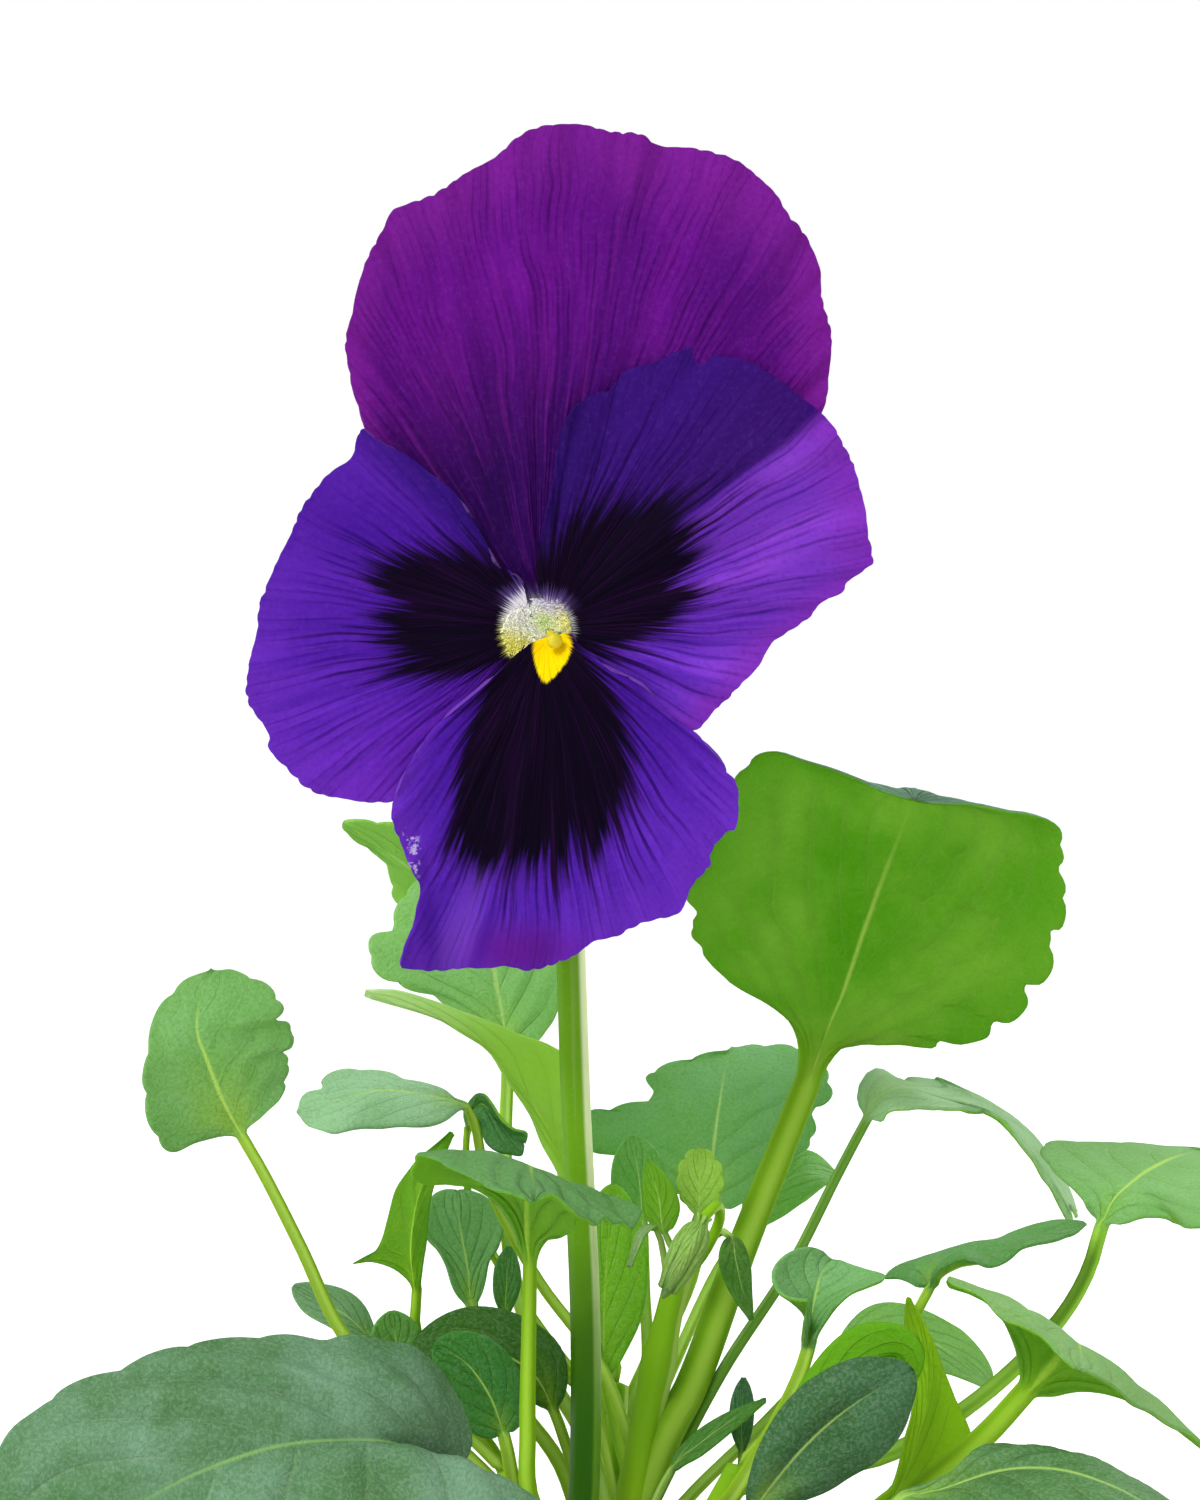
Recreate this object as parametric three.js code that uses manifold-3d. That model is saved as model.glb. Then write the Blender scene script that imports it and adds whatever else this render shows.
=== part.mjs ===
import * as THREE from 'three';
import { mergeVertices } from 'three/addons/utils/BufferGeometryUtils.js';
import Module from 'manifold-3d';

// A pansy in a clay pot. Millimetres, Z up, the flower looks along -Y.
// The origin is the middle of the pot's foot, on the surface that it stands on.

// Pot
const POT_HEIGHT = 92;
const POT_TOP_RADIUS = 52;
const POT_FOOT_RADIUS = 36;
const POT_WALL = 5;
const POT_FLOOR = 6;
const POT_COLLAR_HEIGHT = 20;
const POT_COLLAR_STEP = 3;
const POT_ROUNDING = 1.5;
const POT_SIDES = 32;
const DRAIN_HOLES = 3;
const DRAIN_HOLE_RADIUS = 5;
const DRAIN_CIRCLE_RADIUS = 19;

// Potting mix
const MIX_TOP = 82;
const MIX_MOUND = 1.6;
const MIX_LUMP = 0.7;

// Clearance between pieces that touch
const GAP = 0.3;

// Stems: lowest to highest radius, and the points that each one runs through
const STEM_SIDES = 8;
const STEM_STEPS = 10;
const MAIN_STEM = {
  name: 'main_stem',
  radii: [2.7, 1.2],
  points: [[0, 0, 74], [0, 0, 90], [2, 0, 102], [4, 0.5, 112], [5.5, 2, 120], [7, 3, 127], [9, 4, 135]],
};
const SHOOTS = [
  {
    name: 'shoot_left', radii: [1.7, 1.1],
    points: [[0, 0, 83], [-4.6, 0.4, 91], [-7.2, -2.6, 101], [-9.5, -5, 113]],
  },
  {
    name: 'shoot_right', radii: [1.9, 1.1],
    points: [[0, 0, 87], [5.4, -3.4, 96], [9.5, -6, 105], [14, -7, 114]],
  },
  {
    name: 'shoot_back', radii: [1.8, 1.1],
    points: [[0, 0, 85], [0, 8, 94], [1, 14, 104], [2, 19, 117]],
  },
  {
    name: 'shoot_front', radii: [1.8, 1.2],
    points: [[0, 0, 82], [-0.8, -9, 91], [-1, -15, 100.5], [-1, -19, 110]],
  },
];

// Flower: the throat's place, and petal outlines as (across, up) from the throat
const THROAT = new THREE.Vector3(-5.5, -12, 200);
const PETAL_THICKNESS = 0.45;
const PETAL_ROWS = 6;
const PETAL_COLUMNS = 16;
const PETAL_START = 0.07;
const THROAT_DEPTH = 3.5;
const THROAT_WIDTH = 3.2;
const TOP_LEAN = 5;
const BOTTOM_LEAN = 2;
const BLOOM_TOP = 50;
const BLOOM_BOTTOM = 34;
const PETALS = [
  {
    name: 'petal_upper_rear', base: [0.8, 2.2], layer: -2, wave: 0.5, waves: 3, colour: 0x6a1a80,
    outline: [[-16, 19], [-17, 30], [-12, 40], [-3, 46], [8, 47], [18, 43], [24, 35], [25, 26], [22, 19]],
  },
  {
    name: 'petal_upper_front', base: [-0.6, 2.4], layer: -0.8, wave: 0.5, waves: 3, colour: 0x741a88,
    outline: [[-17, 17], [-18.3, 21], [-19.8, 29], [-18.3, 35.5], [-15.6, 41.6], [-10.5, 43.7], [-4.8, 47.3],
      [1.1, 50.5], [6.2, 49.8], [11.1, 48.6], [17.3, 47.5], [21, 45.7], [24.4, 41.2], [27.5, 36.3],
      [28.6, 29], [28.3, 24], [26, 18]],
  },
  {
    name: 'petal_side_left', base: [-2.4, 0.4], layer: 0.6, wave: 0.4, waves: 2.5, colour: 0x541ca5,
    outline: [[-2.8, 4.8], [-5, 6.6], [-8.3, 12.6], [-16.2, 17.7], [-18.1, 19.7], [-22, 14.8], [-26, 8],
      [-28.2, 2.7], [-29.6, -5], [-27.6, -12], [-24.4, -15.4], [-19.8, -17.2], [-14.9, -16.8],
      [-9, -11], [-4.6, -5], [-2.8, -1.6]],
  },
  {
    name: 'petal_side_right', base: [2.2, 0.8], layer: 0.6, wave: 0.5, waves: 2.5, colour: 0x541ca5,
    outline: [[-0.4, 5], [0.6, 13.5], [2.9, 21.9], [6.5, 23.8], [10.8, 26.4], [14.4, 27.9], [22.5, 25.2],
      [28.7, 19.9], [31, 15.5], [32.6, 6.9], [27.4, 2.5], [21, -4.1], [17.4, -7.7], [14, -10],
      [8, -6.6], [4, -2]],
  },
  {
    name: 'petal_lower', base: [0.8, -3.2], layer: 2.3, wave: 0.4, waves: 2.5, colour: 0x5a20ac,
    outline: [[3.6, -2.4], [10.2, -6], [15, -10.5], [19.3, -16.6], [16.6, -22.2], [13.6, -28.2],
      [7.3, -30.8], [-0.7, -34.1], [-11.4, -34.4], [-14.8, -33.6], [-13.2, -30], [-12.5, -26],
      [-14.3, -21.7], [-15.2, -17.6], [-12.4, -11.8], [-6.8, -6.4], [-2.2, -3]],
  },
];
const SPUR_RADIUS = 1.3;
const SPUR_PATH = [[0.8, -4.4, 2], [0.4, -4.3, -3], [0, -4.3, -7], [0, -3.8, -10.5]];

// Behind the petals: depths are measured from the throat towards the viewer
const RECEPTACLE_DEPTH = -6.4;
const RECEPTACLE_RADIUS = 1.9;
const STALK_RADIUS = 1.5;
const STALK_RIDGE = 0.12;
const STALK_RIDGES = 5;
const STALK_STEPS = 24;
const STALK_POINTS = [[0, 0, 90], [-2.4, -4.6, 100], [-1.6, -4.6, 112], [-1.5, -2, 128], [-2.5, 1, 150.5],
  [-3, 3, 165], [-3.5, 5, 180], [-4.5, 6.5, 192], [-5, 7, 199], [-5.2, 5, 204], [-5.4, 0.5, 205],
  [-5.5, -3, 202.4], [-5.5, -5.4, 200.3]];
const SEPAL_ANGLES = [90, 36, 144, -24, 204];
const SEPAL_LENGTH = 13;
const SEPAL_HALF_WIDTH = 1.9;
const SEPAL_AURICLE = 2;
const STYLE_RADIUS = 0.45;
const STIGMA_RADIUS = 1.1;
const STIGMA_PLACE = [0.9, -1.2, 1.4];
const ANTHER_RADIUS = 1.5;
const ANTHER_TOP_RADIUS = 1.1;
const ANTHER_LENGTH = 2.6;

// Bud that hangs from a hooked stalk at the top of the main stem
const BUD_STALK_RADIUS = 0.6;
const BUD_STALK_STEPS = 12;
const BUD_STALK_POINTS = [[8.2, 3.6, 131.5], [10.5, 0.4, 134.5], [12.3, -1.8, 138.6], [12, -4.2, 140.6],
  [10.6, -5.6, 139.6]];
const BUD_PROFILE = [[0, 0], [0.9, 0.2], [1.5, 1.4], [1.75, 3], [1.5, 5], [1, 6.8], [0.5, 8], [0, 8.4]];
const BUD_TOP = [10.4, -5.9, 139.2];
const BUD_TIP = [6.4, -7.4, 131.6];
const BUD_SIDES = 10;

// Half outlines of blades, as [share of the length, share of the half width], base to tip
const SHAPES = {
  ovate: [[0, 0.06], [-0.03, 0.4], [0.04, 0.75], [0.2, 0.99], [0.42, 1], [0.65, 0.86], [0.85, 0.52],
    [0.96, 0.24], [1, 0.04]],
  broad: [[0, 0.06], [-0.02, 0.42], [0.06, 0.75], [0.2, 0.93], [0.42, 1], [0.65, 0.97], [0.82, 0.82],
    [0.94, 0.5], [1, 0.05]],
  round: [[0, 0.08], [0.02, 0.4], [0.12, 0.75], [0.32, 0.98], [0.52, 1], [0.72, 0.86], [0.88, 0.58],
    [0.97, 0.28], [1, 0.04]],
  oval: [[0, 0.12], [0.12, 0.48], [0.3, 0.86], [0.5, 1], [0.7, 0.92], [0.87, 0.62], [0.97, 0.28],
    [1, 0.05]],
  heart: [[0, 0.05], [-0.08, 0.3], [-0.12, 0.62], [-0.04, 0.93], [0.15, 1], [0.4, 0.93], [0.65, 0.7],
    [0.85, 0.42], [0.96, 0.2], [1, 0.04]],
  fan: [[0, 0.1], [0.08, 0.28], [0.22, 0.68], [0.42, 0.96], [0.62, 1], [0.8, 0.86], [0.93, 0.52],
    [1, 0.06]],
  arrow: [[0, 0.1], [-0.1, 0.6], [-0.1, 1], [0.08, 0.74], [0.32, 0.42], [0.7, 0.28], [1, 0.06]],
  lance: [[0, 0.35], [0.14, 0.75], [0.34, 1], [0.6, 0.84], [0.84, 0.45], [1, 0.06]],
};

// Leaves. stalk and rib are points along the leaf stalk and along the midrib; face is where
// the upper side looks at the blade's base and, as second vector, at its tip; left and right are
// half widths; cup is how far each half bends up, in degrees, left and right; on is the stem that
// carries the leaf and at is the share of that stem's length; thick is the leaf stalk's radius.
const BLADE_THICKNESS = 0.5;
const LEAF_CELLS = [
  { upTo: 2.2, across: 2, rows: 6 },
  { upTo: 4.3, across: 4, rows: 6 },
  { upTo: 9, across: 4, rows: 8 },
  { upTo: 30, across: 6, rows: 10 },
];
const STALK_ROW_LENGTH = 9;
const MOST_STALK_ROWS = 5;
const LEAVES = [
  {
    name: 'leaf_tall_right', on: 'main_stem', at: 0.5, thick: 1.25,
    shape: 'broad', left: 19.5, right: 19, cup: [-8, -8], wave: 0.5,
    stalk: [[7, 1.5, 116], [9.5, 4, 120], [15, 8, 134], [20, 11, 146], [22.8, 12, 153]],
    rib: [[23.9, 12.4, 157], [25.8, 13, 162.4], [27.8, 13.6, 168], [29.8, 13.8, 174],
      [31.4, 13.2, 179.4], [32.4, 10.6, 182.8], [32.8, 6.6, 183.2], [33, 3, 182]],
    face: [[-0.05, 0.95, 0.1], [0.12, -0.1, 0.95]],
  },
  {
    name: 'leaf_far_left', on: 'shoot_left', at: 0.9, thick: 0.7,
    shape: 'round', left: 6.4, right: 8, cup: [14, -10], wave: 0.5,
    stalk: [[-14, -4.5, 115], [-20.5, -6, 121], [-26.5, -6, 128], [-30.5, -6, 136.5], [-34.5, -6, 144.5]],
    rib: [[-36.5, -6, 148], [-38.5, -6.6, 152], [-40, -7, 156], [-41, -7, 159], [-40.5, -6, 163],
      [-39.5, -5, 165]],
    face: [[0.05, -0.95, 0.3], [0.05, -0.95, 0.3]],
  },
  {
    name: 'leaf_front_left', on: 'shoot_front', at: 0.96, thick: 1.5,
    shape: 'heart', left: 17, right: 19, cup: [-14, -10], wave: 0.8,
    stalk: [[-4, -23, 112], [-8, -27, 114.5], [-11.5, -30, 116.5]],
    rib: [[-13.5, -31, 118.5], [-16.5, -33, 121], [-19.5, -35, 123], [-24.5, -38, 124],
      [-31.5, -42, 124], [-41.5, -46, 120.5], [-50, -49, 114]],
    face: [[-0.2, -0.6, 0.75], [-0.4, -0.55, 0.75]],
  },
  {
    name: 'leaf_low_left_small', on: 'shoot_left', at: 0.44, thick: 0.6,
    shape: 'oval', left: 2.6, right: 2.6, cup: [10, 10], wave: 0,
    stalk: [[-9, 4, 106], [-16, 6, 115], [-21, 6, 121.5]],
    rib: [[-23.5, 6, 124], [-26.5, 6, 127], [-29.5, 7, 128.5], [-32.5, 8, 130]],
    face: [[0.3, -0.7, 0.7], [0.1, -0.7, 0.7]],
  },
  {
    name: 'leaf_low_left_round', on: 'shoot_left', at: 1, thick: 0.6,
    shape: 'round', left: 2.9, right: 2.9, cup: [10, 10], wave: 0,
    stalk: [[-14, -1.5, 116.5], [-18.5, -1.5, 120]],
    rib: [[-20.5, -2, 122.5], [-21, -2.5, 126], [-21.5, -3, 129.5]],
    face: [[0, -0.95, 0.3], [0, -0.95, 0.3]],
  },
  {
    name: 'leaf_left_arch', on: 'main_stem', at: 0.32, thick: 0.7,
    shape: 'oval', left: 4.6, right: 5.2, cup: [-10, -14], wave: 0,
    stalk: [[-1.6, 3, 108.5], [-3.4, 2.4, 113.8]],
    rib: [[-4.8, 1.6, 118], [-7, -0.4, 122.4], [-11.2, -3, 125.2], [-15.6, -5, 125.2], [-19.4, -7, 123]],
    face: [[-0.4, -0.8, 0.6], [0.1, -0.7, 0.7]],
  },
  {
    name: 'leaf_left_round', on: 'shoot_left', at: 0.72, thick: 0.8,
    shape: 'round', left: 4, right: 4, cup: [6, -14], wave: 0,
    stalk: [[-9, -6.8, 113]],
    rib: [[-9.8, -7.6, 117.5], [-11.4, -8, 122], [-14, -8.6, 125.5], [-17, -9, 127]],
    face: [[0.1, -0.95, 0.3], [0.1, -0.95, 0.3]],
  },
  {
    name: 'leaf_left_upright', on: 'shoot_left', at: 0.6, thick: 0.65,
    shape: 'arrow', left: 3.4, right: 6.6, cup: [60, 8], wave: 0.3,
    stalk: [[-10.5, 0.5, 113], [-15.5, -0.6, 120], [-19, -1.4, 127]],
    rib: [[-18.9, -2, 131.5], [-19.2, -3, 136], [-18.6, -4, 141], [-17, -5, 145.6], [-15, -6, 148.4]],
    face: [[0.35, 0.9, 0], [0.3, 0.8, 0.2]],
  },
  {
    name: 'leaf_left_spoon', on: 'main_stem', at: 0.62, thick: 0.6,
    shape: 'oval', left: 3.5, right: 3.5, cup: [-10, -10], wave: 0.3,
    stalk: [[0, 6, 122], [-6.5, 8.5, 130.5], [-12, 7, 141.5], [-13, 5.6, 147]],
    rib: [[-14, 4.6, 149.5], [-17.5, 2, 151], [-22.5, -1, 152], [-26.5, -4, 151.5], [-31, -6, 150.5]],
    face: [[0, -0.75, 0.65], [0, -0.8, 0.6]],
  },
  {
    name: 'leaf_left_folded', on: 'shoot_back', at: 0.9, thick: 0.55,
    shape: 'oval', left: 2.6, right: 2.6, cup: [-34, -34], wave: 0,
    stalk: [[-3, 17.5, 119], [-8.6, 17, 127], [-13.6, 14, 137]],
    rib: [[-13.4, 8.8, 146], [-12.6, 7.6, 148.4], [-10.6, 6.6, 148.4], [-8, 5.6, 145.2]],
    face: [[0.3, -0.5, 0.8], [0.5, -0.6, 0.6]],
  },
  {
    name: 'leaf_centre_funnel', on: 'shoot_front', at: 0.8, thick: 0.85,
    shape: 'fan', left: 11.8, right: 11.4, cup: [0, 4], wave: 0.5,
    stalk: [[-5.6, -14, 114], [-7.4, -10.5, 121], [-7.4, -9.4, 130]],
    rib: [[-7.2, -9.6, 138.6], [-7.3, -10, 142], [-7.4, -12, 145], [-7.5, -15.6, 146.2],
      [-7.6, -20, 146], [-7.7, -25, 144.6], [-7.8, -29, 142.4]],
    face: [[0.1, 0.97, 0.1], [0.24, 0.1, 0.96]],
  },
  {
    name: 'leaf_back_left_high', on: 'shoot_back', at: 1, thick: 0.8,
    shape: 'ovate', left: 5.6, right: 5.6, cup: [10, 20], wave: 0.5,
    stalk: [[-1.2, 24, 128], [-6, 27.6, 147], [-10.5, 27.4, 160.5]],
    rib: [[-13, 27, 166], [-18.5, 25, 171.5], [-24, 23, 175.6], [-28, 22, 178]],
    face: [[0.2, 0.9, 0.3], [0.2, 0.8, 0.5]],
  },
  {
    name: 'leaf_back_left_broad', on: 'main_stem', at: 0.45, thick: 0.8,
    shape: 'round', left: 14, right: 7, cup: [8, 12], wave: 0.6,
    stalk: [[-1, 6, 113], [-6.5, 10, 122], [-9.6, 13.5, 132], [-10.2, 16.4, 143]],
    rib: [[-10, 17.6, 153.5], [-10.6, 18, 158], [-11.6, 18.4, 163.5], [-12.6, 19.6, 169],
      [-13.4, 22, 174]],
    face: [[0, -0.95, 0.25], [0, -0.8, 0.6]],
  },
  {
    name: 'leaf_sweeping', on: 'shoot_back', at: 0.62, thick: 0.9,
    shape: 'ovate', left: 6.4, right: 4, cup: [-10, 60], wave: 0.3,
    stalk: [[-0.6, 13.5, 117], [-2, 12.8, 130]],
    rib: [[-3.6, 12.6, 140], [-6, 11.4, 146.5], [-8.6, 9.4, 151], [-11.5, 6.6, 155.2],
      [-16.5, 1.6, 159.2], [-24, -5, 162.6]],
    face: [[-0.3, 0.8, -0.3], [-0.1, 0.8, 0.2]],
  },
  {
    name: 'leaf_middle_left', on: 'shoot_back', at: 0.34, thick: 0.8,
    shape: 'oval', left: 4, right: 4.2, cup: [8, 8], wave: 0,
    stalk: [[-4, 9.8, 110], [-9.5, 9.8, 118]],
    rib: [[-12.6, 10, 126], [-13.5, 10.2, 130.5], [-14, 10.6, 134], [-14.5, 11, 137], [-15.5, 11.8, 140]],
    face: [[0.1, -0.95, 0.2], [0.1, -0.9, 0.4]],
  },
  {
    name: 'leaf_middle_left_small', on: 'main_stem', at: 0.5, thick: 0.5,
    shape: 'oval', left: 1.5, right: 1.5, cup: [0, 0], wave: 0,
    stalk: [[-1.5, 4.8, 119], [-8, 5.6, 123.5]],
    rib: [[-9.8, 5.8, 127], [-9.8, 6, 131], [-9.6, 6.4, 134.5]],
    face: [[0, -0.95, 0.2], [0, -0.95, 0.2]],
  },
  {
    name: 'leaf_back_right_broad', on: 'shoot_back', at: 0.84, thick: 1,
    shape: 'broad', left: 13.6, right: 12.4, cup: [10, 8], wave: 0.8,
    stalk: [[5.5, 22, 119], [9.8, 23.5, 128]],
    rib: [[11.4, 24, 136], [12.2, 24.4, 140], [12.8, 25.5, 144.5], [13.6, 28.5, 149], [14.6, 33, 152.2]],
    face: [[0, -0.9, 0.35], [0, -0.75, 0.65]],
  },
  {
    name: 'leaf_back_right_small', on: 'shoot_back', at: 0.5, thick: 0.7,
    shape: 'round', left: 3.1, right: 3.1, cup: [8, 8], wave: 0,
    stalk: [[5, 16.5, 118], [4.8, 17.6, 128]],
    rib: [[4.6, 17.8, 135], [4.2, 18, 140], [3.4, 18.6, 144.4]],
    face: [[0, -0.95, 0.25], [0, -0.95, 0.3]],
  },
  {
    name: 'leaf_back_right_low', on: 'shoot_back', at: 0.72, thick: 0.7,
    shape: 'oval', left: 3.6, right: 3.6, cup: [-8, -8], wave: 0,
    stalk: [[6.5, 23.5, 115], [13, 30, 127.5]],
    rib: [[16, 32, 131.5], [19.5, 33, 136], [23, 34, 138], [27, 36, 137]],
    face: [[-0.3, -0.7, 0.6], [0.1, -0.6, 0.8]],
  },
  {
    name: 'leaf_right_arching', on: 'main_stem', at: 0.44, thick: 0.7,
    shape: 'oval', left: 7.5, right: 6.5, cup: [-12, -16], wave: 0.6,
    stalk: [[8, 3.4, 113], [13, 4.6, 122], [20, 6, 132.5], [25, 7.4, 142]],
    rib: [[28, 8.2, 147.5], [29.6, 9.2, 150], [32.5, 11, 150.6], [37.5, 14, 149], [42.5, 17, 147],
      [47, 19, 142.5], [51.5, 21, 135]],
    face: [[-0.6, -0.3, 0.8], [0.8, -0.2, 0.5]],
  },
  {
    name: 'leaf_far_right', on: 'shoot_right', at: 0.9, thick: 0.95,
    shape: 'ovate', left: 10, right: 10, cup: [10, 4], wave: 0.6,
    stalk: [[18, -5, 113.5], [29, -1.5, 114], [40, 1, 120], [48, 2.6, 127.6], [51, 3.4, 132.5]],
    rib: [[52.4, 3.8, 137], [53.6, 4.4, 139.6], [56, 7, 141.4], [59, 11, 142.8], [62.6, 16, 143.8],
      [67, 22, 144]],
    face: [[-0.5, -0.5, 0.7], [-0.1, -0.3, 0.95]],
  },
  {
    name: 'leaf_right_funnel', on: 'shoot_right', at: 0.52, thick: 1.35,
    shape: 'fan', left: 16.5, right: 15.5, cup: [-12, -4], wave: 0.6,
    stalk: [[16, -10.5, 104], [22, -12.5, 106], [28, -13.6, 110], [34, -14.4, 115], [39, -14.8, 119.6]],
    rib: [[42.4, -15, 123.4], [44.4, -15.4, 126.4], [46, -17, 128.4], [47.4, -20.4, 129.4],
      [48.4, -25, 129.2], [49, -30, 128], [49.4, -34, 126.4]],
    face: [[0.1, 0.97, 0.1], [0.36, 0.1, 0.92]],
  },
  {
    name: 'leaf_right_curled', on: 'shoot_right', at: 1, thick: 0.75,
    shape: 'ovate', left: 5, right: 5, cup: [26, 26], wave: 0.7,
    stalk: [[18.5, -5, 118], [26, -4.4, 121.5], [30.5, -4.6, 126.5]],
    rib: [[33, -4.8, 130.6], [34.4, -4.6, 132.8], [37, -4.2, 134.2], [41.5, -3, 135.4],
      [46, -1.6, 136.5], [50.5, 0, 137.4]],
    face: [[-0.3, -0.05, 1], [0, 0.05, 1]],
  },
  {
    name: 'leaf_right_middle', on: 'shoot_right', at: 0.76, thick: 0.85,
    shape: 'ovate', left: 5.8, right: 5.8, cup: [-6, -10], wave: 0.3,
    stalk: [[13.6, -9.6, 112], [16.5, -9.6, 117.5], [18.4, -9.4, 121.5]],
    rib: [[20.2, -9.2, 127], [21.4, -9.4, 130.4], [23, -11, 133.6], [24.8, -14.4, 134.8],
      [26.6, -18.4, 133.8], [28, -21.6, 131.6]],
    face: [[0, 0.95, 0.1], [0.2, -0.35, 0.9]],
  },
  {
    name: 'leaf_front_oval', on: 'shoot_front', at: 0.62, thick: 1,
    shape: 'oval', left: 4.8, right: 4.8, cup: [-8, -8], wave: 0,
    stalk: [[5, -19.5, 103], [10, -22.5, 107.5]],
    rib: [[14, -24.6, 112], [18, -26, 117.5], [22, -26.6, 122], [26.5, -26.4, 126], [30, -25.6, 128.8]],
    face: [[0.15, -0.92, 0.35], [0, -0.9, 0.4]],
  },
  {
    name: 'leaf_right_lime', on: 'shoot_right', at: 0.66, thick: 0.9,
    shape: 'oval', left: 5, right: 5, cup: [8, 36], wave: 0.4,
    stalk: [[18, -9, 106.5], [24, -9.6, 108.4]],
    rib: [[29, -10, 111.5], [31.8, -10, 117.5], [33, -9.6, 122.5], [32.6, -9, 127.5], [31.3, -8.6, 132]],
    face: [[-0.2, 0.95, 0.1], [-0.2, 0.9, 0.2]],
  },
  {
    name: 'leaf_right_pale', on: 'shoot_back', at: 0.22, thick: 0.7,
    shape: 'oval', left: 3.6, right: 3.2, cup: [0, 0], wave: 0,
    stalk: [[7, 9.5, 104], [17, 9.6, 114.5]],
    rib: [[25, 9.4, 122.5], [29.5, 9.4, 125.2], [35, 10, 123.6], [39.5, 11, 120.8], [42, 12, 118]],
    face: [[-0.1, -0.7, 0.7], [0.4, -0.6, 0.6]],
  },
  {
    name: 'leaf_right_band', on: 'shoot_front', at: 0.44, thick: 0.8,
    shape: 'oval', left: 3.4, right: 3.4, cup: [0, 10], wave: 0,
    stalk: [[8, -14.6, 101], [13, -17.5, 109]],
    rib: [[18, -19.4, 117], [22, -20.2, 123.5], [26.6, -20.4, 127.6], [30.4, -20.2, 128.4],
      [33, -20, 125.5]],
    face: [[0.5, 0.8, -0.1], [0.6, 0.6, 0.5]],
  },
  {
    name: 'leaf_front_right', on: 'shoot_front', at: 0.3, thick: 1.3,
    shape: 'ovate', left: 13.5, right: 13.5, cup: [-14, -16], wave: 0.6,
    stalk: [[7, -18, 95.5], [15, -24, 101], [23, -28.6, 107]],
    rib: [[29, -31, 112.4], [33.5, -33, 115.2], [38, -35.4, 116.2], [43.5, -38.4, 115],
      [49.5, -41, 110.4], [55, -43, 103]],
    face: [[0.1, -0.5, 0.85], [0.45, -0.5, 0.75]],
  },
  {
    name: 'leaf_right_tiny', on: 'shoot_right', at: 0.84, thick: 0.45,
    shape: 'oval', left: 1.3, right: 1.3, cup: [0, 0], wave: 0,
    stalk: [[14.2, -4, 111]],
    rib: [[14.6, -3.4, 114.6], [14.6, -3.2, 118], [14.8, -3.2, 122.6]],
    face: [[0, -0.95, 0.1], [0, -0.95, 0.1]],
  },
  {
    name: 'leaf_centre_bright', on: 'main_stem', at: 0.58, thick: 0.8,
    shape: 'oval', left: 3.2, right: 3.2, cup: [6, 6], wave: 0,
    stalk: [[1.5, 6.4, 116.5]],
    rib: [[0.6, 8, 120], [0.4, 8.6, 126.5], [0.8, 9.2, 134], [1.4, 10.4, 140.5]],
    face: [[0.1, -0.95, 0.1], [0.1, -0.95, 0.2]],
  },
  {
    name: 'leaf_young_top', on: 'main_stem', at: 1, thick: 0.5,
    shape: 'oval', left: 2.6, right: 2.6, cup: [40, 40], wave: 0,
    stalk: [],
    rib: [[10.2, 4.8, 138], [10.4, 5.2, 141.6], [10.4, 6, 145]],
    face: [[0.1, -0.95, 0.1], [0.1, -0.95, 0.2]],
  },
  {
    name: 'stipule_top', on: 'main_stem', at: 0.97, thick: 0.4,
    shape: 'lance', left: 2, right: 2, cup: [10, 10], wave: 0,
    stalk: [],
    rib: [[6.8, 3, 136.5], [6.2, 2.6, 140.4], [5, 2.2, 144.4]],
    face: [[0.2, 0.9, 0.1], [0.2, 0.9, 0.1]],
  },
  {
    name: 'stipule_hanging', on: 'main_stem', at: 0.93, thick: 0.5,
    shape: 'lance', left: 1.9, right: 1.9, cup: [-16, -16], wave: 0,
    stalk: [[12.4, 2, 136.8]],
    rib: [[13.6, 0.2, 136.6], [14, -1.6, 134.4], [14.6, -2.8, 131.6], [15.6, -3.6, 128.6]],
    face: [[0.2, -0.6, 0.7], [0.6, -0.7, 0.2]],
  },
  {
    name: 'stipule_right', on: 'main_stem', at: 0.35, thick: 0.5,
    shape: 'lance', left: 1.8, right: 1.8, cup: [10, 10], wave: 0,
    stalk: [],
    rib: [[7.4, -3, 113], [10.4, -4.4, 116], [13.4, -5.2, 118.4], [17, -6.4, 121]],
    face: [[-0.4, -0.5, 0.7], [-0.4, -0.5, 0.7]],
  },
  {
    name: 'stipule_thin', on: 'main_stem', at: 0.9, thick: 0.4,
    shape: 'lance', left: 0.8, right: 0.8, cup: [0, 0], wave: 0,
    stalk: [],
    rib: [[5.8, 0.6, 137.5], [4.4, -1.6, 137.4], [3, -3, 134]],
    face: [[0.4, 0.6, 0.7], [-0.4, -0.4, 0.5]],
  },
];

const CLAY = new THREE.MeshStandardMaterial({ color: 0xb5653f, roughness: 0.9 });
const MIX = new THREE.MeshStandardMaterial({ color: 0x35261b, roughness: 1 });
const LEAF_GREEN = new THREE.MeshStandardMaterial({ color: 0x5c9440, roughness: 0.6 });
const STEM_GREEN = new THREE.MeshStandardMaterial({ color: 0x7ea32a, roughness: 0.5 });
const STIGMA_GREEN = new THREE.MeshStandardMaterial({ color: 0xb9b04a, roughness: 0.6 });
const ANTHER_TAN = new THREE.MeshStandardMaterial({ color: 0xd08a3a, roughness: 0.8 });

const wasm = await Module();
wasm.setup();

const vector = (point) => new THREE.Vector3(...point);

function curveThrough(points) {
  return new THREE.CatmullRomCurve3(points.map(vector), false, 'centripetal');
}

// Solids for joins and cuts

function solidOf(vertProperties, triVerts) {
  return new wasm.Manifold(new wasm.Mesh({ numProp: 3, vertProperties, triVerts }));
}

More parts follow.
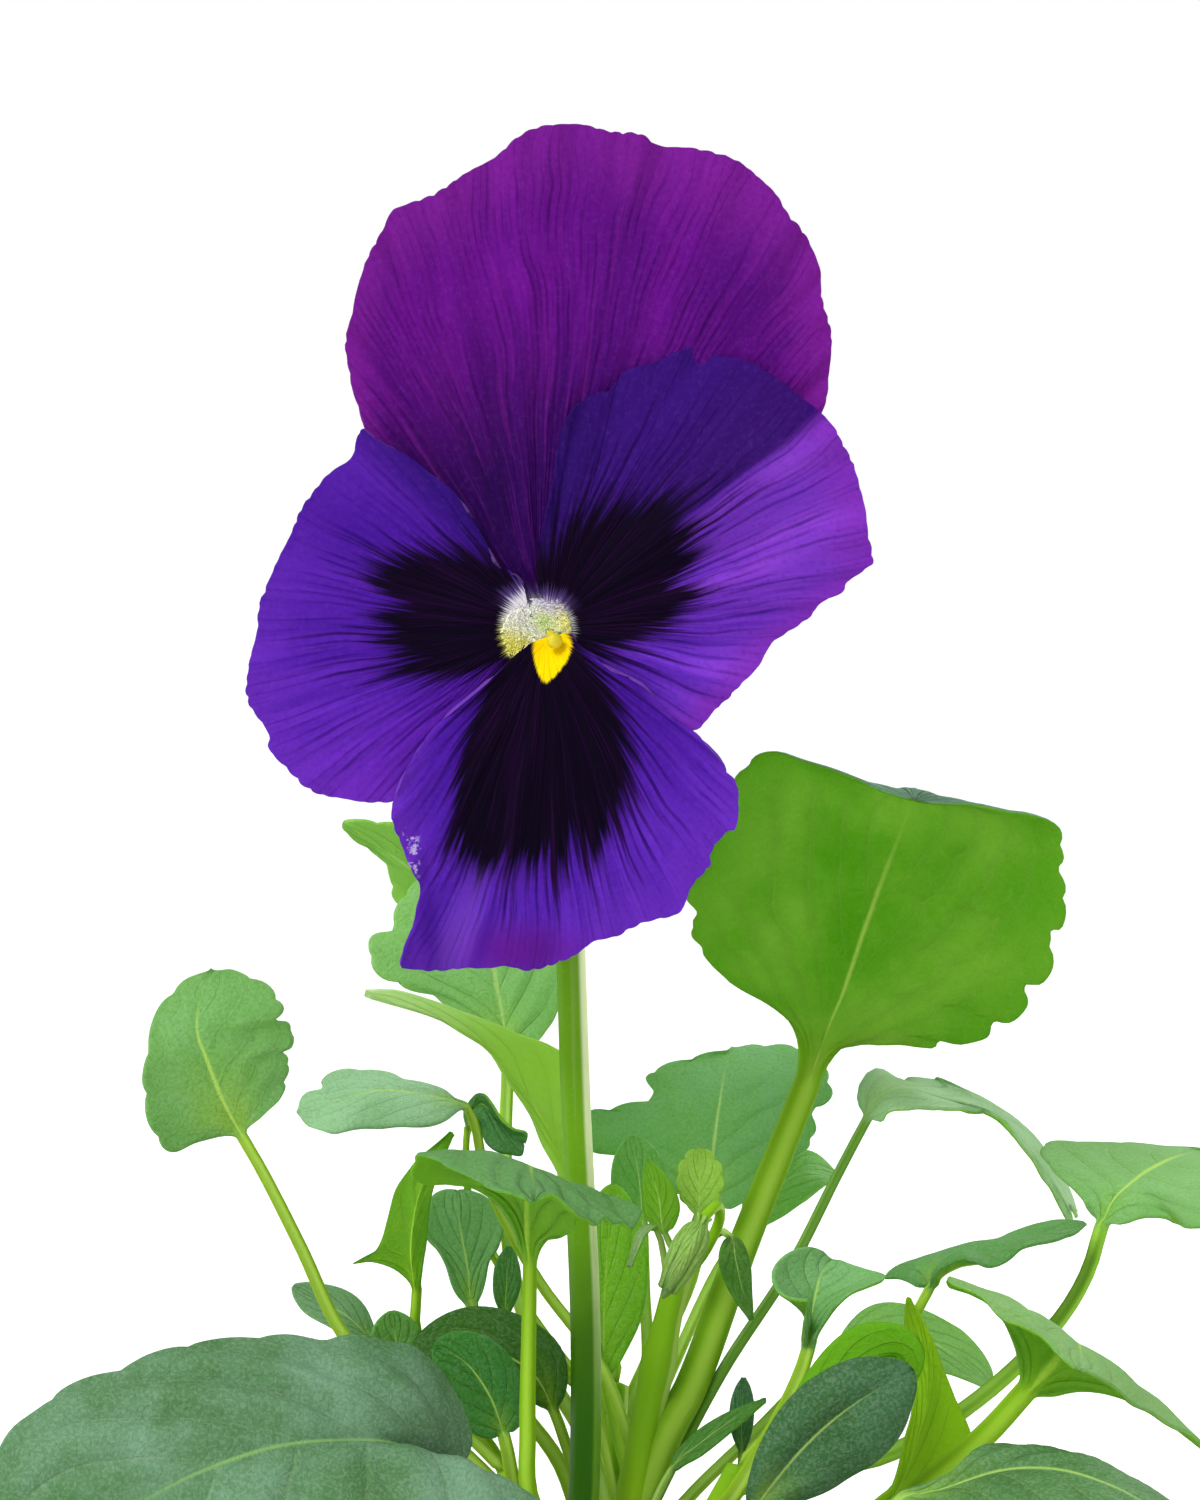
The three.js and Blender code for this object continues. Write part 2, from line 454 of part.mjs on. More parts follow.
function toSolid(geometry) {
  const plain = geometry.clone();
  plain.deleteAttribute('normal');
  plain.deleteAttribute('uv');
  const merged = mergeVertices(plain, 1e-4);
  const corners = new Float32Array(merged.attributes.position.array);
  const triangles = new Uint32Array(merged.index.array);
  const solid = solidOf(corners, triangles);
  if (solid.volume() > 0) {
    return solid;
  }
  return solidOf(corners, triangles.reverse());
}

function toGeometry(solid) {
  const mesh = solid.getMesh();
  const geometry = new THREE.BufferGeometry();
  geometry.setAttribute('position', new THREE.BufferAttribute(new Float32Array(mesh.vertProperties), 3));
  geometry.setIndex(new THREE.BufferAttribute(new Uint32Array(mesh.triVerts), 1));
  geometry.computeVertexNormals();
  return geometry;
}

const solids = new Map();
const materials = new Map();

function keep(name, solid, material) {
  solids.set(name, solid);
  materials.set(name, material);
}

// A sheet starts as a flat box of many cells; place() sends each corner of a cell to its place

function sheet(across, along, place) {
  const geometry = new THREE.BoxGeometry(across, 1, along, across, 1, along);
  const position = geometry.attributes.position;
  for (let k = 0; k < position.count; k += 1) {
    const column = Math.round(position.getX(k) + across / 2);
    const row = Math.round(position.getZ(k) + along / 2);
    const point = place(row, column, Math.sign(position.getY(k)));
    position.setXYZ(k, point.x, point.y, point.z);
  }
  return toSolid(geometry);
}

// A tapering round stem along a curve

function stemAlong(curve, radii, grow = 0) {
  const geometry = new THREE.CylinderGeometry(1, 1, 1, STEM_SIDES, STEM_STEPS);
  const position = geometry.attributes.position;
  const side = new THREE.Vector3();
  const front = new THREE.Vector3();
  for (let k = 0; k < position.count; k += 1) {
    const share = position.getY(k) + 0.5;
    const tangent = curve.getTangentAt(share);
    side.set(1, 0, 0).addScaledVector(tangent, -tangent.x).normalize();
    front.crossVectors(side, tangent);
    const radius = THREE.MathUtils.lerp(radii[0], radii[1], share) + grow;
    const point = curve.getPointAt(share);
    point.addScaledVector(side, position.getX(k) * radius);
    point.addScaledVector(front, position.getZ(k) * radius);
    position.setXYZ(k, point.x, point.y, point.z);
  }
  return toSolid(geometry);
}

// A tube of one section along a curve

function tubeAlong(curve, shape, steps) {
  const geometry = new THREE.ExtrudeGeometry(shape, { steps, bevelEnabled: false, extrudePath: curve });
  return toSolid(geometry);
}

function ridgedSection(radius, ridge, ridges) {
  const shape = new THREE.Shape();
  const corners = ridges * 2;
  for (let k = 0; k < corners; k += 1) {
    const angle = (k / corners) * 2 * Math.PI;
    const reach = radius + (k % 2 === 0 ? ridge : -ridge);
    const point = [reach * Math.cos(angle), reach * Math.sin(angle)];
    if (k === 0) {
      shape.moveTo(...point);
    } else {
      shape.lineTo(...point);
    }
  }
  shape.closePath();
  return shape;
}

// Pot: a lathed clay shell with a collar and drain holes

function potSolid() {
  const slope = (POT_TOP_RADIUS - POT_COLLAR_STEP - POT_FOOT_RADIUS) / (POT_HEIGHT - POT_COLLAR_HEIGHT);
  const outerAt = (height) => POT_FOOT_RADIUS + slope * height;
  const collarFoot = POT_HEIGHT - POT_COLLAR_HEIGHT;
  const profile = [
    [0, 0],
    [POT_FOOT_RADIUS - POT_ROUNDING, 0],
    [outerAt(POT_ROUNDING), POT_ROUNDING],
    [outerAt(collarFoot), collarFoot],
    [outerAt(collarFoot) + POT_COLLAR_STEP - 1, collarFoot + 1],
    [POT_TOP_RADIUS - POT_ROUNDING / 2, POT_HEIGHT - POT_ROUNDING],
    [POT_TOP_RADIUS - POT_ROUNDING, POT_HEIGHT],
    [innerRadiusAt(POT_HEIGHT) + POT_ROUNDING, POT_HEIGHT],
    [innerRadiusAt(POT_HEIGHT - POT_ROUNDING), POT_HEIGHT - POT_ROUNDING],
    [innerRadiusAt(POT_FLOOR + POT_ROUNDING), POT_FLOOR + POT_ROUNDING],
    [innerRadiusAt(POT_FLOOR) - POT_ROUNDING, POT_FLOOR],
    [0, POT_FLOOR],
  ];
  const shell = new THREE.LatheGeometry(profile.map((p) => new THREE.Vector2(...p)), POT_SIDES);
  shell.rotateX(Math.PI / 2);
  let solid = toSolid(shell);
  for (let k = 0; k < DRAIN_HOLES; k += 1) {
    const angle = ((k + 0.5) / DRAIN_HOLES) * 2 * Math.PI;
    const hole = new THREE.CylinderGeometry(DRAIN_HOLE_RADIUS, DRAIN_HOLE_RADIUS, 4 * POT_FLOOR, 16);
    hole.rotateX(Math.PI / 2);
    hole.translate(DRAIN_CIRCLE_RADIUS * Math.cos(angle), DRAIN_CIRCLE_RADIUS * Math.sin(angle), 0);
    solid = solid.subtract(toSolid(hole));
  }
  return solid;
}

function innerRadiusAt(height) {
  const slope = (POT_TOP_RADIUS - POT_COLLAR_STEP - POT_FOOT_RADIUS) / (POT_HEIGHT - POT_COLLAR_HEIGHT);
  return POT_FOOT_RADIUS - POT_WALL + slope * height;
}

// Potting mix: fills the pot to below the rim, with a low mound and lumps on top

function mixSolid(plugs) {
  const foot = POT_FLOOR + GAP;
  const top = MIX_TOP;
  const profile = [
    [0, foot],
    [innerRadiusAt(foot) - POT_ROUNDING - GAP, foot],
    [innerRadiusAt(foot + POT_ROUNDING) - GAP, foot + POT_ROUNDING],
    [innerRadiusAt(top) - GAP - 0.4, top],
    [innerRadiusAt(top) * 0.75, top],
    [innerRadiusAt(top) * 0.5, top],
    [innerRadiusAt(top) * 0.25, top],
    [0, top],
  ];
  const body = new THREE.LatheGeometry(profile.map((p) => new THREE.Vector2(...p)), POT_SIDES / 2);
  body.rotateX(Math.PI / 2);
  const position = body.attributes.position;
  for (let k = 0; k < position.count; k += 1) {
    const x = position.getX(k);
    const y = position.getY(k);
    const reach = Math.hypot(x, y) / innerRadiusAt(top);
    if (position.getZ(k) > top - 0.01 && reach < 0.97) {
      const lump = MIX_LUMP * Math.sin(x * 0.31 + 1) * Math.cos(y * 0.27);
      position.setZ(k, top + MIX_MOUND * (1 - reach * reach) + lump * (1 - reach));
    }
  }
  let solid = toSolid(body);
  for (const plug of plugs) {
    solid = solid.subtract(plug);
  }
  return solid;
}

// Leaf: one bar, round along its stalk and spread to a thin sheet in the blade

function crosswise(reference, tangent) {
  return reference.clone().addScaledVector(tangent, -reference.dot(tangent)).normalize();
}

function leafSolid(leaf, start) {
  const shape = new THREE.SplineCurve(SHAPES[leaf.shape].map((p) => new THREE.Vector2(...p)));
  const rib = curveThrough(leaf.rib);
  const ribLength = rib.getLength();
  const stalkCurve = curveThrough([start.toArray(), ...leaf.stalk, leaf.rib[0]]);
  const baseFace = vector(leaf.face[0]);
  const tipFace = vector(leaf.face[1]);
  const wider = Math.max(leaf.left, leaf.right);
  const { across, rows: bladeRows } = LEAF_CELLS.find((cells) => wider <= cells.upTo);
  const wantedRows = Math.ceil(stalkCurve.getLength() / STALK_ROW_LENGTH);
  const stalkRows = Math.min(wantedRows, MOST_STALK_ROWS);

  function onStalk(share, column, level) {
    const tangent = stalkCurve.getTangentAt(share);
    const up = crosswise(baseFace, tangent);
    const side = tangent.clone().cross(up);
    const angle = Math.PI * (1 - (column + 0.5) / (across + 1));
    const radius = leaf.thick * (1.15 - 0.3 * share);
    return stalkCurve.getPointAt(share)
      .addScaledVector(side, radius * Math.cos(angle))
      .addScaledVector(up, level * radius * Math.sin(angle));
  }

  function onBlade(share, column, level) {
    const along = Math.pow(share, 1.1);
    const tangent = rib.getTangentAt(along);
    const up = crosswise(baseFace.clone().lerp(tipFace, along), tangent);
    const side = tangent.clone().cross(up);
    const ratio = (2 * column) / across - 1;
    const half = ratio < 0 ? leaf.left : leaf.right;
    const bend = THREE.MathUtils.degToRad(ratio < 0 ? leaf.cup[0] : leaf.cup[1]);
    const edge = shape.getPoint(share);
    const reach = Math.max(edge.y * half, 0.35) * Math.abs(ratio);
    const lean = bend * (reach / half) * 0.5;
    const slide = (edge.x - along) * ribLength * Math.abs(ratio);
    const ripple = leaf.wave * ratio * ratio * Math.sin(9 * share + 2 * Math.sign(ratio));
    const keel = Math.abs(ratio) < 0.01 && level < 0 ? leaf.thick * (1 - share) * 1.3 : 0;
    return rib.getPointAt(along)
      .addScaledVector(tangent, slide)
      .addScaledVector(side, Math.sign(ratio) * reach * Math.cos(lean))
      .addScaledVector(up, reach * Math.sin(lean) + ripple + (level * BLADE_THICKNESS) / 2 - keel);
  }

  return sheet(across, stalkRows + bladeRows, (row, column, level) => {
    if (row < stalkRows) {
      return onStalk(row / stalkRows, column, level);
    }
    return onBlade((row - stalkRows) / bladeRows, column, level);
  });
}

// Flower: places are (across, up, depth) from the throat, depth towards the viewer

function atThroat(across, up, depth) {
  return new THREE.Vector3(THROAT.x + across, THROAT.y - depth, THROAT.z + up);
}

function faceDepth(across, up) {
  const reach = Math.hypot(across, up) / THROAT_WIDTH;
  const funnel = -THROAT_DEPTH * Math.exp(-reach * reach);
  const top = up > 0 ? -TOP_LEAN * (up / BLOOM_TOP) ** 2 : 0;
  const bottom = up < 0 ? -BOTTOM_LEAN * (up / BLOOM_BOTTOM) ** 2 : 0;
  return funnel + top + bottom;
}

function petalSolid(petal) {
  const outline = new THREE.SplineCurve(petal.outline.map((p) => new THREE.Vector2(...p)));
  const base = new THREE.Vector2(...petal.base);
  return sheet(PETAL_COLUMNS, PETAL_ROWS, (row, column, level) => {
    const turn = column / PETAL_COLUMNS;
    const share = PETAL_START + (1 - PETAL_START) * (row / PETAL_ROWS);
    const point = outline.getPoint(turn).sub(base).multiplyScalar(share).add(base);
    const ripple = petal.wave * share ** 3 * Math.sin(2 * Math.PI * petal.waves * turn);
    const depth = faceDepth(point.x, point.y) + petal.layer + ripple;
    return atThroat(point.x, point.y, depth + (level * PETAL_THICKNESS) / 2);
  });
}

function circleSection(radius, corners) {
  return ridgedSection(radius, 0, corners / 2);
}

function lathedAlong(profile, sides, from, to) {
  const geometry = new THREE.LatheGeometry(profile.map((p) => new THREE.Vector2(...p)), sides);
  const axis = to.clone().sub(from).normalize();
  geometry.applyQuaternion(new THREE.Quaternion().setFromUnitVectors(new THREE.Vector3(0, 1, 0), axis));
  geometry.translate(from.x, from.y, from.z);
  return toSolid(geometry);
}

function sepalSolid(angle) {
  const turn = THREE.MathUtils.degToRad(angle);
  const at = (reach, depth) => atThroat(reach * Math.cos(turn), reach * Math.sin(turn), depth).toArray();
  const auricle = angle === SEPAL_ANGLES[0] ? 0.2 : SEPAL_AURICLE;
  const first = RECEPTACLE_RADIUS + GAP + 0.5;
  const rib = curveThrough([
    at(first + 0.3, RECEPTACLE_DEPTH - auricle),
    at(first, RECEPTACLE_DEPTH),
    at(first + 1.6, RECEPTACLE_DEPTH + 1.8),
    at(SEPAL_LENGTH * 0.6, RECEPTACLE_DEPTH + 2.2),
    at(SEPAL_LENGTH, RECEPTACLE_DEPTH + 1.6),
  ]);
  const shape = new THREE.SplineCurve(SHAPES.lance.map((p) => new THREE.Vector2(...p)));
  const outward = vector([Math.cos(turn), 0, Math.sin(turn)]);
  const rows = 9;
  return sheet(2, rows, (row, column, level) => {
    const share = row / rows;
    const tangent = rib.getTangentAt(share);
    const side = outward.clone().cross(vector([0, 1, 0])).normalize();
    const up = side.clone().cross(tangent).normalize();
    const reach = shape.getPoint(share).y * SEPAL_HALF_WIDTH * (column - 1);
    return rib.getPointAt(share)
      .addScaledVector(side, reach)
      .addScaledVector(up, (level * BLADE_THICKNESS) / 2);
  });
}

// Stems first, so that what grows on them can be cut back from them

const stemCurves = new Map();
const grownStems = new Map();
for (const stem of [MAIN_STEM, ...SHOOTS]) {
  const curve = curveThrough(stem.points);
  stemCurves.set(stem.name, curve);
  grownStems.set(stem.name, stemAlong(curve, stem.radii, GAP));
}
keep('main_stem', stemAlong(stemCurves.get('main_stem'), MAIN_STEM.radii), STEM_GREEN);
for (const shoot of SHOOTS) {
  const solid = stemAlong(stemCurves.get(shoot.name), shoot.radii).subtract(grownStems.get('main_stem'));
  keep(shoot.name, solid, STEM_GREEN);
}

for (const leaf of LEAVES) {
  const start = stemCurves.get(leaf.on).getPointAt(leaf.at);
  keep(leaf.name, leafSolid(leaf, start).subtract(grownStems.get(leaf.on)), LEAF_GREEN);
}

const stalkCurve = curveThrough(STALK_POINTS);
const receptacle = new THREE.SphereGeometry(RECEPTACLE_RADIUS, 10, 8);
const receptaclePlace = atThroat(0, 0, RECEPTACLE_DEPTH);
receptacle.translate(receptaclePlace.x, receptaclePlace.y, receptaclePlace.z);
const stalkSection = ridgedSection(STALK_RADIUS, STALK_RIDGE, STALK_RIDGES);
const flowerStalk = tubeAlong(stalkCurve, stalkSection, STALK_STEPS)
  .add(toSolid(receptacle))
  .subtract(grownStems.get('main_stem'));
keep('flower_stalk', flowerStalk, STEM_GREEN);

for (const petal of PETALS) {
  let solid = petalSolid(petal);
  if (petal.name === 'petal_lower') {
    const spur = curveThrough(SPUR_PATH.map((p) => atThroat(...p).toArray()));
    solid = solid.add(tubeAlong(spur, circleSection(SPUR_RADIUS, 10), 6));
  }
  keep(petal.name, solid, new THREE.MeshStandardMaterial({ color: petal.colour, roughness: 0.6 }));
}

SEPAL_ANGLES.forEach((angle, k) => keep(`sepal_${k + 1}`, sepalSolid(angle), LEAF_GREEN));

const styleFoot = atThroat(0, 0, RECEPTACLE_DEPTH + RECEPTACLE_RADIUS + GAP);
const stigmaPlace = atThroat(...STIGMA_PLACE);
const styleLength = styleFoot.distanceTo(stigmaPlace);
const stigma = new THREE.SphereGeometry(STIGMA_RADIUS, 10, 8);
stigma.translate(stigmaPlace.x, stigmaPlace.y, stigmaPlace.z);
const styleProfile = [[0, 0], [STYLE_RADIUS, 0], [STYLE_RADIUS, styleLength], [0, styleLength]];
keep('pistil', lathedAlong(styleProfile, 8, styleFoot, stigmaPlace).add(toSolid(stigma)), STIGMA_GREEN);

const bore = STYLE_RADIUS + GAP;
const antherProfile = [
  [bore, 0],
  [ANTHER_RADIUS, 0],
  [ANTHER_TOP_RADIUS, ANTHER_LENGTH],
  [bore, ANTHER_LENGTH],
  [bore, 0],
];
keep('anther_cone', lathedAlong(antherProfile, 10, styleFoot, stigmaPlace), ANTHER_TAN);

const budStalkCurve = curveThrough(BUD_STALK_POINTS);
const budStalk = tubeAlong(budStalkCurve, circleSection(BUD_STALK_RADIUS, 6), BUD_STALK_STEPS)
  .subtract(grownStems.get('main_stem'));
const bud = lathedAlong(BUD_PROFILE, BUD_SIDES, vector(BUD_TOP), vector(BUD_TIP));
keep('bud', bud, LEAF_GREEN);
keep('bud_stalk', budStalk, STEM_GREEN);

keep('pot', potSolid(), CLAY);
keep('potting_mix', mixSolid([...grownStems.values()]), MIX);

const plant = new THREE.Group();
for (const [name, solid] of solids) {
  const mesh = new THREE.Mesh(toGeometry(solid), materials.get(name));
  mesh.name = name;
  plant.add(mesh);
}

export default plant;
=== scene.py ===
import math

import bpy
import numpy as np
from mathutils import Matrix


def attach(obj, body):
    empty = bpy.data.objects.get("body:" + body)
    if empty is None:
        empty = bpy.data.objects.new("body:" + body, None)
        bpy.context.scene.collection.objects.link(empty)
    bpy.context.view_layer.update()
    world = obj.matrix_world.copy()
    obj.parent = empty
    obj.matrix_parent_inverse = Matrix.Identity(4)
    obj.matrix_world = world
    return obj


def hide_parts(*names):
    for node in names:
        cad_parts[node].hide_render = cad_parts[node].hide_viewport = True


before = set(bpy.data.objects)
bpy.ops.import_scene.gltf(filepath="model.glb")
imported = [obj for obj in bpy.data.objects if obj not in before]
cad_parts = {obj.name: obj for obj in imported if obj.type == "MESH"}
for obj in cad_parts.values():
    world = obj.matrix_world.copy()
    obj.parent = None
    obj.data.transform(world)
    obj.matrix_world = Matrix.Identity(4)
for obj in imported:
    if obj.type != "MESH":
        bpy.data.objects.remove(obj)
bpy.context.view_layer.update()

# Studio: a pale matt floor under a surround that is white at eye height and greyer overhead, with
# one wide soft key light from the upper left and a lamp behind on the right, whose light comes
# through petals and leaves. The camera stands 0.4 m from the bloom and looks down by 3 degrees.
CAMERA_PLACE = (0, -0.41145, 0.20873)
CAMERA_TILT = 87
CAMERA_LENS = 96
CAMERA_SENSOR = 36
FLOOR_RADIUS = 7
SURROUND_LOW = 1.0
SURROUND_HIGH = 0.42
LIT_SPOT = (0, 0, 0.16)
KEY_PLACE = (-0.62, -0.6, 1.1)
KEY_POWER = 2.7
KEY_SPREAD = 32
LAMP_PLACE = (0.7, 0.75, 0.95)
LAMP_SIZE = 0.7
LAMP_POWER = 10


def rgb(red, green, blue):
    """A colour as a screen shows it, 0 to 255, turned into the light that a shader works in."""
    shown = np.array([red, green, blue]) / 255
    light = np.where(shown <= 0.04045, shown / 12.92, ((shown + 0.055) / 1.055) ** 2.4)
    return (*[round(float(v), 5) for v in light], 1)


class Shade:
    """One value in a material's nodes. Arithmetic on it adds Math nodes."""

    def __init__(self, tree, socket=None):
        self.tree = tree
        self.socket = socket

    def node(self, kind, settings, inputs, out=0):
        made = self.tree.nodes.new("ShaderNode" + kind)
        for name, value in settings.items():
            if name == "stops":
                elements = made.color_ramp.elements
                while len(elements) < len(value):
                    elements.new(0.5)
                for element, (place, level) in zip(elements, value):
                    element.position = place
                    element.color = (level, level, level, 1)
            elif name == "ease":
                made.color_ramp.interpolation = value
            else:
                setattr(made, name, value)
        for name, value in inputs.items():
            if isinstance(value, Shade):
                self.tree.links.new(value.socket, made.inputs[name])
            else:
                made.inputs[name].default_value = value
        return Shade(self.tree, made.outputs[out])

    def maths(self, operation, *values):
        return self.node("Math", {"operation": operation}, dict(enumerate(values)))

    def __add__(self, other):
        return self.maths("ADD", self, other)

    def __radd__(self, other):
        return self.maths("ADD", other, self)

    def __sub__(self, other):
        return self.maths("SUBTRACT", self, other)

    def __rsub__(self, other):
        return self.maths("SUBTRACT", other, self)

    def __mul__(self, other):
        return self.maths("MULTIPLY", self, other)

    def __rmul__(self, other):
        return self.maths("MULTIPLY", other, self)

    def __truediv__(self, other):
        return self.maths("DIVIDE", self, other)

    def __pow__(self, other):
        return self.maths("POWER", self, other)

    def __abs__(self):
        return self.maths("ABSOLUTE", self)

    def rise(self, low, high):
        """0 below low and 1 above high, with a soft step between; low may be the higher one."""
        return self.node("MapRange", {"interpolation_type": "SMOOTHSTEP"},
                         {"Value": self, "From Min": low, "From Max": high})

    def between(self, first, second):
        """The first colour where this value is 0, the second where it is 1."""
        return self.node("Mix", {"data_type": "RGBA"}, {0: self, 6: first, 7: second}, out=2)

    def noise(self, place, scale, detail=2.0, rough=0.5):
        return self.node("TexNoise", {}, {"Vector": place, "Scale": scale, "Detail": detail,
                                          "Roughness": rough})

    def stretched(self, *factors):
        """A vector with its three values multiplied."""
        return self.node("VectorMath", {"operation": "MULTIPLY"}, {0: self, 1: factors})

    def part(self, number):
        """One of a vector's three values."""
        return self.node("SeparateXYZ", {}, {0: self}, out=number)

    def place(self):
        """The point on the piece, in millimetres."""
        return self.node("TexCoord", {}, {}, out=3).stretched(1000, 1000, 1000)

    def strip(self):
        """The two values of a piece's own map."""
        both = self.node("UVMap", {"uv_map": "Strip"}, {})
        return both.part(0), both.part(1)

    def spread(self, *values):
        """A vector of these values, to lay a pattern along them."""
        return self.node("CombineXYZ", {}, dict(enumerate(values)))


def open_material(name):
    material = bpy.data.materials.new(name)
    material.use_nodes = True
    material.node_tree.nodes.clear()
    return material, Shade(material.node_tree)


def close_material(paint, colour, roughness, height, depth, through=None, share=0.0, fixed={}):
    """Joins colour, gloss, relief (depth in mm) and light that comes through to the output."""
    relief = paint.node("Bump", {}, {"Height": height, "Strength": 1.0, "Distance": depth / 1000})
    shader = paint.node("BsdfPrincipled", {},
                        {"Base Color": colour, "Roughness": roughness, "Normal": relief, **fixed})
    if through is not None:
        thin = paint.node("BsdfTranslucent", {}, {"Color": through})
        shader = paint.node("MixShader", {}, {0: share, 1: shader, 2: thin})
    output = paint.tree.nodes.new("ShaderNodeOutputMaterial")
    paint.tree.links.new(shader.socket, output.inputs["Surface"])


def begin(add, name, **settings):
    """Deselects everything and adds one new object."""
    bpy.ops.object.select_all(action="DESELECT")
    add(**settings)
    bpy.context.object.name = name
    return bpy.context.object


camera = begin(bpy.ops.object.camera_add, "camera", location=CAMERA_PLACE,
               rotation=(math.radians(CAMERA_TILT), 0, 0))
camera.data.lens = CAMERA_LENS
camera.data.sensor_width = CAMERA_SENSOR
bpy.context.scene.camera = camera


def aimed(spot):
    """The turn that points a lamp from its spot at the plant."""
    aim = np.array(LIT_SPOT) - np.array(spot)
    return (math.atan2(math.hypot(aim[0], aim[1]), -aim[2]), 0, math.atan2(-aim[0], aim[1]))


key_light = begin(bpy.ops.object.light_add, "key_light", type="SUN", location=KEY_PLACE,
                  rotation=aimed(KEY_PLACE))
key_light.data.energy = KEY_POWER
key_light.data.angle = math.radians(KEY_SPREAD)
lamp_back = begin(bpy.ops.object.light_add, "lamp_back", type="AREA", location=LAMP_PLACE,
                  rotation=aimed(LAMP_PLACE))
lamp_back.data.shape = "DISK"
lamp_back.data.size = LAMP_SIZE
lamp_back.data.energy = LAMP_POWER

surround = bpy.data.worlds.new("surround")
surround.use_nodes = True
paint = Shade(surround.node_tree)
overhead = paint.node("TexCoord", {}, {}).part(2)
sky = overhead.rise(0.15, 0.6).between((SURROUND_LOW,) * 3 + (1,), (SURROUND_HIGH,) * 3 + (1,))
surround.node_tree.links.new(sky.socket, surround.node_tree.nodes["Background"].inputs["Color"])
bpy.context.scene.world = surround
bpy.context.scene.view_settings.view_transform = "Standard"

floor = begin(bpy.ops.mesh.primitive_circle_add, "floor", vertices=96, radius=FLOOR_RADIUS,
              fill_type="NGON")
floor_paint, paint = open_material("floor_paint")
grain = paint.noise(paint.place(), 0.4, 3.0)
close_material(paint, grain.between(rgb(250, 250, 249), rgb(253, 253, 252)), 0.9, grain, 0.05)
floor.data.materials.append(floor_paint)

# Pot: a plain fired-clay flowerpot, thrown with a collar round the rim, three drain holes in its
# floor and a small rounding on every edge. It is made as one wall, up the outside and down the
# inside, and the holes are cut last. Bare terracotta: salts and damp show in its colour.
POT_HEIGHT = 92
POT_TOP = 52
POT_FOOT = 36
POT_WALL = 5
POT_FLOOR = 6
COLLAR_HEIGHT = 20
COLLAR_STEP = 3
POT_SLOPE = (POT_TOP - COLLAR_STEP - POT_FOOT) / (POT_HEIGHT - COLLAR_HEIGHT)
DRAIN_RADIUS = 5
DRAIN_CIRCLE = 19
DRAIN_HOLES = 3
WORN_EDGE = 0.5


def outer_radius(height):
    return POT_FOOT + POT_SLOPE * height


def inner_radius(height):
    return outer_radius(height) - POT_WALL


def pot_profile():
    """Radius and height in mm, from the middle of the foot round to the middle of the floor."""
    collar = POT_HEIGHT - COLLAR_HEIGHT
    lower = [(POT_FOOT - 1.5, 0), (POT_FOOT - 0.5, 0.35), (outer_radius(1.4), 1.4)]
    wall = [(outer_radius(h) + 0.09 * math.sin(h * 1.3), h) for h in np.linspace(4, collar - 2, 16)]
    step = [(outer_radius(collar) + 0.1, collar - 0.7), (outer_radius(collar) + 0.7, collar - 0.1),
            (outer_radius(collar) + 1.7, collar + 0.35), (outer_radius(collar) + 2.4, collar + 1.2)]
    band = [(outer_radius(collar) + 2.55 + 0.02 * (h - collar), h)
            for h in np.linspace(collar + 3, POT_HEIGHT - 3, 6)]
    lip = [(POT_TOP - 0.5, POT_HEIGHT - 1.7), (POT_TOP - 1.0, POT_HEIGHT - 0.6),
           (POT_TOP - 1.9, POT_HEIGHT), (inner_radius(POT_HEIGHT) + 1.9, POT_HEIGHT),
           (inner_radius(POT_HEIGHT) + 0.9, POT_HEIGHT - 0.5),
           (inner_radius(POT_HEIGHT) + 0.1, POT_HEIGHT - 1.8)]
    inside = [(inner_radius(h), h) for h in np.linspace(POT_HEIGHT - 6, POT_FLOOR + 4, 10)]
    corner = [(inner_radius(POT_FLOOR) - 0.3, POT_FLOOR + 1.2),
              (inner_radius(POT_FLOOR) - 1.5, POT_FLOOR)]
    return lower + wall + step + band + lip + inside + corner


def keep_active(piece):
    bpy.ops.object.select_all(action="DESELECT")
    piece.select_set(True)
    bpy.context.view_layer.objects.active = piece


profile = pot_profile()
pot = begin(bpy.ops.mesh.primitive_circle_add, "clay_pot", vertices=96, radius=profile[0][0] / 1000,
            fill_type="NOTHING")
bpy.ops.object.mode_set(mode="EDIT")
bpy.ops.mesh.select_all(action="SELECT")
for (radius, height), (wider, higher) in zip(profile, profile[1:]):
    lift = (0, 0, (higher - height) / 1000)
    bpy.ops.mesh.extrude_region_move(TRANSFORM_OT_translate={"value": lift})
    bpy.ops.transform.resize(value=(wider / radius, wider / radius, 1))
bpy.ops.mesh.edge_face_add()
bpy.ops.mesh.select_all(action="DESELECT")
bpy.ops.object.mode_set(mode="OBJECT")
for edge in pot.data.edges:
    ends = [pot.data.vertices[k].co for k in edge.vertices]
    edge.select = all(abs(end.z) < 1e-6 and end.xy.length < (POT_FOOT - 1.4) / 1000 for end in ends)
bpy.ops.object.mode_set(mode="EDIT")
bpy.ops.mesh.select_mode(type="EDGE")
bpy.ops.mesh.edge_face_add()
bpy.ops.mesh.select_mode(type="VERT")
bpy.ops.mesh.select_all(action="SELECT")
bpy.ops.mesh.normals_make_consistent(inside=False)
bpy.ops.object.mode_set(mode="OBJECT")
for k in range(DRAIN_HOLES):
    angle = (k + 0.5) / DRAIN_HOLES * 2 * math.pi
    x, y = DRAIN_CIRCLE * math.cos(angle), DRAIN_CIRCLE * math.sin(angle)
    drill = begin(bpy.ops.mesh.primitive_cylinder_add, "drill", vertices=40,
                  radius=DRAIN_RADIUS / 1000, depth=0.03, location=(x / 1000, y / 1000, 0))
    keep_active(pot)
    cut = pot.modifiers.new("drain_hole", "BOOLEAN")
    cut.operation = "DIFFERENCE"
    cut.object = drill
    bpy.ops.object.modifier_apply(modifier="drain_hole")
    bpy.data.objects.remove(drill)
keep_active(pot)
